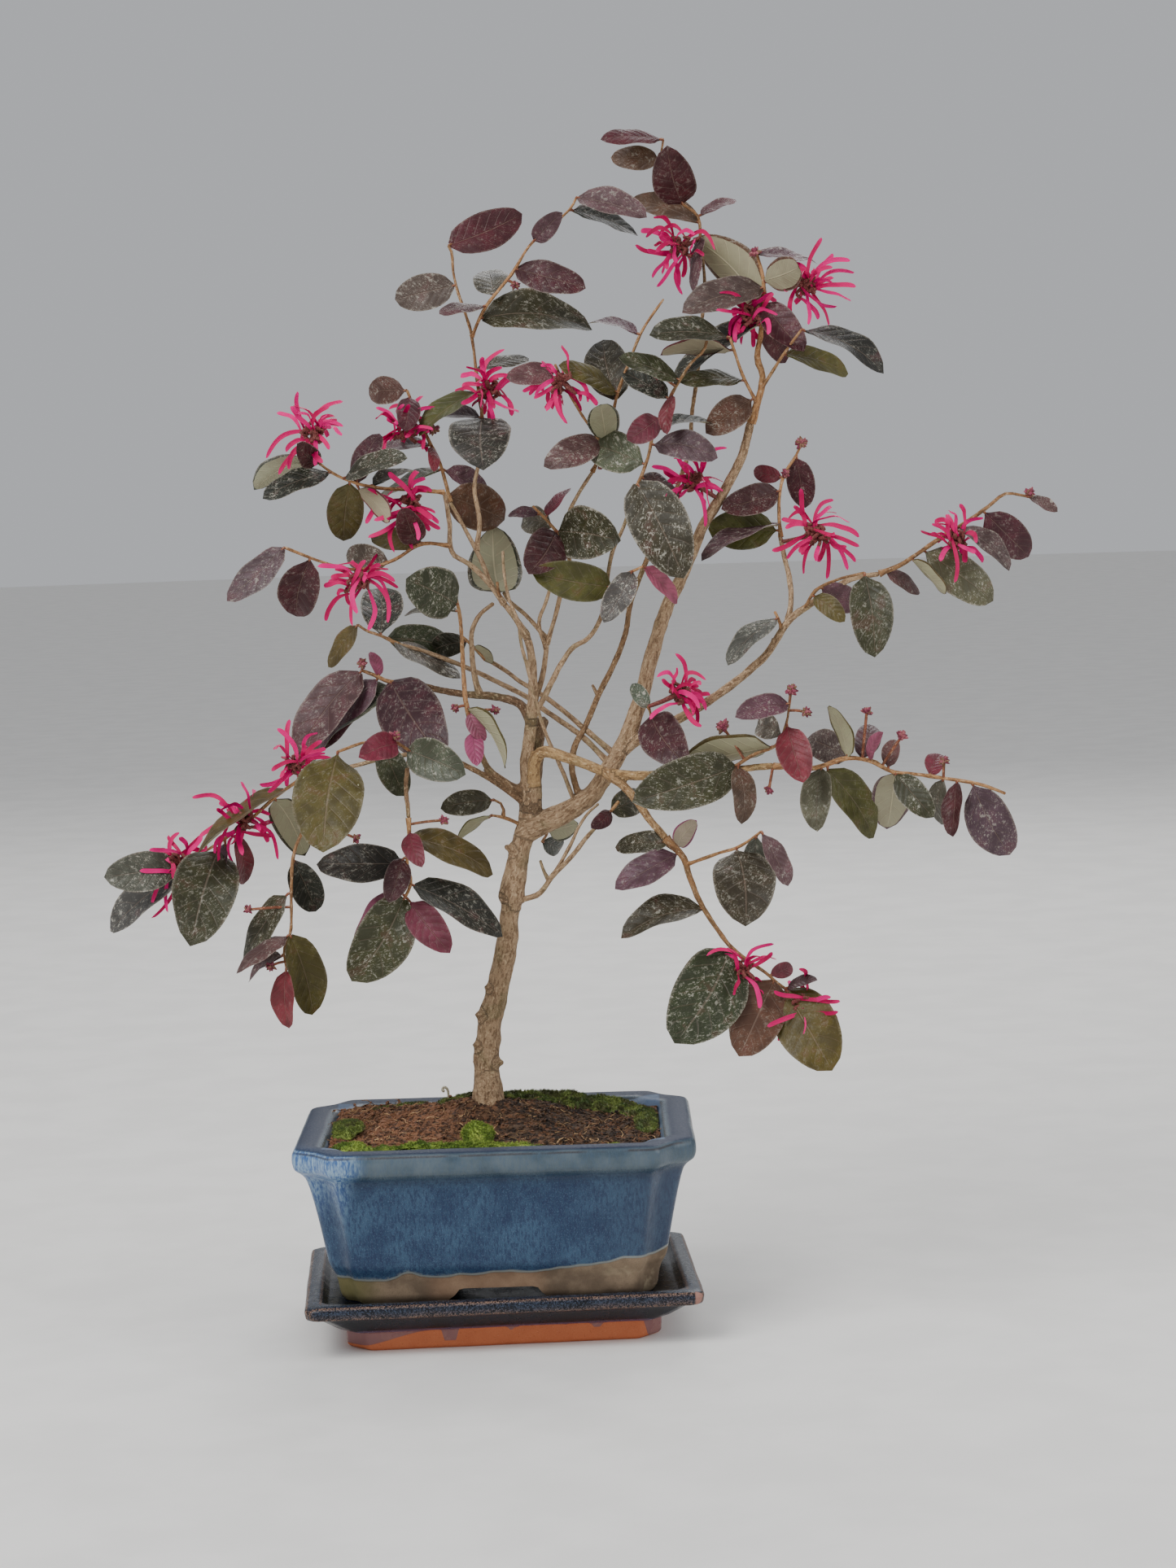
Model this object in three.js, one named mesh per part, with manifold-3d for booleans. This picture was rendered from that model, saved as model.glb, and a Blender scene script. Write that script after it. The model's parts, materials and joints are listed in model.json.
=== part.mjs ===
// A flowering loropetalum bonsai in its glazed pot, on a glazed drip tray.
// Millimetres, +Z up. The origin is on the table under the middle of the tray, the long sides
// of the pot run along X and the front of the tree faces -Y.
import * as THREE from "three";
import { mergeVertices } from "three/addons/utils/BufferGeometryUtils.js";
import Module from "manifold-3d";

const wasm = await Module();
wasm.setup();

// Where the photograph was taken from, fitted to the corners of the pot and the tray.
// A spot in the photograph, with a depth, is a place on the tree.
const EYE_ACROSS = 45.7;
const EYE_AWAY = 1430;
const EYE_HEIGHT = 376;
const EYE_PITCH = THREE.MathUtils.degToRad(5.41);
const EYE_ROLL = THREE.MathUtils.degToRad(-1.82);
const EYE_FOCUS = 4000;
const PHOTO_MIDDLE_X = 722.5;
const PHOTO_MIDDLE_Y = 963.5;
const EYE = new THREE.Vector3(EYE_ACROSS, -EYE_AWAY, EYE_HEIGHT);
const MM_PER_SPOT = EYE_AWAY / EYE_FOCUS;

// Gap kept between pieces that touch, and how near two corners are to be one point.
const GAP = 0.3;
const SAME_POINT = 1e-4;
const UPWARDS = new THREE.Vector3(0, 0, 1);

// Pot: a long octagon with dipped corners.
const POT_HALF_LENGTH = 87.5;
const POT_HALF_WIDTH = 64.8;
const POT_CORNER = 17;
const POT_CORNER_DIP = 1.6;
const POT_CORNER_SHRINK = 0.45;
const RIM_TOP = 91;
const RIM_BAND = 10.5;
const LIP_WIDTH = 14;
const POT_SEAT = 21.4;
const ARCH_TOP = 27.4;
const POT_FLOOR_TOP = 33;
const ARCH_HALF = 16.5;
const ARCH_SHOULDER = 6;
const RECESS_LENGTH = 108;
const RECESS_WIDTH = 64;
const DRAIN_RADIUS = 9;
const DRAIN_ACROSS = 32;
const DRAIN_SIDES = 16;
// How far the wall of the pot lies inside the outline of its rim, at each height.
const POT_WALL = [
  [POT_SEAT, 20.6],
  [24, 18.4],
  [31, 17.3],
  [34, 16.2],
  [38, 13.9],
  [43, 13],
  [56, 10.6],
  [66, 8.6],
  [74, 6.9],
  [RIM_TOP - RIM_BAND, 4.2],
  [RIM_TOP - RIM_BAND, 0.8],
  [RIM_TOP - 5, 0],
  [RIM_TOP - 1.2, 0.2],
  [RIM_TOP, 1.6],
];
// The same for the hollow.
const POT_HOLLOW = [
  [POT_FLOOR_TOP, 25],
  [60, 19],
  [RIM_TOP - 5, LIP_WIDTH + 0.8],
  [RIM_TOP - 1.4, LIP_WIDTH - 0.4],
  [RIM_TOP + 1, LIP_WIDTH - 1],
];

// Drip tray: square corners at the rim, a plinth below. It lies turned a little under the pot.
const TRAY_HALF_LENGTH = 86.5;
const TRAY_HALF_WIDTH = 58.4;
const TRAY_TURN = THREE.MathUtils.degToRad(3);
const TRAY_RIM = 24.3;
const TRAY_FLOOR = POT_SEAT - GAP;
const TRAY_CORNER = 3;
const TRAY_CORNER_GROWTH = 0.35;
const TRAY_WALL = [
  [0, 18.8],
  [1.2, 17.6],
  [8.6, 17.2],
  [8.8, 14.8],
  [13, 10],
  [17.8, 4.6],
  [18.3, 0.6],
  [TRAY_RIM - 1.9, 0],
  [TRAY_RIM - 0.5, 0.9],
  [TRAY_RIM, 2.6],
];
const TRAY_HOLLOW = [
  [TRAY_FLOOR, 10.4],
  [TRAY_RIM - 2.1, 8.8],
  [TRAY_RIM - 0.9, 7.4],
  [TRAY_RIM + 1, 5.6],
];

// Soil and moss.
const SOIL_EDGE = 87.5;
const MOUND_HEIGHT = 10.5;
const MOUND_ACROSS = -4;
const MOUND_BACK = 12;
const MOUND_SPREAD_X = 46;
const MOUND_SPREAD_Y = 30;
const LUMP_HEIGHT = 0.7;
const LUMP_TURN = 0.23;
const LEAN_ACROSS = -0.018;
const LEAN_BACK = 0.022;
const LEAN_MOST = 2.6;
// A side of the soil that is longer than this is drawn in four parts.
const LONG_SIDE = 34;
const SOIL_PER_SIDE = 4;
const SOIL_RINGS = [0.84, 0.6, 0.36, 0.15];
const SCREEN_HALF = 13;
const SCREEN_THICK = 0.9;
const SCREEN_SLOT_WIDTH = 2.2;
const SCREEN_SLOT_LENGTH = 19.5;
const SCREEN_SLOTS = [-7.5, -2.5, 2.5, 7.5];
const MOSS_PARTS = [12, 7];
// Moss: name, middle, half sizes along X and Y, height of the pad over the soil.
const MOSSES = [
  ["moss_front_edge", -14, -47, 36, 7, 3.6],
  ["moss_ball", -7, -33, 7.5, 6.5, 9],
  ["moss_left", -66, -8, 7.5, 13, 4],
  ["moss_back_right", 35, 31, 31, 12, 5.5],
];

// Wood: a limb has a step of about this length, and this many sides.
const WOOD_STEP = 24;
const THICK_LIMB = 5.9;
const THICK_SIDES = 8;
const THIN_LIMB = 2.9;
const MIDDLE_SIDES = 5;
const THIN_SIDES = 4;
const TWIG_STEP = 17;
const ROOT_DEPTH = 9;
const ROOT_REACH = 34;
const ROOT_START_WIDTH = 6.5;
const ROOT_END_WIDTH = 2;
const ROOT_TURNS = [0.3, 1.6, 2.9, 4.1, 5.3];
const ROOT_STEPS = 3;
const ROOT_START = 1;
const ROOT_SQUASH = 0.75;
const SNAG_TAPER = 0.7;

// Leaves: an oval blade, widest before its middle, folded along its midrib.
const LEAF_THICK = 1.1;
const LEAF_STATIONS = [
  [0.26, 0.92],
  [0.66, 0.88],
];
const LEAF_FOLD = 0.09;
const LEAF_ARCH = 0.07;
const LEAF_SLENDER = 0.5;
const LEAF_PLUMP = 0.62;
const STALK_WIDTH = 1.5;
const STALK_ROOT = 0.3;
const STALK_LEAST = 2.2;
const STALK_SHARE = 0.08;
const TWIG_TIP = 1.5;

// Flowers: strap petals of one length round a small calyx.
const PETAL_LENGTH = 21;
const PETAL_WIDTH = 2.1;
const PETAL_THICK = 0.8;
const PETAL_STATIONS = [
  [0.3, 1],
  [0.72, 0.85],
];
const PETAL_ARCH = 0.1;
const PETAL_BACK = 0.7;
const CALYX_RADIUS = 2.6;
const CALYX_STEM = 2.2;
const PETAL_ROOT = 0.68;

// The wood: name, what it grows from, width at its start and end (mm), and its route as spots
// in the photograph, across and down; a third number pins the depth there (mm, minus is nearer).
const WOOD = [
  ["root_flare", "", 17, 11.5, [[601, 1376, 8], [600, 1352], [599, 1318, 7]]],
  ["trunk", "", 12.2, 9, [[600, 1350, 8], [598, 1300], [603, 1250], [615, 1200], [624, 1150],
    [629, 1100, 3]]],
  ["trunk_top", "trunk", 9, 9.8, [[629, 1104], [638, 1050], [649, 1008], [653, 972, 1]]],
  ["left_leader", "trunk_top", 7, 3.4, [[648, 985], [647, 940], [651, 905], [654, 872],
    [655, 840], [652, 800], [645, 775, -4]]],
  ["cut_stump", "trunk_top", 8, 5.8, [[654, 990], [658, 940], [661, 905], [667, 884, 9]]],
  ["right_arm", "trunk_top", 9.4, 3.8, [[646, 1014], [690, 1001], [728, 975], [748, 945],
    [765, 918], [780, 880],
    [790, 850], [797, 820], [805, 790, 6], [820, 745], [836, 712], [850, 680], [862, 650], [880, 620],
    [897, 590], [912, 560], [922, 520, -2]]],
  ["far_right_arm", "right_arm", 5, 2.6, [[762, 924], [800, 900], [850, 875], [880, 855], [920, 825],
    [945, 800], [970, 762], [1003, 738], [1045, 712], [1080, 705, -26]]],
  ["right_riser", "far_right_arm", 2.6, 2, [[970, 762], [972, 740], [970, 710], [965, 690],
    [959, 660, 2]]],
  ["front_arm", "trunk_top", 5.8, 3, [[646, 930, -2], [664, 925, -5], [700, 932], [750, 950, -11],
    [795, 953], [860, 948], [900, 946], [950, 941, -30]]],
  ["low_right_arm", "front_arm", 4.4, 3.4, [[744, 948], [775, 975], [800, 1010], [818, 1030, -20]]],
  ["under_arm", "trunk_top", 2.8, 1.8, [[634, 1122], [660, 1100], [680, 1075], [700, 1055], [720, 1030],
    [740, 1008, -14]]],
  ["under_twig", "under_arm", 1.8, 1.3, [[682, 1074], [700, 1040], [712, 1015], [722, 1000],
    [735, 988, -4]]],
  ["under_snag", "under_arm", 1.8, 1.3, [[676, 1080], [668, 1070], [664, 1058, 4]]],
  ["left_arm", "left_leader", 4.2, 3, [[654, 884], [640, 866], [620, 858], [600, 855], [570, 853],
    [540, 848], [510, 840, 18]]],
  ["crossing_arm", "right_arm", 2.8, 1.8, [[758, 932], [720, 897], [672, 858, 15], [640, 838],
    [615, 820], [597, 810, 24]]],
  ["crossing_arm_low", "right_arm", 2.8, 1.8, [[750, 944], [715, 905], [668, 872, 14], [650, 858],
    [615, 840], [590, 828], [560, 815], [520, 800], [490, 792, 34]]],
  ["thin_crossing", "right_arm", 2, 1.3, [[706, 990], [690, 945], [672, 905, -8], [658, 862, -10],
    [648, 820], [640, 790, -12], [637, 765], [625, 735], [619, 700], [618, 678, -16]]],
  ["left_riser", "trunk_top", 4.2, 2.8, [[644, 978], [615, 958], [600, 945], [588, 920, -12]]],
  ["inner_riser", "left_arm", 2.8, 1.8, [[592, 855], [583, 830], [580, 800], [580, 775], [590, 755],
    [606, 742, 4]]],
  ["hub_fork", "left_leader", 3.4, 2.6, [[646, 780], [630, 755], [615, 737, -6]]],
  ["upper_left_fork", "hub_fork", 2.6, 1.9, [[617, 740], [597, 712], [575, 692], [556, 680], [552, 640],
    [546, 605, -18]]],
  ["upper_left_twin", "upper_left_fork", 2.2, 1.7, [[602, 720], [592, 690], [583, 672], [570, 648],
    [553, 617, 0]]],
  ["tall_left", "upper_left_twin", 2.2, 1.7, [[584, 674], [589, 640], [583, 600], [590, 560],
    [592, 530, 8]]],
  ["mid_fork", "left_leader", 2.8, 2.2, [[655, 866], [664, 840], [670, 810], [672, 785, 8]]],
  ["mid_fork_left", "mid_fork", 2.2, 1.7, [[671, 782], [645, 755], [625, 738], [619, 728, 10]]],
  ["mid_riser", "mid_fork", 1.9, 1.4, [[668, 795], [662, 765], [670, 742], [677, 718], [684, 690, 0]]],
  ["mid_riser_twin", "mid_fork", 2.2, 1.8, [[672, 790], [683, 755], [690, 725], [700, 690],
    [692, 665, 6]]],
  ["centre_riser", "mid_riser_twin", 1.9, 1.6, [[692, 668], [700, 628], [715, 600], [728, 580, 4]]],
  ["inner_centre", "left_leader", 2.8, 2, [[653, 890], [668, 858], [690, 815], [705, 795], [722, 785],
    [738, 760], [744, 735, -10]]],
  ["centre_fork", "inner_centre", 1.9, 1.6, [[743, 740], [752, 680], [765, 650], [772, 630],
    [779, 602, -14]]],
  ["top_leader", "right_arm", 3.2, 1.8, [[712, 990], [703, 945], [707, 915], [718, 895, 8], [735, 855],
    [755, 815], [768, 780], [775, 740], [790, 700, 18], [815, 640], [835, 590], [848, 550], [850, 510],
    [857, 460], [862, 400], [866, 350], [861, 300, 8]]],
  ["drooping_arm", "trunk_top", 3, 2.2, [[646, 992], [600, 956], [560, 935], [525, 923],
    [506, 928], [499, 960], [502, 1005, -24]]],
  ["far_left_arm", "drooping_arm", 2.2, 1.8, [[530, 925], [480, 930], [440, 940], [400, 950],
    [370, 957, -6]]],
];

// Short stubs and knots on the wood: what carries them, where they start and end, width (mm).
const SNAGS = [
  ["trunk", 600, 1248, 585, 1247, 4.4],
  ["trunk", 598, 1285, 582, 1284, 4],
  ["trunk", 610, 1215, 596, 1213, 3.6],
  ["trunk", 601, 1305, 618, 1306, 4.2],
  ["trunk", 629, 1108, 615, 1107, 3.4],
  ["trunk_top", 638, 1048, 621, 1040, 4],
  ["trunk_top", 640, 1045, 625, 1052, 3.2],
  ["far_right_arm", 945, 800, 950, 785, 2.2],
  ["front_arm", 860, 948, 866, 935, 2.2],
  ["top_leader", 735, 855, 728, 842, 2],
];

// The leafy twigs, written like the wood. One that grows from wood starts a leafy shoot of its own;
// one that grows from another twig belongs to that twig's shoot.
const TWIGS = [
  ["far_left_shoot", "far_left_arm", 1.7, 1.2, [[366, 959], [340, 978], [310, 1005], [270, 1035],
    [222, 1063, 2]]],
  ["hanging_left_shoot", "far_left_arm", 1.7, 1.2, [[396, 951], [385, 995], [362, 1045], [358, 1090],
    [357, 1145], [349, 1168], [352, 1190, -24]]],
  ["drooping_shoot", "drooping_arm", 1.9, 1.3, [[502, 1010], [503, 1035], [500, 1060], [505, 1085],
    [498, 1102, -30]]],
  ["left_shoot", "left_arm", 2.6, 1.4, [[505, 839], [480, 838], [460, 830], [445, 824, 24]]],
  ["drooping_side_shoot", "drooping_arm", 1.6, 1.2, [[506, 924], [485, 912], [450, 912],
    [415, 924, -34]]],
  ["back_left_shoot", "crossing_arm_low", 1.7, 1.2, [[484, 790], [470, 782], [450, 775],
    [440, 768, 42]]],
  ["crossing_shoot", "crossing_arm", 1.6, 1.2, [[592, 806], [582, 795], [568, 782, 26]]],
  ["left_riser_shoot", "left_riser", 2.6, 1.5, [[587, 915], [580, 895], [572, 860, -18], [569, 820],
    [567, 780], [564, 750], [560, 735, -20]]],
  ["left_top_shoot", "upper_left_fork", 1.7, 1.2, [[545, 600], [505, 602], [455, 598], [415, 585],
    [380, 560, -30]]],
  ["left_outer_shoot", "upper_left_fork", 1.7, 1.2, [[553, 672], [520, 668], [480, 690], [440, 700],
    [400, 692], [350, 673, -34]]],
  ["upper_left_shoot", "upper_left_twin", 1.7, 1.2, [[552, 612], [545, 583], [537, 560], [530, 548],
    [500, 480, 10]]],
  ["tall_left_shoot", "tall_left", 1.7, 1.2, [[592, 524], [592, 510], [588, 480], [585, 455],
    [582, 430], [578, 405], [570, 380], [563, 360], [557, 335], [555, 310], [551, 302, 18]]],
  ["tall_left_side", "tall_left_shoot", 1.5, 1.1, [[580, 412], [595, 380], [610, 360], [630, 335],
    [645, 310], [655, 297], [675, 280], [690, 267], [702, 255], [708, 243, -10]]],
  ["centre_top_shoot", "centre_riser", 1.6, 1.1, [[729, 576], [740, 555], [748, 530], [760, 480],
    [775, 440], [790, 405], [810, 375], [815, 368, -8]]],
  ["centre_left_side", "centre_top_shoot", 1.3, 1.1, [[741, 553], [715, 510], [695, 475],
    [682, 448, -12]]],
  ["top_shoot", "top_leader", 1.6, 1.1, [[860, 294], [857, 265], [838, 250], [823, 225], [812, 200],
    [815, 172, 2]]],
  ["upper_right_shoot", "right_arm", 3.4, 1.4, [[923, 514], [932, 490], [937, 462], [930, 440],
    [935, 410], [938, 345], [930, 312, -6]]],
  ["upper_right_side", "upper_right_shoot", 1.6, 1.1, [[935, 478], [950, 455], [970, 425],
    [985, 405, -24]]],
  ["upper_middle_side", "upper_right_shoot", 1.6, 1.1, [[930, 496], [912, 460], [905, 440],
    [897, 415, -18]]],
  ["centre_shoot", "centre_fork", 1.6, 1.2, [[780, 597], [786, 590], [797, 560], [802, 535], [812, 510],
    [825, 485], [838, 463], [850, 445], [865, 430], [870, 410, -18]]],
  ["centre_low_shoot", "mid_riser_twin", 1.5, 1.1, [[690, 661], [683, 652], [665, 632],
    [655, 622, -4]]],
  ["heart_shoot", "inner_centre", 1.7, 1.2, [[747, 728], [757, 712], [775, 703], [790, 696, -22]]],
  ["hub_shoot", "hub_fork", 1.6, 1.2, [[613, 731], [612, 724], [611, 716, -12]]],
  ["right_shoot", "right_riser", 1.7, 1.2, [[958, 653], [957, 620], [960, 595], [965, 580], [978, 560],
    [985, 545, 10]]],
  ["far_right_shoot", "far_right_arm", 2.2, 1.2, [[1086, 703], [1105, 695], [1125, 682], [1165, 655],
    [1190, 640], [1215, 622], [1235, 607], [1262, 610, -34]]],
  ["right_middle_shoot", "far_right_arm", 1.6, 1.2, [[988, 748], [1003, 725, -27],
    [1030, 712], [1062, 704, -44]]],
  ["arm_bend_shoot", "far_right_arm", 1.5, 1.2, [[962, 774], [958, 764], [952, 752, -20]]],
  ["front_shoot", "front_arm", 2.4, 1.3, [[956, 941], [1000, 944], [1040, 932], [1070, 935],
    [1095, 948], [1130, 952], [1170, 958], [1205, 964], [1235, 975, -46]]],
  ["front_middle_shoot", "front_arm", 1.7, 1.2, [[898, 946, -28.3], [925, 928], [955, 915], [966, 890],
    [970, 865, -40]]],
  ["arm_fork_shoot", "far_right_arm", 1.6, 1.2, [[803, 892], [800, 880], [797, 868, -16]]],
  ["under_shoot", "under_arm", 1.6, 1.2, [[743, 1004], [752, 995], [760, 985, -18]]],
  ["low_right_shoot", "low_right_arm", 3.1, 1.3, [[822, 1034], [840, 1055], [850, 1085], [862, 1112],
    [880, 1140], [897, 1163], [915, 1178], [940, 1195], [955, 1208], [965, 1215, -36]]],
  ["low_right_side", "low_right_shoot", 1.6, 1.2, [[842, 1062], [865, 1055], [885, 1048], [905, 1042],
    [925, 1030], [935, 1022, -44]]],
  ["trunk_side_shoot", "trunk_top", 2, 1.2, [[631, 1014], [620, 1005], [605, 1002, -8]]],
  ["trunk_side_twig", "trunk_side_shoot", 1.4, 1.1, [[620, 1006], [618, 990], [607, 983, 0]]],
  ["trunk_back_shoot", "right_arm", 1.6, 1.2, [[676, 1012], [672, 1024], [666, 1034, 20]]],
];

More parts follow.
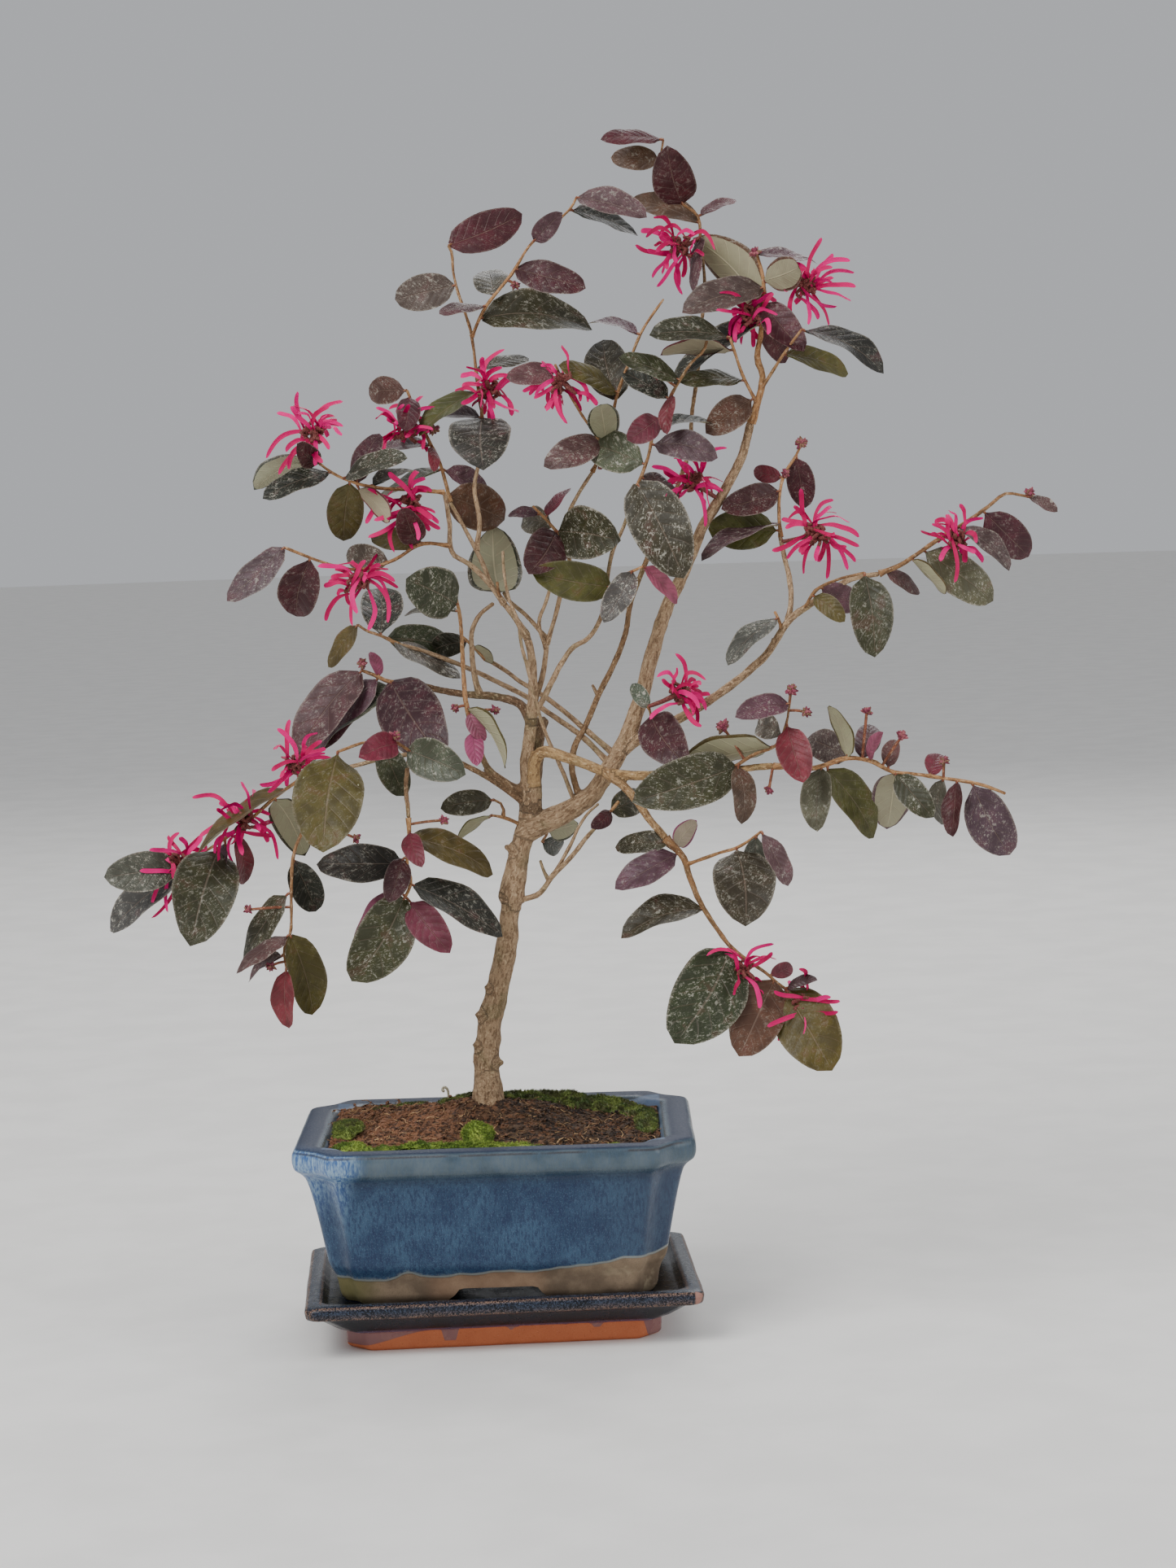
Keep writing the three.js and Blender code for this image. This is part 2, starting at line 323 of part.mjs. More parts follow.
// The leaves: twig, where the blade starts and its tip (photograph), seen width, how far the tip
// reaches away from the eye (mm), which face shows (1 upper, -1 under), finish.
const LEAVES = [
  ["far_left_shoot", 222, 1065, 128, 1078, 50, -8, 1, "grey"],
  ["far_left_shoot", 224, 1070, 130, 1142, 45, 14, 1, "grey"],
  ["far_left_shoot", 268, 1046, 235, 1158, 80, -16, 1, "green"],
  ["far_left_shoot", 278, 1040, 262, 1140, 22, 8, 1, "mauve"],
  ["far_left_shoot", 350, 972, 244, 1050, 20, -14, 1, "olive"],
  ["far_left_shoot", 342, 980, 374, 1050, 45, 16, -1, "green"],
  ["far_left_shoot", 290, 1030, 302, 1088, 24, 12, 1, "red"],
  ["hanging_left_shoot", 360, 1052, 388, 1120, 40, 14, 1, "dark"],
  ["hanging_left_shoot", 352, 1100, 293, 1180, 35, 10, 1, "green"],
  ["hanging_left_shoot", 354, 1145, 290, 1196, 22, -10, 1, "mauve"],
  ["hanging_left_shoot", 350, 1170, 305, 1206, 14, 16, 1, "mauve"],
  ["hanging_left_shoot", 353, 1188, 354, 1264, 28, -4, 1, "red"],
  ["hanging_left_shoot", 360, 1150, 386, 1248, 45, 8, 1, "olive"],
  ["drooping_shoot", 498, 1062, 388, 1060, 48, 6, 1, "dark"],
  ["drooping_shoot", 494, 1056, 478, 1108, 32, -12, 1, "maroon"],
  ["drooping_shoot", 494, 1104, 432, 1206, 70, -6, 1, "green"],
  ["drooping_shoot", 492, 1098, 432, 1160, 25, 14, 1, "pink"],
  ["drooping_shoot", 504, 1108, 552, 1170, 42, -14, 1, "red"],
  ["drooping_shoot", 508, 1086, 620, 1148, 42, 6, 1, "dark"],
  ["drooping_shoot", 506, 1024, 518, 1064, 26, -16, 1, "red"],
  ["drooping_shoot", 508, 1030, 608, 1072, 36, 12, 1, "olive"],
  ["left_shoot", 443, 826, 362, 930, 55, -10, 1, "mauve"],
  ["left_shoot", 462, 836, 392, 922, 35, 10, 1, "mauve"],
  ["left_shoot", 490, 846, 375, 937, 40, 22, 1, "grey"],
  ["left_shoot", 478, 843, 540, 928, 80, -16, 1, "maroon"],
  ["left_shoot", 470, 832, 456, 800, 15, 6, 1, "pink"],
  ["drooping_side_shoot", 413, 925, 397, 1048, 85, -10, 1, "olive"],
  ["drooping_side_shoot", 488, 911, 443, 930, 35, -14, 1, "red"],
  ["drooping_side_shoot", 470, 914, 496, 978, 38, 14, 1, "green"],
  ["drooping_side_shoot", 497, 930, 572, 952, 50, -8, 1, "grey"],
  ["back_left_shoot", 442, 768, 403, 820, 25, 8, 1, "olive"],
  ["back_left_shoot", 472, 784, 562, 800, 40, 12, 1, "green"],
  ["back_left_shoot", 478, 788, 566, 834, 24, -10, 1, "grey"],
  ["back_left_shoot", 468, 780, 464, 720, 55, 8, 1, "dark"],
  ["crossing_shoot", 580, 790, 607, 814, 14, -6, -1, "olive"],
  ["crossing_shoot", 572, 785, 528, 802, 32, 12, 1, "dark"],
  ["left_riser_shoot", 578, 876, 596, 910, 20, -4, 1, "pink"],
  ["left_riser_shoot", 576, 900, 586, 942, 24, -14, 1, "pink"],
  ["left_riser_shoot", 576, 868, 622, 944, 15, -22, -1, "olive"],
  ["left_riser_shoot", 566, 742, 500, 712, 62, -12, 1, "green"],
  ["left_riser_shoot", 564, 750, 496, 752, 12, 14, 1, "green"],
  ["left_top_shoot", 432, 594, 422, 665, 45, 12, 1, "olive"],
  ["left_top_shoot", 440, 600, 478, 642, 24, -10, -1, "red"],
  ["left_top_shoot", 410, 580, 322, 610, 26, -8, 1, "dark"],
  ["left_top_shoot", 384, 562, 312, 600, 30, 18, -1, "grey"],
  ["left_top_shoot", 394, 568, 366, 546, 28, -12, 1, "maroon"],
  ["left_top_shoot", 440, 592, 466, 532, 30, 14, 1, "maroon"],
  ["left_top_shoot", 420, 586, 500, 562, 28, -16, 1, "green"],
  ["left_top_shoot", 452, 598, 512, 580, 16, 16, 1, "dark"],
  ["left_outer_shoot", 350, 673, 278, 738, 35, -4, 1, "mauve"],
  ["left_outer_shoot", 384, 688, 364, 758, 50, 8, 1, "maroon"],
  ["left_outer_shoot", 520, 670, 455, 660, 30, 12, 1, "olive"],
  ["left_outer_shoot", 516, 668, 494, 622, 35, -10, 1, "maroon"],
  ["left_outer_shoot", 474, 691, 422, 682, 35, 12, 1, "grey"],
  ["upper_left_shoot", 531, 550, 455, 562, 15, 10, 1, "mauve"],
  ["upper_left_shoot", 543, 578, 455, 612, 17, 22, 1, "green"],
  ["upper_left_shoot", 501, 484, 452, 485, 35, 6, 1, "brown"],
  ["upper_left_shoot", 502, 486, 497, 528, 30, -12, 1, "maroon"],
  ["upper_left_shoot", 530, 548, 533, 580, 15, -12, 1, "red"],
  ["upper_left_shoot", 544, 580, 602, 602, 28, 16, 1, "mauve"],
  ["upper_left_shoot", 552, 608, 622, 640, 58, 6, 1, "brown"],
  ["tall_left_shoot", 592, 512, 594, 574, 76, -12, 1, "dark"],
  ["tall_left_shoot", 591, 510, 522, 522, 15, 10, 1, "mauve"],
  ["tall_left_shoot", 587, 478, 515, 536, 28, -14, 1, "olive"],
  ["tall_left_shoot", 585, 458, 650, 438, 16, 12, 1, "green"],
  ["tall_left_shoot", 561, 352, 485, 368, 45, 8, 1, "grey"],
  ["tall_left_shoot", 553, 304, 642, 262, 48, 10, 1, "maroon"],
  ["tall_left_side", 656, 296, 690, 262, 26, -12, 1, "mauve"],
  ["tall_left_side", 608, 362, 598, 326, 44, 16, 1, "green"],
  ["tall_left_side", 632, 332, 720, 355, 38, -8, 1, "maroon"],
  ["tall_left_side", 592, 390, 728, 405, 50, 8, 1, "green"],
  ["tall_left_side", 600, 376, 540, 384, 14, -14, 1, "mauve"],
  ["tall_left_side", 708, 244, 795, 265, 32, -10, 1, "mauve"],
  ["tall_left_side", 698, 260, 785, 288, 22, 12, 1, "dark"],
  ["centre_top_shoot", 788, 410, 722, 396, 12, 8, 1, "mauve"],
  ["centre_top_shoot", 760, 484, 687, 448, 24, -12, 1, "olive"],
  ["centre_top_shoot", 758, 490, 740, 413, 55, 10, 1, "green"],
  ["centre_top_shoot", 745, 542, 738, 496, 40, -16, -1, "green"],
  ["centre_top_shoot", 744, 545, 668, 574, 38, -6, 1, "mauve"],
  ["centre_left_side", 684, 452, 622, 464, 28, -6, 1, "mauve"],
  ["top_shoot", 812, 200, 750, 193, 30, 6, 1, "brown"],
  ["top_shoot", 840, 250, 820, 180, 52, -10, 1, "maroon"],
  ["top_shoot", 815, 174, 738, 170, 17, -6, 1, "maroon"],
  ["top_shoot", 857, 262, 904, 243, 12, 8, 1, "mauve"],
  ["top_shoot", 858, 272, 772, 243, 30, 12, 1, "brown"],
  ["top_shoot", 860, 288, 852, 360, 18, -12, 1, "mauve"],
  ["upper_right_shoot", 935, 385, 850, 293, 50, 14, -1, "brown"],
  ["upper_right_shoot", 938, 345, 982, 328, 42, -14, -1, "brown"],
  ["upper_right_shoot", 937, 350, 838, 385, 40, -10, 1, "mauve"],
  ["upper_right_shoot", 934, 396, 825, 470, 25, 10, 1, "dark"],
  ["upper_right_shoot", 936, 400, 965, 446, 28, 10, 1, "maroon"],
  ["upper_right_shoot", 938, 368, 988, 432, 40, -14, 1, "maroon"],
  ["upper_right_shoot", 932, 314, 1005, 322, 15, 8, 1, "mauve"],
  ["upper_right_side", 985, 405, 1087, 457, 24, -6, 1, "dark"],
  ["upper_right_side", 962, 438, 1042, 460, 26, 14, 1, "olive"],
  ["upper_middle_side", 898, 418, 798, 410, 27, -8, 1, "green"],
  ["upper_middle_side", 900, 428, 812, 432, 24, 12, -1, "red"],
  ["upper_middle_side", 915, 468, 835, 466, 20, -8, 1, "green"],
  ["upper_middle_side", 925, 488, 868, 532, 40, -6, 1, "brown"],
  ["centre_shoot", 834, 468, 760, 440, 24, -8, 1, "green"],
  ["centre_shoot", 822, 488, 765, 456, 28, 14, 1, "dark"],
  ["centre_shoot", 824, 486, 820, 534, 20, -12, 1, "red"],
  ["centre_shoot", 810, 512, 772, 540, 33, -10, 1, "red"],
  ["centre_shoot", 803, 545, 882, 562, 36, -8, 1, "mauve"],
  ["centre_shoot", 804, 532, 880, 520, 12, 12, 1, "dark"],
  ["centre_shoot", 792, 575, 722, 546, 50, 10, 1, "grey"],
  ["centre_shoot", 788, 586, 838, 608, 20, 12, 1, "mauve"],
  ["centre_shoot", 784, 594, 840, 710, 72, -14, 1, "green"],
  ["centre_low_shoot", 684, 654, 652, 702, 52, -10, 1, "maroon"],
  ["centre_low_shoot", 680, 650, 640, 640, 36, 12, 1, "grey"],
  ["centre_low_shoot", 686, 652, 762, 664, 66, -4, 1, "green"],
  ["centre_low_shoot", 662, 630, 624, 634, 14, 6, 1, "mauve"],
  ["centre_low_shoot", 672, 638, 700, 598, 16, 12, 1, "red"],
  ["heart_shoot", 750, 724, 655, 703, 48, -12, 1, "olive"],
  ["heart_shoot", 776, 703, 742, 766, 34, -12, 1, "grey"],
  ["heart_shoot", 790, 697, 832, 742, 22, 8, 1, "pink"],
  ["hub_shoot", 612, 728, 606, 648, 68, 6, -1, "green"],
  ["right_shoot", 960, 600, 886, 626, 38, -8, 1, "maroon"],
  ["right_shoot", 962, 588, 926, 578, 22, 12, 1, "red"],
  ["right_shoot", 958, 648, 870, 650, 50, 8, 1, "olive"],
  ["right_shoot", 958, 640, 862, 690, 20, -14, 1, "mauve"],
  ["right_shoot", 979, 560, 990, 625, 35, 8, 1, "maroon"],
  ["far_right_shoot", 1092, 700, 1132, 728, 20, 14, 1, "mauve"],
  ["far_right_shoot", 1118, 688, 1162, 730, 14, -12, -1, "olive"],
  ["far_right_shoot", 1132, 678, 1222, 738, 50, 6, 1, "grey"],
  ["far_right_shoot", 1180, 648, 1240, 702, 26, -12, 1, "mauve"],
  ["far_right_shoot", 1208, 628, 1265, 685, 45, 10, 1, "maroon"],
  ["far_right_shoot", 1260, 610, 1300, 628, 13, -4, 1, "mauve"],
  ["right_middle_shoot", 1062, 706, 1075, 808, 52, -10, 1, "green"],
  ["right_middle_shoot", 1010, 722, 1060, 742, 35, 10, 1, "mauve"],
  ["right_middle_shoot", 1000, 732, 1038, 764, 25, -10, 1, "olive"],
  ["arm_bend_shoot", 954, 756, 893, 815, 28, -12, 1, "grey"],
  ["front_shoot", 1040, 932, 990, 908, 40, 12, 1, "mauve"],
  ["front_shoot", 1042, 930, 1020, 866, 22, -10, -1, "olive"],
  ["front_shoot", 1062, 934, 1068, 890, 32, 14, 1, "maroon"],
  ["front_shoot", 1070, 936, 1084, 900, 16, -12, 1, "pink"],
  ["front_shoot", 1094, 946, 1100, 908, 22, 10, 1, "mauve"],
  ["front_shoot", 1012, 944, 1004, 1022, 38, -10, 1, "grey"],
  ["front_shoot", 1016, 946, 1075, 1030, 45, 12, 1, "olive"],
  ["front_shoot", 1098, 950, 1090, 1016, 50, 8, -1, "mauve"],
  ["front_shoot", 1102, 950, 1147, 1005, 35, -12, 1, "green"],
  ["front_shoot", 1176, 960, 1172, 1029, 24, -10, 1, "maroon"],
  ["front_shoot", 1196, 964, 1242, 1052, 55, 8, 1, "mauve"],
  ["front_shoot", 1160, 957, 1154, 1015, 24, 12, 1, "grey"],
  ["front_shoot", 1142, 954, 1156, 926, 24, 8, 1, "red"],
  ["front_middle_shoot", 902, 944, 778, 985, 65, -12, 1, "green"],
  ["front_middle_shoot", 950, 918, 833, 940, 36, 10, -1, "olive"],
  ["front_middle_shoot", 970, 868, 903, 882, 30, -8, 1, "mauve"],
  ["front_middle_shoot", 962, 905, 928, 890, 32, 12, 1, "grey"],
  ["front_middle_shoot", 968, 888, 987, 962, 42, -14, 1, "red"],
  ["front_middle_shoot", 906, 944, 913, 1012, 30, -8, 1, "brown"],
  ["arm_fork_shoot", 800, 880, 842, 938, 55, -12, 1, "maroon"],
  ["arm_fork_shoot", 798, 870, 776, 840, 20, 12, 1, "grey"],
  ["under_shoot", 752, 995, 792, 976, 36, 10, 1, "green"],
  ["under_shoot", 748, 998, 728, 1016, 20, -10, 1, "maroon"],
  ["low_right_shoot", 824, 1036, 755, 1040, 28, 12, 1, "green"],
  ["low_right_shoot", 832, 1046, 755, 1090, 38, -8, 1, "mauve"],
  ["low_right_shoot", 828, 1038, 856, 1008, 26, 12, -1, "pink"],
  ["low_right_shoot", 864, 1116, 762, 1148, 36, -6, 1, "green"],
  ["low_right_shoot", 896, 1165, 830, 1280, 88, -12, 1, "green"],
  ["low_right_shoot", 950, 1206, 908, 1298, 65, -8, 1, "brown"],
  ["low_right_shoot", 964, 1215, 1022, 1315, 75, -8, 1, "olive"],
  ["low_right_shoot", 950, 1200, 976, 1186, 20, 12, 1, "red"],
  ["low_right_shoot", 962, 1214, 1004, 1204, 16, -10, 1, "mauve"],
  ["low_right_side", 908, 1040, 916, 1138, 75, -12, 1, "green"],
  ["low_right_side", 930, 1028, 920, 1082, 28, 12, 1, "grey"],
  ["low_right_side", 935, 1024, 970, 1088, 24, -8, 1, "mauve"],
  ["trunk_side_twig", 607, 984, 541, 994, 32, -8, 1, "green"],
  ["trunk_side_shoot", 606, 1002, 563, 1031, 12, 6, -1, "olive"],
  ["trunk_back_shoot", 674, 1020, 709, 1012, 32, 8, -1, "green"],
  ["trunk_back_shoot", 667, 1034, 692, 1046, 26, 12, 1, "dark"],
];

// The flower heads: name, what they sit on, their middle (photograph), how far it stands out
// towards the eye (mm), and the tips of the petals.
const FLOWERS = [
  ["flower_far_left", "far_left_shoot", 222, 1062, 3, [[183, 1045], [187, 1112], [190, 1130],
    [208, 1122], [215, 1100]]],
  ["flower_left_arch", "far_left_shoot", 300, 1008, 4, [[235, 982], [312, 970], [245, 1030],
    [262, 1050], [268, 1070], [285, 1062], [302, 1052], [330, 1035], [340, 1058]]],
  ["flower_left_bend", "far_left_arm", 364, 940, 4, [[335, 920], [320, 967], [330, 975], [375, 980],
    [390, 900], [352, 884]]],
  ["flower_upper_left", "left_top_shoot", 385, 530, 4, [[362, 482], [423, 495], [418, 535], [338, 510],
    [325, 560], [340, 580], [352, 575]]],
  ["flower_left_peak", "upper_left_shoot", 500, 530, 5, [[460, 515], [477, 505], [455, 550],
    [515, 485]]],
  ["flower_left_heart", "left_top_shoot", 505, 620, 5, [[450, 603], [540, 652], [450, 645], [455, 665],
    [482, 678], [505, 675], [530, 640], [515, 580]]],
  ["flower_left_low", "left_outer_shoot", 440, 715, 5, [[402, 765], [455, 775], [478, 765], [490, 722],
    [390, 698], [430, 768], [480, 700]]],
  ["flower_tall_left", "tall_left_shoot", 602, 478, 4, [[572, 450], [628, 460], [640, 505], [625, 512],
    [590, 500]]],
  ["flower_centre_left", "centre_left_side", 690, 470, 4, [[665, 445], [690, 425], [655, 483],
    [672, 505], [690, 520], [715, 505]]],
  ["flower_top", "top_shoot", 836, 304, 4, [[802, 268], [787, 285], [780, 305], [800, 340], [810, 355],
    [835, 362], [880, 305]]],
  ["flower_upper_right", "upper_right_shoot", 990, 350, 5, [[1010, 292], [1025, 315], [1045, 320],
    [1050, 335], [1052, 352], [1046, 370], [1028, 378], [1020, 400], [978, 408]]],
  ["flower_right_peak", "upper_right_shoot", 922, 388, 4, [[880, 385], [900, 368], [942, 412],
    [912, 425]]],
  ["flower_centre", "right_arm", 852, 592, 6, [[800, 575], [890, 548], [888, 598], [866, 648],
    [818, 606], [832, 640], [870, 545], [830, 560]]],
  ["flower_star", "right_riser", 1003, 655, 6, [[985, 600], [1022, 612], [1042, 640], [1056, 656],
    [1056, 672], [1052, 690], [1040, 702], [1015, 712], [988, 706], [960, 638], [950, 680]]],
  ["flower_far_right", "far_right_shoot", 1178, 664, 4, [[1168, 628], [1210, 665], [1176, 716],
    [1148, 640]]],
  ["flower_arm_fork", "arm_fork_shoot", 834, 852, 4, [[862, 840], [872, 850], [862, 866], [858, 892],
    [812, 836]]],
  ["flower_low_right", "low_right_shoot", 915, 1192, 4, [[878, 1236], [888, 1246], [900, 1222],
    [920, 1226], [933, 1240]]],
  ["flower_low_tip", "low_right_shoot", 984, 1232, 4, [[942, 1260], [953, 1276], [985, 1286],
    [1002, 1286], [1030, 1242], [1024, 1262]]],
];

// A place on the tree: a spot of the photograph at a depth behind the middle of the pot.
function place(across, down, depth) {
  const x = across - PHOTO_MIDDLE_X;
  const y = down - PHOTO_MIDDLE_Y;
  const u = x * Math.cos(EYE_ROLL) + y * Math.sin(EYE_ROLL);
  const v = -x * Math.sin(EYE_ROLL) + y * Math.cos(EYE_ROLL);
  const sight = new THREE.Vector3(
    u / EYE_FOCUS,
    Math.cos(EYE_PITCH) - (v / EYE_FOCUS) * Math.sin(EYE_PITCH),
    -Math.sin(EYE_PITCH) - (v / EYE_FOCUS) * Math.cos(EYE_PITCH),
  );
  return sight.multiplyScalar((depth + EYE_AWAY) / sight.y).add(EYE);
}

// Solids.

function solidOf(geometry) {
  geometry.deleteAttribute("normal");
  geometry.deleteAttribute("uv");
  const merged = mergeVertices(geometry, SAME_POINT);
  return new wasm.Manifold(
    new wasm.Mesh({
      numProp: 3,
      vertProperties: merged.attributes.position.array,
      triVerts: new Uint32Array(merged.index.array),
    }),
  );
}

function geometryOf(solid) {
  const mesh = solid.getMesh();
  const geometry = new THREE.BufferGeometry();
  geometry.setAttribute("position", new THREE.BufferAttribute(mesh.vertProperties, 3));
  geometry.setIndex(new THREE.BufferAttribute(mesh.triVerts, 1));
  return geometry;
}

// Rings of points, one above the other, skinned and closed at both ends.
function skinned(rings) {
  const count = rings[0].length;
  const points = rings.flat().flatMap((p) => [p.x, p.y, p.z]);
  const faces = [];
  for (let ring = 0; ring + 1 < rings.length; ring += 1) {
    for (let i = 0; i < count; i += 1) {
      const j = (i + 1) % count;
      const low = ring * count;
      const high = low + count;
      faces.push(low + i, low + j, high + j, low + i, high + j, high + i);
    }
  }
  const capOf = (ring) =>
    THREE.ShapeUtils.triangulateShape(ring.map((p) => new THREE.Vector2(p.x, p.y)), []);
  const top = (rings.length - 1) * count;
  capOf(rings[0]).forEach(([a, b, c]) => faces.push(a, c, b));
  capOf(rings.at(-1)).forEach(([a, b, c]) => faces.push(top + a, top + b, top + c));
  const geometry = new THREE.BufferGeometry();
  geometry.setAttribute("position", new THREE.Float32BufferAttribute(points, 3));
  geometry.setIndex(faces);
  return solidOf(geometry);
}

function boxed(width, depth, height, x, y, z) {
  return solidOf(new THREE.BoxGeometry(width, depth, height).translate(x, y, z));
}

function largest(solid) {
  return solid.decompose().reduce((a, b) => (b.volume() > a.volume() ? b : a));
}

// Pot and tray.

// The octagon of the pot, moved inwards, at one height.
function potOutline(inset, z, perSide = 1) {
  const x = POT_HALF_LENGTH - inset;
  const y = POT_HALF_WIDTH - inset;
  const cut = POT_CORNER - inset * POT_CORNER_SHRINK;
  const dip = POT_CORNER_DIP;
  const corners = [
    [x, cut - y], [x, y - cut], [x - cut / 2 - dip, y - cut / 2 - dip], [x - cut, y],
    [cut - x, y], [cut / 2 + dip - x, y - cut / 2 - dip], [-x, y - cut], [-x, cut - y],
    [cut / 2 + dip - x, cut / 2 + dip - y], [cut - x, -y], [x - cut, -y],
    [x - cut / 2 - dip, cut / 2 + dip - y],
  ];
  return divided(corners, perSide).map(([px, py]) => new THREE.Vector3(px, py, z));
}

function divided(corners, perSide) {
  return corners.flatMap(([ax, ay], i) => {
    const [bx, by] = corners[(i + 1) % corners.length];
    const pieces = Math.hypot(bx - ax, by - ay) > LONG_SIDE ? perSide : 1;
    return Array.from({ length: pieces }, (_, k) => [
      ax + ((bx - ax) * k) / pieces,
      ay + ((by - ay) * k) / pieces,
    ]);
  });
}

function trayOutline(inset, z) {
  const x = TRAY_HALF_LENGTH - inset;
  const y = TRAY_HALF_WIDTH - inset;
  const cut = TRAY_CORNER + inset * TRAY_CORNER_GROWTH;
  return [
    [x, cut - y], [x, y - cut], [x - cut, y], [cut - x, y],
    [-x, y - cut], [-x, cut - y], [cut - x, -y], [x - cut, -y],
  ].map(([px, py]) => new THREE.Vector3(px, py, z).applyAxisAngle(UPWARDS, TRAY_TURN));
}

function dripTray() {
  const body = skinned(TRAY_WALL.map(([z, inset]) => trayOutline(inset, z)));
  return body.subtract(skinned(TRAY_HOLLOW.map(([z, inset]) => trayOutline(inset, z))));
}

// The arches in the front and the back of the foot, one cut right through along Y.
function archCut() {
  const profile = new THREE.Shape([
    new THREE.Vector2(-ARCH_HALF - ARCH_SHOULDER, POT_SEAT - 1),
    new THREE.Vector2(ARCH_HALF + ARCH_SHOULDER, POT_SEAT - 1),
    new THREE.Vector2(ARCH_HALF + ARCH_SHOULDER, ARCH_TOP - ARCH_SHOULDER),
    new THREE.Vector2(ARCH_HALF, ARCH_TOP),
    new THREE.Vector2(-ARCH_HALF, ARCH_TOP),
    new THREE.Vector2(-ARCH_HALF - ARCH_SHOULDER, ARCH_TOP - ARCH_SHOULDER),
  ]);
  const depth = POT_HALF_LENGTH * 2;
  const cut = new THREE.ExtrudeGeometry(profile, { depth, bevelEnabled: false });
  return solidOf(cut.translate(0, 0, -depth / 2).rotateX(Math.PI / 2));
}

// The foot is a skirt round a recess under the floor, and the drain holes open into the recess.
function pot() {
  const body = skinned(POT_WALL.map(([z, inset]) => potOutline(inset, z)));
  let made = body.subtract(skinned(POT_HOLLOW.map(([z, inset]) => potOutline(inset, z))));
  const high = (ARCH_TOP - POT_SEAT) * 2;
  made = made.subtract(archCut());
  made = made.subtract(boxed(RECESS_LENGTH, RECESS_WIDTH, high, 0, 0, POT_SEAT));
  for (const side of [-1, 1]) {
    const hole = new THREE.CylinderGeometry(DRAIN_RADIUS, DRAIN_RADIUS, POT_FLOOR_TOP, DRAIN_SIDES);
    hole.rotateX(Math.PI / 2).translate(side * DRAIN_ACROSS, 0, ARCH_TOP);
    made = made.subtract(solidOf(hole));
  }
  return made;
}

// A square of plastic mesh over a drain hole.
function drainScreen(side) {
  const x = side * DRAIN_ACROSS;
  const z = POT_FLOOR_TOP + GAP + SCREEN_THICK / 2;
  let made = boxed(SCREEN_HALF * 2, SCREEN_HALF * 2, SCREEN_THICK, x, 0, z);
  for (const slot of SCREEN_SLOTS) {
    made = made.subtract(
      boxed(SCREEN_SLOT_WIDTH, SCREEN_SLOT_LENGTH, SCREEN_THICK * 2, x + slot, 0, z));
  }
  return made;
}

// Soil and moss.

function moundHeight(x, y) {
  const across = (x - MOUND_ACROSS) / MOUND_SPREAD_X;
  const back = (y - MOUND_BACK) / MOUND_SPREAD_Y;
  const lumps = Math.sin(x * LUMP_TURN) * Math.cos(y * LUMP_TURN) * LUMP_HEIGHT;
  return SOIL_EDGE + leanAt(x, y) + MOUND_HEIGHT * Math.exp(-across * across - back * back) + lumps;
}

// The soil stands higher at the back and at the left.
function leanAt(x, y) {
  return x * LEAN_ACROSS + y * LEAN_BACK;
}

function hollowInset(z) {
  const above = POT_HOLLOW.findIndex(([height]) => height > z);
  const [z0, inset0] = POT_HOLLOW[above - 1];
  const [z1, inset1] = POT_HOLLOW[above];
  return inset0 + ((inset1 - inset0) * (z - z0)) / (z1 - z0);
}

function soil(screens, buried) {
  const ringAt = (z) => potOutline(hollowInset(z) + GAP, z, SOIL_PER_SIDE);
  const edge = ringAt(SOIL_EDGE - LUMP_HEIGHT * 2 - LEAN_MOST);
  edge.forEach((p) => { p.z += LEAN_MOST + leanAt(p.x, p.y); });
  const rings = [ringAt(POT_FLOOR_TOP + GAP), ringAt(POT_HOLLOW[1][0]), edge];
  for (const share of SOIL_RINGS) {
    rings.push(edge.map((p) => {
      const x = p.x * share;
      const y = p.y * share;
      return new THREE.Vector3(x, y, moundHeight(x, y));
    }));
  }
  let made = skinned(rings);
  for (const screen of screens) {
    const { min, max } = screen.boundingBox();
    made = made.subtract(boxed(max[0] - min[0] + GAP * 2, max[1] - min[1] + GAP * 2,
      max[2] - min[2] + GAP * 2, (max[0] + min[0]) / 2, (max[1] + min[1]) / 2,
      (max[2] + min[2]) / 2));
  }
  return largest(made.subtract(buried));
}

// A cushion of moss lying on the soil, inside the lip of the pot.
function mossPad(x, y, halfX, halfY, height, ground) {
  const cushion = new THREE.SphereGeometry(1, ...MOSS_PARTS).rotateX(Math.PI / 2);
  cushion.scale(halfX, halfY, height).translate(x, y, moundHeight(x, y));
  const within = [...POT_HOLLOW, [RIM_TOP + MOUND_HEIGHT, LIP_WIDTH - 1]];
  const room = skinned(within.map(([z, inset]) => potOutline(inset + GAP, z)));
  return largest(solidOf(cushion).intersect(room).subtract(ground));
}

// Wood and twigs.

const branches = new Map();

// Reads a row of the wood or the twigs: its spots, each with its depth, and the width there.
function growBranch([name, parent, startWidth, endWidth, spots], leafy) {
  const route = spots.map(([across, down, depth]) => ({ across, down, depth }));
  if (route[0].depth === undefined) {
    route[0].depth = parent ? nearestOn(branches.get(parent), route[0]).depth : 0;
  }
  let run = 0;
  route.forEach((spot, i) => {
    if (i) run += Math.hypot(spot.across - route[i - 1].across, spot.down - route[i - 1].down);
    spot.run = run;
  });
  route.forEach((spot, i) => {
    if (spot.depth !== undefined) return;
    const before = route.slice(0, i).findLast((s) => s.depth !== undefined);
    const after = route.slice(i).find((s) => s.depth !== undefined) || before;
    const share = after === before ? 0 : (spot.run - before.run) / (after.run - before.run);
    spot.filled = before.depth + (after.depth - before.depth) * share;
  });
  for (const spot of route) {
    spot.depth = spot.depth ?? spot.filled;
    spot.width = startWidth + ((endWidth - startWidth) * spot.run) / run;
    spot.at = place(spot.across, spot.down, spot.depth);
  }
  branches.set(name, { name, parent, leafy, route });
}

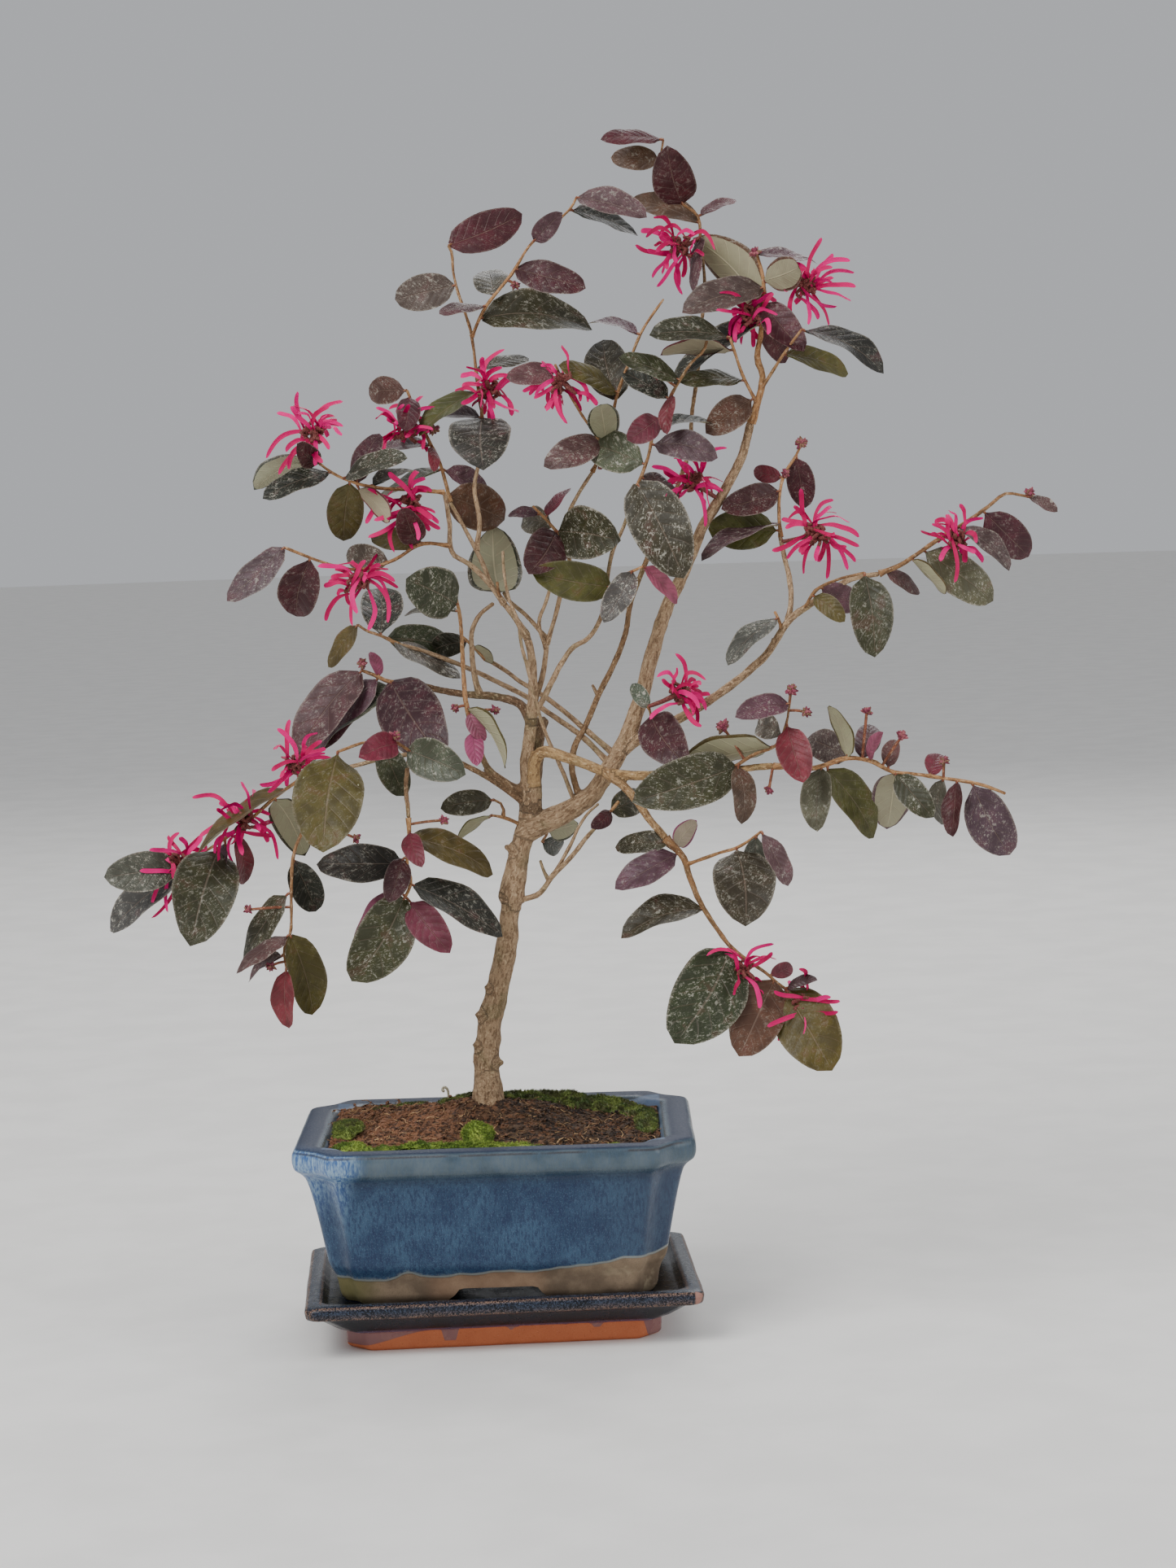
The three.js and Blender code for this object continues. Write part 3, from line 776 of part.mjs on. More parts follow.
// The nearest place on a branch, as seen in the photograph, with its depth and width.
function nearestOn(branch, spot) {
  let best = null;
  branch.route.slice(1).forEach((b, i) => {
    const a = branch.route[i];
    const dx = b.across - a.across;
    const dy = b.down - a.down;
    const along = ((spot.across - a.across) * dx + (spot.down - a.down) * dy) / (dx * dx + dy * dy);
    const t = THREE.MathUtils.clamp(along, 0, 1);
    const away = Math.hypot(spot.across - a.across - dx * t, spot.down - a.down - dy * t);
    if (!best || away < best.away) {
      const depth = a.depth + (b.depth - a.depth) * t;
      const at = place(a.across + dx * t, a.down + dy * t, depth);
      best = { away, depth, at, width: a.width + (b.width - a.width) * t };
    }
  });
  return best;
}

function smoothPath(points) {
  return points.length > 2
    ? new THREE.CatmullRomCurve3(points, false, "centripetal")
    : new THREE.LineCurve3(points[0], points[1]);
}

function stepsAlong(points, step) {
  const least = points.length > 2 ? 3 : 1;
  return Math.max(least, Math.round(smoothPath(points).getLength() / step));
}

// A limb along a route: a round of radius one drawn along it, then each ring brought to its width.
function limb(points, widths, sides, step, grow = 0) {
  const path = smoothPath(points);
  const steps = stepsAlong(points, step);
  const round = new THREE.Shape(
    Array.from({ length: sides }, (_, i) => {
      const turn = (i / sides) * Math.PI * 2;
      return new THREE.Vector2(Math.cos(turn), Math.sin(turn));
    }),
  );
  const geometry = new THREE.ExtrudeGeometry(round, { steps, extrudePath: path, bevelEnabled: false });
  const centres = path.getSpacedPoints(steps);
  const vertices = geometry.attributes.position;
  const vertex = new THREE.Vector3();
  for (let i = 0; i < vertices.count; i += 1) {
    vertex.fromBufferAttribute(vertices, i);
    let ring = 0;
    centres.forEach((centre, k) => {
      if (centre.distanceTo(vertex) < centres[ring].distanceTo(vertex)) ring = k;
    });
    const width = THREE.MathUtils.lerp(widths[0], widths[1], ring / steps);
    vertex.sub(centres[ring]).multiplyScalar(width / 2 + grow).add(centres[ring]);
    vertices.setXYZ(i, vertex.x, vertex.y, vertex.z);
  }
  return solidOf(geometry);
}

function stepOf(branch) {
  return branch.leafy ? TWIG_STEP : WOOD_STEP;
}

function sidesOf(width) {
  if (width > THICK_LIMB) return THICK_SIDES;
  return width > THIN_LIMB ? MIDDLE_SIDES : THIN_SIDES;
}

// The points that the limb of a branch is drawn through: it starts on the middle line of its parent.
function pointsOf(branch) {
  const points = branch.route.map((spot) => spot.at);
  if (branch.parent) points[0] = seatOn(branches.get(branch.parent), points[0]);
  return points;
}

function branchSolid(branch, grow) {
  const widths = [branch.route[0].width, branch.route.at(-1).width];
  return limb(pointsOf(branch), widths, sidesOf(widths[0]), stepOf(branch), grow);
}

// The nearest place to a point on the middle line of a branch as its limb is drawn.
function seatOn(branch, point) {
  if (!branch.drawn) {
    const points = pointsOf(branch);
    branch.drawn = smoothPath(points).getSpacedPoints(stepsAlong(points, stepOf(branch)));
    const [last, end] = branch.drawn.slice(-2);
    end.lerp(last, TWIG_TIP / end.distanceTo(last));
  }
  const spans = branch.drawn.slice(1).map((end, i) =>
    new THREE.Line3(branch.drawn[i], end).closestPointToPoint(point, true, new THREE.Vector3()));
  return spans.reduce((a, b) => (b.distanceTo(point) < a.distanceTo(point) ? b : a));
}

// Roots that hold the tree in the soil, spreading from the foot of the trunk.
function roots(grow) {
  const foot = branches.get("root_flare").route[0].at;
  return ROOT_TURNS.map((turn) => {
    const out = new THREE.Vector3(Math.cos(turn), Math.sin(turn) * ROOT_SQUASH, 0);
    const points = Array.from({ length: ROOT_STEPS + 1 }, (_, i) => {
      const share = i / ROOT_STEPS;
      const fall = new THREE.Vector3(0, 0, ROOT_START - ROOT_DEPTH * share);
      return foot.clone().addScaledVector(out, ROOT_REACH * share).add(fall);
    });
    return limb(points, [ROOT_START_WIDTH, ROOT_END_WIDTH], THIN_SIDES, WOOD_STEP, grow);
  });
}

function wood(grow) {
  const limbs = [...branches.values()].filter((b) => !b.leafy).map((b) => branchSolid(b, grow));
  for (const [carrier, ax, ay, bx, by, width] of SNAGS) {
    const start = nearestOn(branches.get(carrier), { across: ax, down: ay });
    const end = place(bx, by, start.depth - 1);
    const points = [seatOn(branches.get(carrier), start.at), end];
    limbs.push(limb(points, [width, width * SNAG_TAPER], THIN_SIDES, WOOD_STEP, grow));
  }
  return wasm.Manifold.union([...limbs, ...roots(grow)]);
}

// Leaves and flowers.

// A thin curved blade from its base to its tip: diamond sections, sharp at both ends. With a
// stalk it starts away from the base, and each station is a share of the length and of the width.
function blade(root, base, tip, across, width, thick, stations, fold, arch) {
  const along = tip.clone().sub(base);
  const length = along.length();
  along.normalize();
  const side = across.clone().addScaledVector(along, -across.dot(along)).normalize();
  const up = new THREE.Vector3().crossVectors(side, along).normalize();
  const at = (share, out, rise) =>
    base.clone().addScaledVector(along, length * share).addScaledVector(side, out)
      .addScaledVector(up, rise + length * arch * 4 * share * (1 - share));
  const vertices = [root];
  for (const [share, spread] of stations) {
    const half = (width / 2) * spread;
    const lift = width * fold * spread;
    vertices.push(at(share, half, lift), at(share, 0, thick / 2), at(share, -half, lift),
      at(share, 0, -thick / 2));
  }
  vertices.push(at(1, 0, 0));
  const faces = [];
  const last = vertices.length - 1;
  for (let i = 0; i < 4; i += 1) {
    const j = (i + 1) % 4;
    faces.push(0, 1 + j, 1 + i);
    for (let k = 0; k + 1 < stations.length; k += 1) {
      const near = 1 + k * 4;
      const far = near + 4;
      faces.push(near + i, near + j, far + j, near + i, far + j, far + i);
    }
    faces.push(last, last - 4 + i, last - 4 + j);
  }
  const geometry = new THREE.BufferGeometry();
  geometry.setAttribute("position",
    new THREE.Float32BufferAttribute(vertices.flatMap((p) => p.toArray()), 3));
  geometry.setIndex(faces);
  const made = solidOf(geometry);
  return made.volume() < 0 ? solidOf(geometry.setIndex(faces.reverse())) : made;
}

// The places that a leaf needs: its stalk, its blade, and how the blade is turned.
function leafShape([twig, bx, by, tx, ty, seenWidth, reach, face]) {
  const joint = nearestOn(branches.get(twig), { across: bx, down: by });
  const seenLength = Math.hypot(tx - bx, ty - by) * MM_PER_SPOT;
  const seen = seenWidth * MM_PER_SPOT;
  const trueLength = Math.max(seenLength, seen / LEAF_PLUMP);
  const foreshortened = Math.sqrt(trueLength ** 2 - seenLength ** 2) * (reach < 0 ? -1 : 1);
  const base = place(bx, by, joint.depth);
  const tip = place(tx, ty, joint.depth + reach + foreshortened);
  const width = Math.max(seen, trueLength * LEAF_SLENDER);
  const turned = Math.acos(Math.min(1, seen / width));
  const along = tip.clone().sub(base).normalize();
  const toEye = EYE.clone().sub(base).normalize();
  const flat = new THREE.Vector3().crossVectors(along, toEye).normalize();
  if (flat.z < 0) flat.negate();
  toEye.multiplyScalar(face * Math.cos(turned));
  const facing = toEye.addScaledVector(flat, Math.sin(turned));
  const across = new THREE.Vector3().crossVectors(along, facing).normalize();
  return { twig, base, tip, along, across, width };
}

// A leaf with its stalk, which starts just past the middle of its twig.
function leafSolid(row, grow) {
  const { twig, base, tip, along, across, width } = leafShape(row);
  const seat = seatOn(branches.get(twig), base);
  const stalk = base.clone().sub(seat);
  const bare = stalk.length() > STALK_LEAST && stalk.dot(along) > 0;
  const start = bare ? base : seat;
  const root = seat.clone().addScaledVector(bare ? stalk.normalize() : along, -STALK_ROOT);
  const stations = [[bare ? 0 : STALK_SHARE, STALK_WIDTH / width], ...LEAF_STATIONS];
  return blade(root, start, tip, across, width + grow * 2, LEAF_THICK + grow * 2, stations,
    LEAF_FOLD, LEAF_ARCH);
}

function shootOf(twig) {
  const branch = branches.get(twig);
  const parent = branches.get(branch.parent);
  return parent.leafy ? shootOf(branch.parent) : twig;
}

function leafyShoot(name, grow) {
  const twigs = [...branches.values()].filter((b) => b.leafy && shootOf(b.name) === name);
  const leaves = LEAVES.filter(([twig]) => shootOf(twig) === name);
  return wasm.Manifold.union([
    ...twigs.map((b) => branchSolid(b, grow)),
    ...leaves.map((row) => leafSolid(row, grow)),
  ]);
}

// A calyx on its twig, and strap petals out to their tips. A petal that looks short points
// towards the eye or away from it, turn about.
function flowerHead([, carrier, across, down, outwards, tips], grow) {
  const seat = nearestOn(branches.get(carrier), { across, down });
  const middle = place(across, down, seat.depth - outwards);
  const calyx = new THREE.IcosahedronGeometry(CALYX_RADIUS + grow, 0);
  const parts = [solidOf(calyx.translate(...middle.toArray()))];
  const gap = seat.at.distanceTo(middle) - seat.width / 2 - GAP;
  if (gap > CALYX_RADIUS / 2) {
    const away = middle.clone().sub(seat.at).normalize();
    const start = seat.at.clone().addScaledVector(away, seat.width / 2 + GAP);
    parts.push(limb([start, middle], [CALYX_STEM, CALYX_STEM], THIN_SIDES, PETAL_LENGTH, grow));
  }
  tips.forEach(([tx, ty], i) => {
    const seen = Math.hypot(tx - across, ty - down) * MM_PER_SPOT;
    const lean = Math.sqrt(Math.max(0, PETAL_LENGTH ** 2 - seen ** 2)) * (i % 2 ? PETAL_BACK : -1);
    const tip = place(tx, ty, seat.depth - outwards + lean);
    const turn = new THREE.Vector3(Math.cos(i), Math.sin(i * 2), Math.sin(i));
    const root = tip.clone().sub(middle).setLength(CALYX_RADIUS * PETAL_ROOT).add(middle);
    parts.push(blade(root, root, tip, turn, PETAL_WIDTH + grow * 2, PETAL_THICK + grow * 2,
      PETAL_STATIONS, 0, PETAL_ARCH));
  });
  return wasm.Manifold.union(parts);
}

// The whole.

const object = new THREE.Group();
object.name = "loropetalum_bonsai";

function add(name, solid, color, roughness) {
  const material = new THREE.MeshStandardMaterial({ color, roughness, metalness: 0 });
  const mesh = new THREE.Mesh(geometryOf(solid), material);
  mesh.name = name;
  object.add(mesh);
}

WOOD.forEach((row) => growBranch(row, false));
TWIGS.forEach((row) => growBranch(row, true));

const GLAZE = 0x34557e;
const TRAY_GLAZE = 0x2c3440;
const SCREEN_GREEN = 0x2c4a38;
const EARTH = 0x4b3323;
const MOSS_GREEN = 0x6f8f2e;
const BARK = 0x8c6e50;
const PETAL_PINK = 0xd7145a;
const FINISH_COLOURS = {
  green: 0x2f3a2c,
  mauve: 0x5f4b55,
  maroon: 0x4a2530,
  red: 0x8a3340,
  olive: 0x5c5a2a,
};
const SHOOT_FINISH = { grey: "green", dark: "green", pink: "red", brown: "maroon" };
const GLAZED = 0.3;
const SATIN = 0.6;
const ROUGH = 0.95;

add("drip_tray", dripTray(), TRAY_GLAZE, GLAZED);
add("pot", pot(), GLAZE, GLAZED);
const screens = [-1, 1].map(drainScreen);
add("drain_screen_left", screens[0], SCREEN_GREEN, SATIN);
add("drain_screen_right", screens[1], SCREEN_GREEN, SATIN);

const wooden = wood(0);
const woodClearance = wood(GAP);
const ground = soil(screens, woodClearance);
add("soil", ground, EARTH, ROUGH);
const covered = wasm.Manifold.union([ground, ground.translate([0, 0, GAP]), woodClearance]);
for (const [name, ...sizes] of MOSSES) {
  add(name, mossPad(...sizes, covered), MOSS_GREEN, ROUGH);
}
add("trunk_and_branches", wooden, BARK, ROUGH);

// Each shoot and flower keeps its gap to the wood and to the ones before it.
const taken = [woodClearance];
function claim(name, make, color) {
  let solid = make(0);
  const own = solid.boundingBox();
  for (const other of taken) {
    const box = other.boundingBox();
    if ([0, 1, 2].every((k) => own.min[k] < box.max[k] && box.min[k] < own.max[k])) {
      solid = solid.subtract(other);
    }
  }
  add(name, largest(solid), color, SATIN);
  taken.push(make(GAP));
}

function mainFinish(name) {
  const counts = {};
  for (const row of LEAVES.filter(([twig]) => shootOf(twig) === name)) {
    const finish = SHOOT_FINISH[row.at(-1)] || row.at(-1);
    counts[finish] = (counts[finish] || 0) + 1;
  }
  return Object.keys(counts).reduce((a, b) => (counts[b] > counts[a] ? b : a));
}

for (const branch of [...branches.values()].filter((b) => b.leafy && shootOf(b.name) === b.name)) {
  const color = FINISH_COLOURS[mainFinish(branch.name)];
  claim(branch.name, (grow) => leafyShoot(branch.name, grow), color);
}
for (const row of FLOWERS) {
  claim(row[0], (grow) => flowerHead(row, grow), PETAL_PINK);
}

export default object;
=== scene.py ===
"""A flowering loropetalum bonsai in its glazed pot, on a glazed drip tray.

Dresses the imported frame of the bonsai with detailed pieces, and makes the floor, the light and
the camera. Shapes are worked out in millimetres, +Z up, and become meshes in metres. The front
of the tree faces -Y.
"""
import json
import math
import random

import bpy
import numpy as np
from mathutils import Matrix, Vector, kdtree, noise

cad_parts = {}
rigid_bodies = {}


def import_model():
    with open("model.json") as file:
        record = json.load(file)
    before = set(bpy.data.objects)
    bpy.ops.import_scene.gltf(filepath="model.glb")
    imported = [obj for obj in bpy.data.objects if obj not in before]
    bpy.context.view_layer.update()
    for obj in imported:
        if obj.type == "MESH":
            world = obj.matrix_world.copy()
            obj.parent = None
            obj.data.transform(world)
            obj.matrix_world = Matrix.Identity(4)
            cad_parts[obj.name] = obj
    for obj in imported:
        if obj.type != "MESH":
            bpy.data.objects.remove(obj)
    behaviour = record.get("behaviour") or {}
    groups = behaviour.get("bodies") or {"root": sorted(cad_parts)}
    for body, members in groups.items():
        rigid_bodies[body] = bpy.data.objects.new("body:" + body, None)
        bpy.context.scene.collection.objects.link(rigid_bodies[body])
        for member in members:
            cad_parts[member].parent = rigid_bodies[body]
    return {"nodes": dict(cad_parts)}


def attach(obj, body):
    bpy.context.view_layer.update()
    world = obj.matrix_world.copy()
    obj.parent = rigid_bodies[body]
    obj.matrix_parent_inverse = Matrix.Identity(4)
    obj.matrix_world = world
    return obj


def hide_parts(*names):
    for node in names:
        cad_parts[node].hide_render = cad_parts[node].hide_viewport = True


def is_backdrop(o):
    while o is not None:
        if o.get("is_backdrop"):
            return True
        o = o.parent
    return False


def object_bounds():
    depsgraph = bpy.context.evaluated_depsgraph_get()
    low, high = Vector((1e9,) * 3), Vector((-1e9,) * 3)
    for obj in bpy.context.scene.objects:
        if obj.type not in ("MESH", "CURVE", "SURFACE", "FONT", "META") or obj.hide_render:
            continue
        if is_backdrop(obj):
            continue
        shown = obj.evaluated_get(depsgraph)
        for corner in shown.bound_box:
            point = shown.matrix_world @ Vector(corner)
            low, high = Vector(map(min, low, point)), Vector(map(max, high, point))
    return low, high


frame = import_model()
CAD_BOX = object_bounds()

bl_info = {
    "name": "Loropetalum Bonsai",
    "version": (1, 0, 0),
    "blender": (4, 5, 0),
    "location": "View3D > Sidebar > Bonsai",
    "description": "Builds a flowering bonsai in its glazed pot, with floor, light and camera",
    "category": "Object",
}

MM = 0.001
BODY = "root"

# Where the photograph was taken from. A spot in it, with a depth, is a place on the tree.
EYE_PITCH = math.radians(5.41)
EYE_ROLL = math.radians(-1.82)
EYE_FOCUS = 4000
EYE = Vector((45.7, -1430, 376))
PHOTO_SIZE = (1445, 1927)
MM_PER_SPOT = -EYE.y / EYE_FOCUS
SENSOR = 36

# Pot: a long octagon with dipped corners. Each row of a wall or hollow is a height and how far
# it lies inside the outline of the rim.
POT_HALF = (87.5, 64.8)
POT_CORNER = 17
POT_CORNER_DIP = 1.6
POT_CORNER_SHRINK = 0.45
POT_SEAT = 21.4
POT_BENDS = (2.6, 1.6)  # radii of its corners and of the bends of its wall
POT_WALL = [(POT_SEAT, 20.6), (24, 18.4), (31, 17.3), (34, 16.2), (38, 13.9), (43, 13),
            (56, 10.6), (66, 8.6), (73, 7), (77.4, 5.6), (79.7, 3.4), (81.2, 1), (84.5, 0),
            (88.6, 0.2), (90.6, 1.6)]
POT_LIP = [(91.3, 5), (90.9, 9.5)]
POT_FLOOR = 33
POT_HOLLOW = [(89.6, 13.4), (86, 14.8), (60, 19), (POT_FLOOR, 25)]
ARCH_TOP = 27.4
ARCH_HALF = 16.5
ARCH_SHOULDER = 6
RECESS_HALF = (54, 32)
DRAIN_RADIUS = 9
DRAIN_ACROSS = 32
DRAIN_SIDES = 24
LIP_WIDTH = 13.9  # from the edge of the rim to where the inner wall starts to look pale
FACE_LENGTH, FACE_HEIGHT = 5, 3  # about how long and how high a face of a vessel is

# Drip tray, which lies turned a little under the pot.
TRAY_HALF = (86.5, 58.4)
TRAY_TURN = math.radians(3)
TRAY_CORNER = 3
TRAY_CORNER_GROWTH = 0.35
TRAY_BENDS = (1.6, 1.1)
TRAY_WALL = [(0, 18.8), (1.2, 17.6), (8.6, 17.2), (8.9, 14.8), (13, 10), (17.8, 4.6),
             (18.3, 0.7), (22.4, 0), (23.8, 0.9), (24.3, 2.6)]
TRAY_LIP = [(24.4, 5)]
TRAY_HOLLOW = [(24, 6.9), (22.2, 8.8), (21.1, 10.4)]

# Soil: the ring at the wall, and the mound round the trunk.
SOIL_EDGE = 87.5
SOIL_INSET = 15.2
SOIL_FLOOR = (33.4, 25.6)
MOUND_HEIGHT = 10.5
MOUND_MIDDLE = (-4, 12)
MOUND_SPREAD = (46, 30)
TRUNK_SPOT = (600, 1362, 8)
COLLAR_HEIGHT = 3.4
COLLAR_SPREAD = 13
LEAN = (-0.018, 0.022)
LUMP_HEIGHT = 0.7
LUMP_TURN = 0.23
SOIL_SIDES = [18, 1, 1] * 4
SOIL_RINGS = 34
WALL_GAP = 0.6
UPWARD = 0.15
FIBRE_SHARE = 0.05
FIBRE_RADII = (0.16, 0.09)

# Moss: node, middle, half sizes along X and Y, height of the pad over the soil.
MOSSES = [
    ("moss_front_edge", -14, -47, 36, 7, 3.6),
    ("moss_ball", -7, -33, 7, 6.4, 9),
    ("moss_left", -66, -8, 7.5, 13, 4),
    ("moss_back_right", 35, 31, 31, 12, 4.4),
]

# Thin scattered moss: middle, half sizes, height.
PATCHES = [(67, 4, 5.5, 21, 2.2), (-63, -38, 8, 6, 2.4), (-49, -47, 12, 5, 3),
           (-18, 18, 10, 5, 1.6), (53, -42, 6, 3, 1.2), (38, -44, 5, 2.4, 1.1),
           (-44, 36, 12, 4, 1.3), (60, 26, 12, 9, 2.2), (8, 30, 9, 8, 2.2)]
CUSHION_SIDES = 52
CUSHION_LEVELS = 12
# A pale curled seedling behind the moss: its place, and its route in millimetres from there.
SPROUT = (-22, 20, [(0, 0, -1), (0.3, 0, 3), (-0.2, 0, 5.6), (-1.4, -0.3, 6.6), (-2.3, -0.5, 5.6),
                    (-1.7, -0.6, 4.6)])
SPROUT_RADII = (0.45, 0.7)

# Leaves, stalks, petals and roots (mm, or shares of the length or width).
LEAF_PLUMP = 0.62
LEAF_SLENDER = 0.5
LEAF_LANES = 7
STALK_LEAST = 2.2
PETAL_LENGTH = 21
PETAL_BACK = 0.7
PETAL_LANES = 5
PETAL_ROWS = [(0, 0.45), (0.06, 0.5), (0.14, 0.62), (0.24, 0.78), (0.34, 0.9), (0.44, 0.96),
              (0.54, 1), (0.64, 1), (0.74, 1.02), (0.83, 1.04), (0.9, 1), (0.96, 0.78)]
PETAL_HALF = 0.16
CALYX_LENGTH = 2.6
BUD_SCALES = 26
BUD_GIRTHS = (0.6, 1, 0.9, 0.6, 0.2)
STALK_RADII = (0.75, 0.5)
BUD_STALK = (0.65, 0.65)
HEAD_STALK = (0.9, 1.2)
CALYX_RADII = (0.8, 0.8)
ROOT_TURNS = (0.3, 1.6, 2.9, 4.1, 5.3)
ROOT_REACH = 34
PATH_STEP = 2.4
TWIG_STEP = 3
# Limbs: faces round one, how lumpy it is, and how far it swells where it leaves its parent.
LIMB_SIDES, LIMB_KNOTS, LIMB_COLLAR = 16, 0.16, 0.35
THIN_SIDES, THIN_KNOTS = 9, 0.22
TWIG_SIDES, TWIG_KNOTS, TWIG_COLLAR = 8, 0.35, 0.5
# A curled edge keeps the look of the upper face up to this share of its strip.
EDGE_SHARE = 0.75

# Floor (m to its edge, levels in mm), sky, and lamps: name, place (m), size (m), share of the
# power. The lamps look at the aim (m).
FLOOR_REACH = 12
FLOOR_SIDES = 64
FLOOR_LEVELS = (-0.05, -20)
SKY = (0.86, 0.88, 0.92, 1)
LAMPS = [("key", (-0.9, -1.1, 1.6), 1.1, 1), ("side", (1.5, -0.7, 0.9), 1.2, 0.35),
         ("back", (0.3, 1.6, 1.5), 1.2, 0.45)]
AIM = Vector((0.02, 0, 0.25))


def colour(red, green, blue):
    """A colour picked on a screen, as the linear values that a shader takes."""
    return tuple((value / 255) ** 2.2 for value in (red, green, blue))


# Leaf finishes: the colour of the upper face, and how thickly white dust lies on it.
FINISHES = {
    "green": (colour(56, 56, 36), 0.7),
    "grey": (colour(84, 84, 70), 0.9),
    "dark": (colour(38, 38, 28), 0.6),
    "olive": (colour(80, 74, 32), 0.14),
    "mauve": (colour(88, 60, 66), 0.6),
    "maroon": (colour(70, 30, 38), 0.3),
    "brown": (colour(88, 62, 48), 0.4),
    "red": (colour(112, 40, 54), 0.15),
    "pink": (colour(152, 74, 100), 0.08),
}
# Bark: most wood is tan; these limbs differ.
TAN = colour(182, 152, 120)
TONES = {
    "front_arm": colour(190, 154, 108),
    "low_right_arm": colour(178, 142, 102),
    "left_arm": colour(124, 96, 72),
    "cut_stump": colour(130, 106, 82),
    "drooping_arm": colour(150, 118, 88),
    "left_riser": colour(136, 108, 80),
    "top_leader": colour(154, 122, 90),
}
TWIG_TINT = colour(160, 118, 80)
STALK_TINT = colour(140, 84, 62)
BUD_TINTS = (colour(146, 58, 88), colour(170, 92, 106), colour(118, 38, 66), colour(134, 100, 78))
PETAL_TINTS = (colour(216, 3, 104), colour(232, 14, 124), colour(190, 2, 86))
CALYX_TINT = colour(122, 56, 56)
SPROUT_TINT = colour(206, 204, 178)

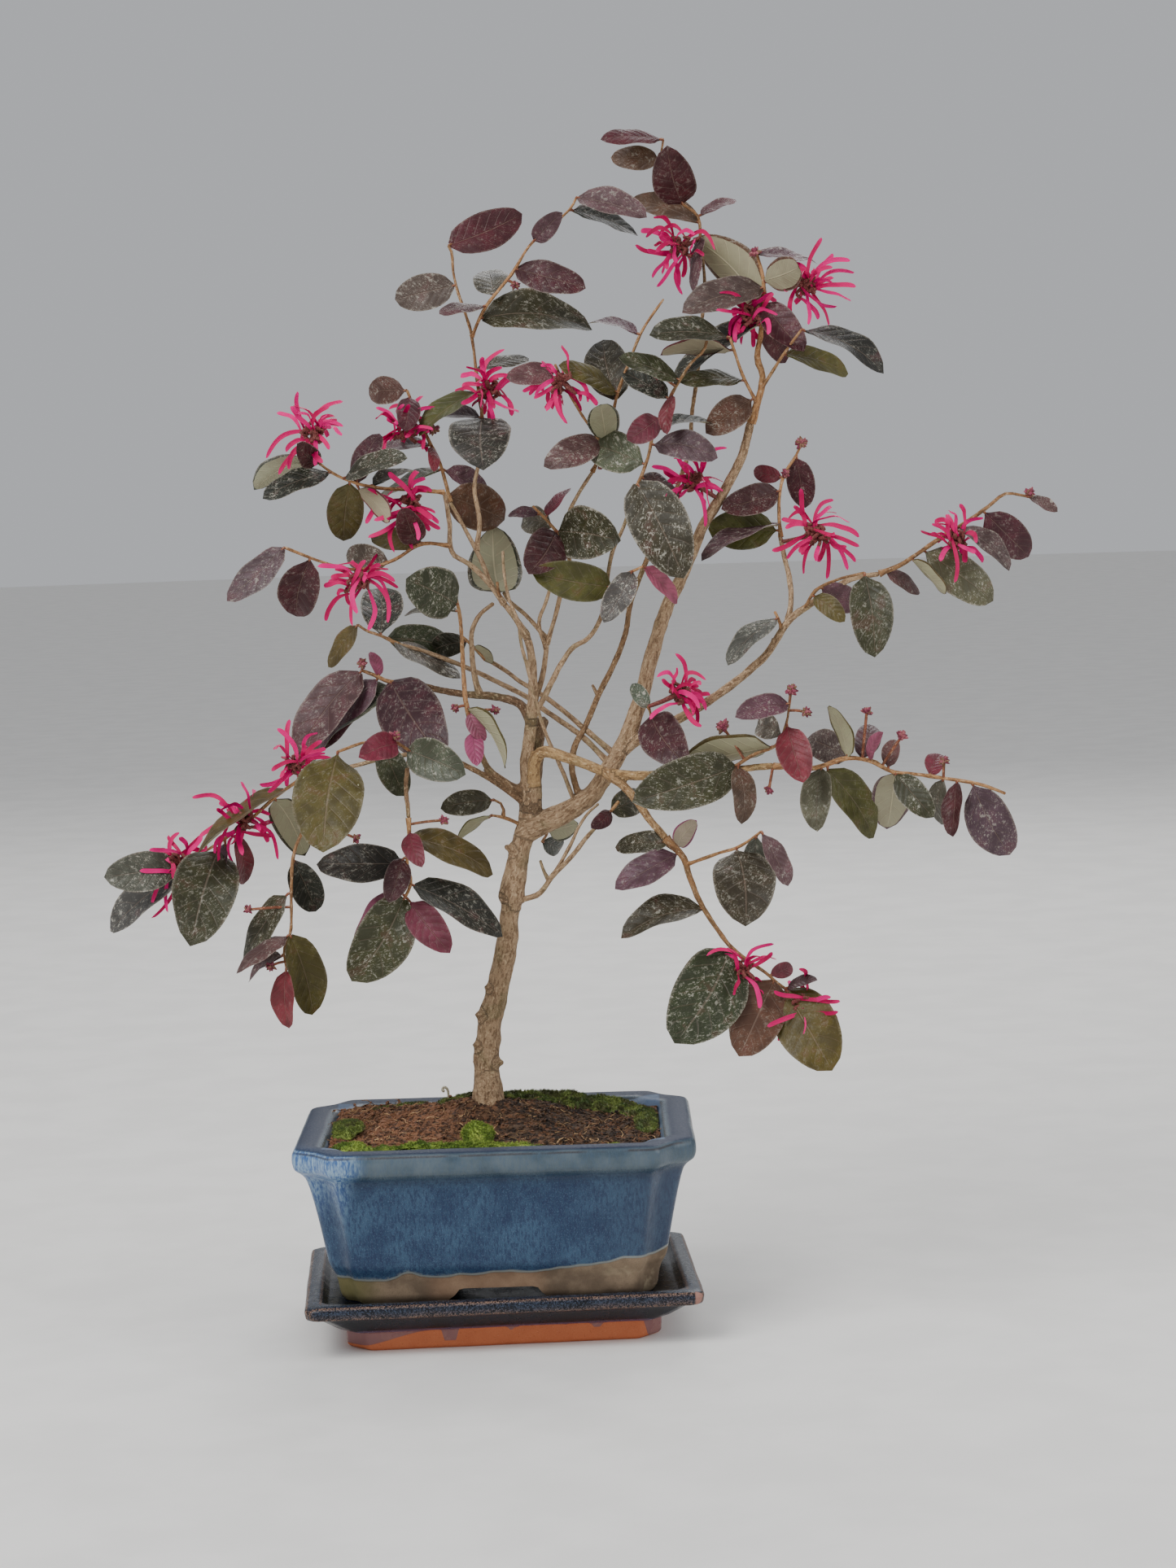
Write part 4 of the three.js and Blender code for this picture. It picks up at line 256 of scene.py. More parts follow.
# The wood: name, what it grows from, width at its start and end (mm), its route in pairs of
# numbers, across and down the photograph, and by the number of a spot of the route the depth
# that is pinned there (mm, minus is nearer).
WOOD = [
    ["root_flare", "", 17, 11.5, [601, 1376, 600, 1352, 599, 1318], {0: 8, -1: 7}],
    ["trunk", "", 12.2, 9, [600, 1350, 598, 1300, 603, 1250, 615, 1200, 624, 1150,
     629, 1100], {0: 8, -1: 3}],
    ["trunk_top", "trunk", 9, 9.8, [629, 1104, 638, 1050, 649, 1008, 653, 972], {-1: 1}],
    ["left_leader", "trunk_top", 7, 3.4, [648, 985, 647, 940, 651, 905, 654, 872, 655, 840,
     652, 800, 645, 775], {-1: -4}],
    ["cut_stump", "trunk_top", 8, 5.8, [654, 990, 658, 940, 661, 905, 667, 884], {-1: 9}],
    ["right_arm", "trunk_top", 9.4, 3.8, [646, 1014, 690, 1001, 728, 975, 748, 945, 765, 918,
     780, 880, 790, 850, 797, 820, 805, 790, 820, 745, 836, 712, 850, 680, 862, 650, 880, 620,
     897, 590, 912, 560, 922, 520], {8: 6, -1: -2}],
    ["far_right_arm", "right_arm", 5, 2.6, [762, 924, 800, 900, 850, 875, 880, 855, 920, 825,
     945, 800, 970, 762, 1003, 738, 1045, 712, 1080, 705], {-1: -26}],
    ["right_riser", "far_right_arm", 2.6, 2, [970, 762, 972, 740, 970, 710, 965, 690,
     959, 660], {-1: 2}],
    ["front_arm", "trunk_top", 5.8, 3, [646, 930, 664, 925, 700, 932, 750, 950, 795, 953,
     860, 948, 900, 946, 950, 941], {0: -2, 1: -5, 3: -11, -1: -30}],
    ["low_right_arm", "front_arm", 4.4, 3.4, [744, 948, 775, 975, 800, 1010,
     818, 1030], {-1: -20}],
    ["under_arm", "trunk_top", 2.8, 1.8, [634, 1122, 660, 1100, 680, 1075, 700, 1055, 720, 1030,
     740, 1008], {-1: -14}],
    ["under_twig", "under_arm", 1.8, 1.3, [682, 1074, 700, 1040, 712, 1015, 722, 1000,
     735, 988], {-1: -4}],
    ["under_snag", "under_arm", 1.8, 1.3, [676, 1080, 668, 1070, 664, 1058], {-1: 4}],
    ["left_arm", "left_leader", 4.2, 3, [654, 884, 640, 866, 620, 858, 600, 855, 570, 853,
     540, 848, 510, 840], {-1: 18}],
    ["crossing_arm", "right_arm", 2.8, 1.8, [758, 932, 720, 897, 672, 858, 640, 838, 615, 820,
     597, 810], {2: 15, -1: 24}],
    ["crossing_arm_low", "right_arm", 2.8, 1.8, [750, 944, 715, 905, 668, 872, 650, 858, 615, 840,
     590, 828, 560, 815, 520, 800, 490, 792], {2: 14, -1: 34}],
    ["thin_crossing", "right_arm", 2, 1.3, [706, 990, 690, 945, 672, 905, 658, 862, 648, 820,
     640, 790, 637, 765, 625, 735, 619, 700, 618, 678], {2: -8, 3: -10, 5: -12, -1: -16}],
    ["left_riser", "trunk_top", 4.2, 2.8, [644, 978, 615, 958, 600, 945, 588, 920], {-1: -12}],
    ["inner_riser", "left_arm", 2.8, 1.8, [592, 855, 583, 830, 580, 800, 580, 775, 590, 755,
     606, 742], {-1: 4}],
    ["hub_fork", "left_leader", 3.4, 2.6, [646, 780, 630, 755, 615, 737], {-1: -6}],
    ["upper_left_fork", "hub_fork", 2.6, 1.9, [617, 740, 597, 712, 575, 692, 556, 680, 552, 640,
     546, 605], {-1: -18}],
    ["upper_left_twin", "upper_left_fork", 2.2, 1.7, [602, 720, 592, 690, 583, 672, 570, 648,
     553, 617], {-1: 0}],
    ["tall_left", "upper_left_twin", 2.2, 1.7, [584, 674, 589, 640, 583, 600, 590, 560,
     592, 530], {-1: 8}],
    ["mid_fork", "left_leader", 2.8, 2.2, [655, 866, 664, 840, 670, 810, 672, 785], {-1: 8}],
    ["mid_fork_left", "mid_fork", 2.2, 1.7, [671, 782, 645, 755, 625, 738, 619, 728], {-1: 10}],
    ["mid_riser", "mid_fork", 1.9, 1.4, [668, 795, 662, 765, 670, 742, 677, 718,
     684, 690], {-1: 0}],
    ["mid_riser_twin", "mid_fork", 2.2, 1.8, [672, 790, 683, 755, 690, 725, 700, 690,
     692, 665], {-1: 6}],
    ["centre_riser", "mid_riser_twin", 1.9, 1.6, [692, 668, 700, 628, 715, 600,
     728, 580], {-1: 4}],
    ["inner_centre", "left_leader", 2.8, 2, [653, 890, 668, 858, 690, 815, 705, 795, 722, 785,
     738, 760, 744, 735], {-1: -10}],
    ["centre_fork", "inner_centre", 1.9, 1.6, [743, 740, 752, 680, 765, 650, 772, 630,
     779, 602], {-1: -14}],
    ["top_leader", "right_arm", 3.2, 1.8, [712, 990, 703, 945, 707, 915, 718, 895, 735, 855,
     755, 815, 768, 780, 775, 740, 790, 700, 815, 640, 835, 590, 848, 550, 850, 510, 857, 460,
     862, 400, 866, 350, 861, 300], {3: 8, 8: 18, -1: 8}],
    ["drooping_arm", "trunk_top", 3, 2.2, [646, 992, 600, 956, 560, 935, 525, 923, 506, 928,
     499, 960, 502, 1005], {-1: -24}],
    ["far_left_arm", "drooping_arm", 2.2, 1.8, [530, 925, 480, 930, 440, 940, 400, 950,
     370, 957], {-1: -6}],
]

# Short stubs and knots on the wood: what carries them, where they start and end, width (mm).
SNAGS = [
  ["trunk", 600, 1248, 585, 1247, 4.4],
  ["trunk", 598, 1285, 582, 1284, 4],
  ["trunk", 610, 1215, 596, 1213, 3.6],
  ["trunk", 601, 1305, 618, 1306, 4.2],
  ["trunk", 629, 1108, 615, 1107, 3.4],
  ["trunk_top", 638, 1048, 621, 1040, 4],
  ["trunk_top", 640, 1045, 625, 1052, 3.2],
  ["far_right_arm", 945, 800, 950, 785, 2.2],
  ["front_arm", 860, 948, 866, 935, 2.2],
  ["top_leader", 735, 855, 728, 842, 2],
]

# The leafy twigs, written like the wood. One that grows from wood starts a leafy shoot of its own;
# one that grows from another twig belongs to that twig's shoot.
TWIGS = [
    ["far_left_shoot", "far_left_arm", 1.7, 1.2, [366, 959, 340, 978, 310, 1005, 270, 1035,
     222, 1063], {-1: 2}],
    ["hanging_left_shoot", "far_left_arm", 1.7, 1.2, [396, 951, 385, 995, 362, 1045, 358, 1090,
     357, 1145, 349, 1168, 352, 1190], {-1: -24}],
    ["drooping_shoot", "drooping_arm", 1.9, 1.3, [502, 1010, 503, 1035, 500, 1060, 505, 1085,
     498, 1102], {-1: -30}],
    ["left_shoot", "left_arm", 2.6, 1.4, [505, 839, 480, 838, 460, 830, 445, 824], {-1: 24}],
    ["drooping_side_shoot", "drooping_arm", 1.6, 1.2, [506, 924, 485, 912, 450, 912,
     415, 924], {-1: -34}],
    ["back_left_shoot", "crossing_arm_low", 1.7, 1.2, [484, 790, 470, 782, 450, 775,
     440, 768], {-1: 42}],
    ["crossing_shoot", "crossing_arm", 1.6, 1.2, [592, 806, 582, 795, 568, 782], {-1: 26}],
    ["left_riser_shoot", "left_riser", 2.6, 1.5, [587, 915, 580, 895, 572, 860, 569, 820,
     567, 780, 564, 750, 560, 735], {2: -18, -1: -20}],
    ["left_top_shoot", "upper_left_fork", 1.7, 1.2, [545, 600, 505, 602, 455, 598, 415, 585,
     380, 560], {-1: -30}],
    ["left_outer_shoot", "upper_left_fork", 1.7, 1.2, [553, 672, 520, 668, 480, 690, 440, 700,
     400, 692, 350, 673], {-1: -34}],
    ["upper_left_shoot", "upper_left_twin", 1.7, 1.2, [552, 612, 545, 583, 537, 560, 530, 548,
     500, 480], {-1: 10}],
    ["tall_left_shoot", "tall_left", 1.7, 1.2, [592, 524, 592, 510, 588, 480, 585, 455, 582, 430,
     578, 405, 570, 380, 563, 360, 557, 335, 555, 310, 551, 302], {-1: 18}],
    ["tall_left_side", "tall_left_shoot", 1.5, 1.1, [580, 412, 595, 380, 610, 360, 630, 335,
     645, 310, 655, 297, 675, 280, 690, 267, 702, 255, 708, 243], {-1: -10}],
    ["centre_top_shoot", "centre_riser", 1.6, 1.1, [729, 576, 740, 555, 748, 530, 760, 480,
     775, 440, 790, 405, 810, 375, 815, 368], {-1: -8}],
    ["centre_left_side", "centre_top_shoot", 1.3, 1.1, [741, 553, 715, 510, 695, 475,
     682, 448], {-1: -12}],
    ["top_shoot", "top_leader", 1.6, 1.1, [860, 294, 857, 265, 838, 250, 823, 225, 812, 200,
     815, 172], {-1: 2}],
    ["upper_right_shoot", "right_arm", 3.4, 1.4, [923, 514, 932, 490, 937, 462, 930, 440,
     935, 410, 938, 345, 930, 312], {-1: -6}],
    ["upper_right_side", "upper_right_shoot", 1.6, 1.1, [935, 478, 950, 455, 970, 425,
     985, 405], {-1: -24}],
    ["upper_middle_side", "upper_right_shoot", 1.6, 1.1, [930, 496, 912, 460, 905, 440,
     897, 415], {-1: -18}],
    ["centre_shoot", "centre_fork", 1.6, 1.2, [780, 597, 786, 590, 797, 560, 802, 535, 812, 510,
     825, 485, 838, 463, 850, 445, 865, 430, 870, 410], {-1: -18}],
    ["centre_low_shoot", "mid_riser_twin", 1.5, 1.1, [690, 661, 683, 652, 665, 632,
     655, 622], {-1: -4}],
    ["heart_shoot", "inner_centre", 1.7, 1.2, [747, 728, 757, 712, 775, 703,
     790, 696], {-1: -22}],
    ["hub_shoot", "hub_fork", 1.6, 1.2, [613, 731, 612, 724, 611, 716], {-1: -12}],
    ["right_shoot", "right_riser", 1.7, 1.2, [958, 653, 957, 620, 960, 595, 965, 580, 978, 560,
     985, 545], {-1: 10}],
    ["far_right_shoot", "far_right_arm", 2.2, 1.2, [1086, 703, 1105, 695, 1125, 682, 1165, 655,
     1190, 640, 1215, 622, 1235, 607, 1262, 610], {-1: -34}],
    ["right_middle_shoot", "far_right_arm", 1.6, 1.2, [988, 748, 1003, 725, 1030, 712,
     1062, 704], {1: -27, -1: -44}],
    ["arm_bend_shoot", "far_right_arm", 1.5, 1.2, [962, 774, 958, 764, 952, 752], {-1: -20}],
    ["front_shoot", "front_arm", 2.4, 1.3, [956, 941, 1000, 944, 1040, 932, 1070, 935, 1095, 948,
     1130, 952, 1170, 958, 1205, 964, 1235, 975], {-1: -46}],
    ["front_middle_shoot", "front_arm", 1.7, 1.2, [898, 946, 925, 928, 955, 915, 966, 890,
     970, 865], {0: -28.3, -1: -40}],
    ["arm_fork_shoot", "far_right_arm", 1.6, 1.2, [803, 892, 800, 880, 797, 868], {-1: -16}],
    ["under_shoot", "under_arm", 1.6, 1.2, [743, 1004, 752, 995, 760, 985], {-1: -18}],
    ["low_right_shoot", "low_right_arm", 3.1, 1.3, [822, 1034, 840, 1055, 850, 1085, 862, 1112,
     880, 1140, 897, 1163, 915, 1178, 940, 1195, 955, 1208, 965, 1215], {-1: -36}],
    ["low_right_side", "low_right_shoot", 1.6, 1.2, [842, 1062, 865, 1055, 885, 1048, 905, 1042,
     925, 1030, 935, 1022], {-1: -44}],
    ["trunk_side_shoot", "trunk_top", 2, 1.2, [631, 1014, 620, 1005, 605, 1002], {-1: -8}],
    ["trunk_side_twig", "trunk_side_shoot", 1.4, 1.1, [620, 1006, 618, 990, 607, 983], {-1: 0}],
    ["trunk_back_shoot", "right_arm", 1.6, 1.2, [676, 1012, 672, 1024, 666, 1034], {-1: 20}],
]

# The leaves, by the twig that carries them: where the blade starts and its tip (photograph),
# seen width, how far the tip reaches away from the eye (mm), which face shows (1 upper, -1
# under), finish.
LEAVES = [
    ["far_left_shoot", [222, 1065, 128, 1078, 50, -8, 1, "grey"],
     [224, 1070, 130, 1142, 45, 14, 1, "grey"], [268, 1046, 235, 1158, 80, -16, 1, "green"],
     [278, 1040, 262, 1140, 22, 8, 1, "mauve"], [350, 972, 244, 1050, 20, -14, 1, "olive"],
     [342, 980, 374, 1050, 45, 16, -1, "green"], [290, 1030, 302, 1088, 24, 12, 1, "red"]],
    ["hanging_left_shoot", [360, 1052, 388, 1120, 40, 14, 1, "dark"],
     [352, 1100, 293, 1180, 35, 10, 1, "green"], [354, 1145, 290, 1196, 22, -10, 1, "mauve"],
     [350, 1170, 305, 1206, 14, 16, 1, "mauve"], [353, 1188, 354, 1264, 28, -4, 1, "red"],
     [360, 1150, 386, 1248, 45, 8, 1, "olive"]],
    ["drooping_shoot", [498, 1062, 388, 1060, 48, 6, 1, "dark"],
     [494, 1056, 478, 1108, 32, -12, 1, "maroon"], [494, 1104, 432, 1206, 70, -6, 1, "green"],
     [492, 1098, 432, 1160, 25, 14, 1, "pink"], [504, 1108, 552, 1170, 42, -14, 1, "red"],
     [508, 1086, 620, 1148, 42, 6, 1, "dark"], [506, 1024, 518, 1064, 26, -16, 1, "red"],
     [508, 1030, 608, 1072, 36, 12, 1, "olive"]],
    ["left_shoot", [443, 826, 362, 930, 55, -10, 1, "mauve"],
     [462, 836, 392, 922, 35, 10, 1, "mauve"], [490, 846, 375, 937, 40, 22, 1, "grey"],
     [478, 843, 540, 928, 80, -16, 1, "maroon"], [470, 832, 456, 800, 15, 6, 1, "pink"]],
    ["drooping_side_shoot", [413, 925, 397, 1048, 85, -10, 1, "olive"],
     [488, 911, 443, 930, 35, -14, 1, "red"], [470, 914, 496, 978, 38, 14, 1, "green"],
     [497, 930, 572, 952, 50, -8, 1, "grey"]],
    ["back_left_shoot", [442, 768, 403, 820, 25, 8, 1, "olive"],
     [472, 784, 562, 800, 40, 12, 1, "green"], [478, 788, 566, 834, 24, -10, 1, "grey"],
     [468, 780, 464, 720, 55, 8, 1, "dark"]],
    ["crossing_shoot", [580, 790, 607, 814, 14, -6, -1, "olive"],
     [572, 785, 528, 802, 32, 12, 1, "dark"]],
    ["left_riser_shoot", [578, 876, 596, 910, 20, -4, 1, "pink"],
     [576, 900, 586, 942, 24, -14, 1, "pink"], [576, 868, 622, 944, 15, -22, -1, "olive"],
     [566, 742, 500, 712, 62, -12, 1, "green"], [564, 750, 496, 752, 12, 14, 1, "green"]],
    ["left_top_shoot", [432, 594, 422, 665, 45, 12, 1, "olive"],
     [440, 600, 478, 642, 24, -10, -1, "red"], [410, 580, 322, 610, 26, -8, 1, "dark"],
     [384, 562, 312, 600, 30, 18, -1, "grey"], [394, 568, 366, 546, 28, -12, 1, "maroon"],
     [440, 592, 466, 532, 30, 14, 1, "maroon"], [420, 586, 500, 562, 28, -16, 1, "green"],
     [452, 598, 512, 580, 16, 16, 1, "dark"]],
    ["left_outer_shoot", [350, 673, 278, 738, 35, -4, 1, "mauve"],
     [384, 688, 364, 758, 50, 8, 1, "maroon"], [520, 670, 455, 660, 30, 12, 1, "olive"],
     [516, 668, 494, 622, 35, -10, 1, "maroon"], [474, 691, 422, 682, 35, 12, 1, "grey"]],
    ["upper_left_shoot", [531, 550, 455, 562, 15, 10, 1, "mauve"],
     [543, 578, 455, 612, 17, 22, 1, "green"], [501, 484, 452, 485, 35, 6, 1, "brown"],
     [502, 486, 497, 528, 30, -12, 1, "maroon"], [530, 548, 533, 580, 15, -12, 1, "red"],
     [544, 580, 602, 602, 28, 16, 1, "mauve"], [552, 608, 622, 640, 58, 6, 1, "brown"]],
    ["tall_left_shoot", [592, 512, 594, 574, 76, -12, 1, "dark"],
     [591, 510, 522, 522, 15, 10, 1, "mauve"], [587, 478, 515, 536, 28, -14, 1, "olive"],
     [585, 458, 650, 438, 16, 12, 1, "green"], [561, 352, 485, 368, 45, 8, 1, "grey"],
     [553, 304, 642, 262, 48, 10, 1, "maroon"]],
    ["tall_left_side", [656, 296, 690, 262, 26, -12, 1, "mauve"],
     [608, 362, 598, 326, 44, 16, 1, "green"], [632, 332, 720, 355, 38, -8, 1, "maroon"],
     [592, 390, 728, 405, 50, 8, 1, "green"], [600, 376, 540, 384, 14, -14, 1, "mauve"],
     [708, 244, 795, 265, 32, -10, 1, "mauve"], [698, 260, 785, 288, 22, 12, 1, "dark"]],
    ["centre_top_shoot", [788, 410, 722, 396, 12, 8, 1, "mauve"],
     [760, 484, 687, 448, 24, -12, 1, "olive"], [758, 490, 740, 413, 55, 10, 1, "green"],
     [745, 542, 738, 496, 40, -16, -1, "green"], [744, 545, 668, 574, 38, -6, 1, "mauve"]],
    ["centre_left_side", [684, 452, 622, 464, 28, -6, 1, "mauve"]],
    ["top_shoot", [812, 200, 750, 193, 30, 6, 1, "brown"],
     [840, 250, 820, 180, 52, -10, 1, "maroon"], [815, 174, 738, 170, 17, -6, 1, "maroon"],
     [857, 262, 904, 243, 12, 8, 1, "mauve"], [858, 272, 772, 243, 30, 12, 1, "brown"],
     [860, 288, 852, 360, 18, -12, 1, "mauve"]],
    ["upper_right_shoot", [935, 385, 850, 293, 50, 14, -1, "brown"],
     [938, 345, 982, 328, 42, -14, -1, "brown"], [937, 350, 838, 385, 40, -10, 1, "mauve"],
     [934, 396, 825, 470, 25, 10, 1, "dark"], [936, 400, 965, 446, 28, 10, 1, "maroon"],
     [938, 368, 988, 432, 40, -14, 1, "maroon"], [932, 314, 1005, 322, 15, 8, 1, "mauve"]],
    ["upper_right_side", [985, 405, 1087, 457, 24, -6, 1, "dark"],
     [962, 438, 1042, 460, 26, 14, 1, "olive"]],
    ["upper_middle_side", [898, 418, 798, 410, 27, -8, 1, "green"],
     [900, 428, 812, 432, 24, 12, -1, "red"], [915, 468, 835, 466, 20, -8, 1, "green"],
     [925, 488, 868, 532, 40, -6, 1, "brown"]],
    ["centre_shoot", [834, 468, 760, 440, 24, -8, 1, "green"],
     [822, 488, 765, 456, 28, 14, 1, "dark"], [824, 486, 820, 534, 20, -12, 1, "red"],
     [810, 512, 772, 540, 33, -10, 1, "red"], [803, 545, 882, 562, 36, -8, 1, "mauve"],
     [804, 532, 880, 520, 12, 12, 1, "dark"], [792, 575, 722, 546, 50, 10, 1, "grey"],
     [788, 586, 838, 608, 20, 12, 1, "mauve"], [784, 594, 840, 710, 72, -14, 1, "green"]],
    ["centre_low_shoot", [684, 654, 652, 702, 52, -10, 1, "maroon"],
     [680, 650, 640, 640, 36, 12, 1, "grey"], [686, 652, 762, 664, 66, -4, 1, "green"],
     [662, 630, 624, 634, 14, 6, 1, "mauve"], [672, 638, 700, 598, 16, 12, 1, "red"]],
    ["heart_shoot", [750, 724, 655, 703, 48, -12, 1, "olive"],
     [776, 703, 742, 766, 34, -12, 1, "grey"], [790, 697, 832, 742, 22, 8, 1, "pink"]],
    ["hub_shoot", [612, 728, 606, 648, 68, 6, -1, "green"]],
    ["right_shoot", [960, 600, 886, 626, 38, -8, 1, "maroon"],
     [962, 588, 926, 578, 22, 12, 1, "red"], [958, 648, 870, 650, 50, 8, 1, "olive"],
     [958, 640, 862, 690, 20, -14, 1, "mauve"], [979, 560, 990, 625, 35, 8, 1, "maroon"]],
    ["far_right_shoot", [1092, 700, 1132, 728, 20, 14, 1, "mauve"],
     [1118, 688, 1162, 730, 14, -12, -1, "olive"], [1132, 678, 1222, 738, 50, 6, 1, "grey"],
     [1180, 648, 1240, 702, 26, -12, 1, "mauve"], [1208, 628, 1265, 685, 45, 10, 1, "maroon"],
     [1260, 610, 1300, 628, 13, -4, 1, "mauve"]],
    ["right_middle_shoot", [1062, 706, 1075, 808, 52, -10, 1, "green"],
     [1010, 722, 1060, 742, 35, 10, 1, "mauve"], [1000, 732, 1038, 764, 25, -10, 1, "olive"]],
    ["arm_bend_shoot", [954, 756, 893, 815, 28, -12, 1, "grey"]],
    ["front_shoot", [1040, 932, 990, 908, 40, 12, 1, "mauve"],
     [1042, 930, 1020, 866, 22, -10, -1, "olive"], [1062, 934, 1068, 890, 32, 14, 1, "maroon"],
     [1070, 936, 1084, 900, 16, -12, 1, "pink"], [1094, 946, 1100, 908, 22, 10, 1, "mauve"],
     [1012, 944, 1004, 1022, 38, -10, 1, "grey"], [1016, 946, 1075, 1030, 45, 12, 1, "olive"],
     [1098, 950, 1090, 1016, 50, 8, -1, "mauve"], [1102, 950, 1147, 1005, 35, -12, 1, "green"],
     [1176, 960, 1172, 1029, 24, -10, 1, "maroon"], [1196, 964, 1242, 1052, 55, 8, 1, "mauve"],
     [1160, 957, 1154, 1015, 24, 12, 1, "grey"], [1142, 954, 1156, 926, 24, 8, 1, "red"]],
    ["front_middle_shoot", [902, 944, 778, 985, 65, -12, 1, "green"],
     [950, 918, 833, 940, 36, 10, -1, "olive"], [970, 868, 903, 882, 30, -8, 1, "mauve"],
     [962, 905, 928, 890, 32, 12, 1, "grey"], [968, 888, 987, 962, 42, -14, 1, "red"],
     [906, 944, 913, 1012, 30, -8, 1, "brown"]],
    ["arm_fork_shoot", [800, 880, 842, 938, 55, -12, 1, "maroon"],
     [798, 870, 776, 840, 20, 12, 1, "grey"]],
    ["under_shoot", [752, 995, 792, 976, 36, 10, 1, "green"],
     [748, 998, 728, 1016, 20, -10, 1, "maroon"]],
    ["low_right_shoot", [824, 1036, 755, 1040, 28, 12, 1, "green"],
     [832, 1046, 755, 1090, 38, -8, 1, "mauve"], [828, 1038, 856, 1008, 26, 12, -1, "pink"],
     [864, 1116, 762, 1148, 36, -6, 1, "green"], [896, 1165, 830, 1280, 88, -12, 1, "green"],
     [950, 1206, 908, 1298, 65, -8, 1, "brown"], [964, 1215, 1022, 1315, 75, -8, 1, "olive"],
     [950, 1200, 976, 1186, 20, 12, 1, "red"], [962, 1214, 1004, 1204, 16, -10, 1, "mauve"]],
    ["low_right_side", [908, 1040, 916, 1138, 75, -12, 1, "green"],
     [930, 1028, 920, 1082, 28, 12, 1, "grey"], [935, 1024, 970, 1088, 24, -8, 1, "mauve"]],
    ["trunk_side_twig", [607, 984, 541, 994, 32, -8, 1, "green"]],
    ["trunk_side_shoot", [606, 1002, 563, 1031, 12, 6, -1, "olive"]],
    ["trunk_back_shoot", [674, 1020, 709, 1012, 32, 8, -1, "green"],
     [667, 1034, 692, 1046, 26, 12, 1, "dark"]],
]

# The flower heads: name, what they sit on, their middle (photograph), how far it stands out
# towards the eye (mm), and the tips of the petals that show, in pairs.
FLOWERS = [
    ["flower_far_left", "far_left_shoot", 222, 1062, 3, [183, 1045, 187, 1112, 190, 1130,
     208, 1122, 215, 1100]],
    ["flower_left_arch", "far_left_shoot", 300, 1008, 4, [235, 982, 312, 970, 245, 1030,
     262, 1050, 268, 1070, 285, 1062, 302, 1052, 330, 1035, 340, 1058]],
    ["flower_left_bend", "far_left_arm", 364, 940, 4, [335, 920, 320, 967, 330, 975, 375, 980,
     390, 900, 352, 884]],
    ["flower_upper_left", "left_top_shoot", 385, 530, 4, [362, 482, 423, 495, 418, 535, 338, 510,
     325, 560, 340, 580, 352, 575]],
    ["flower_left_peak", "upper_left_shoot", 500, 530, 5, [460, 515, 477, 505, 455, 550,
     515, 485]],
    ["flower_left_heart", "left_top_shoot", 505, 620, 5, [450, 603, 540, 652, 450, 645, 455, 665,
     482, 678, 505, 675, 530, 640, 515, 580]],
    ["flower_left_low", "left_outer_shoot", 440, 715, 5, [402, 765, 455, 775, 478, 765, 490, 722,
     390, 698, 430, 768, 480, 700]],
    ["flower_tall_left", "tall_left_shoot", 602, 478, 4, [572, 450, 628, 460, 640, 505, 625, 512,
     590, 500]],
    ["flower_centre_left", "centre_left_side", 690, 470, 4, [665, 445, 690, 425, 655, 483,
     672, 505, 690, 520, 715, 505]],
    ["flower_top", "top_shoot", 836, 304, 4, [802, 268, 787, 285, 780, 305, 800, 340, 810, 355,
     835, 362, 880, 305]],
    ["flower_upper_right", "upper_right_shoot", 990, 350, 5, [1010, 292, 1025, 315, 1045, 320,
     1050, 335, 1052, 352, 1046, 370, 1028, 378, 1020, 400, 978, 408]],
    ["flower_right_peak", "upper_right_shoot", 922, 388, 4, [880, 385, 900, 368, 942, 412,
     912, 425]],
    ["flower_centre", "right_arm", 852, 592, 6, [800, 575, 890, 548, 888, 598, 866, 648, 818, 606,
     832, 640, 870, 545, 830, 560]],
    ["flower_star", "right_riser", 1003, 655, 6, [985, 600, 1022, 612, 1042, 640, 1056, 656,
     1056, 672, 1052, 690, 1040, 702, 1015, 712, 988, 706, 960, 638, 950, 680]],
    ["flower_far_right", "far_right_shoot", 1178, 664, 4, [1168, 628, 1210, 665, 1176, 716,
     1148, 640]],
    ["flower_arm_fork", "arm_fork_shoot", 834, 852, 4, [862, 840, 872, 850, 862, 866, 858, 892,
     812, 836]],
    ["flower_low_right", "low_right_shoot", 915, 1192, 4, [878, 1236, 888, 1246, 900, 1222,
     920, 1226, 933, 1240]],
    ["flower_low_tip", "low_right_shoot", 984, 1232, 4, [942, 1260, 953, 1276, 985, 1286,
     1002, 1286, 1030, 1242, 1024, 1262]],
]

# Buds and dried seed heads: where they show in the photograph, and their size (mm).
BUDS = [
    [985, 545, 2.4], [965, 582, 2], [972, 848, 2.4], [1065, 875, 2.2], [1108, 905, 2.4],
    [1160, 935, 2], [945, 970, 2], [990, 875, 2.2], [437, 1030, 2.2], [545, 1008, 2],
    [608, 872, 2], [485, 905, 2.4], [445, 815, 2.2], [305, 1118, 2], [333, 1187, 2.2],
    [928, 310, 2.2], [810, 462, 2], [633, 350, 2], [533, 528, 2.2], [745, 560, 2.6],
    [752, 572, 2.2], [738, 570, 2], [1265, 605, 2], [560, 870, 2], [888, 893, 3],
]


# Shapes.


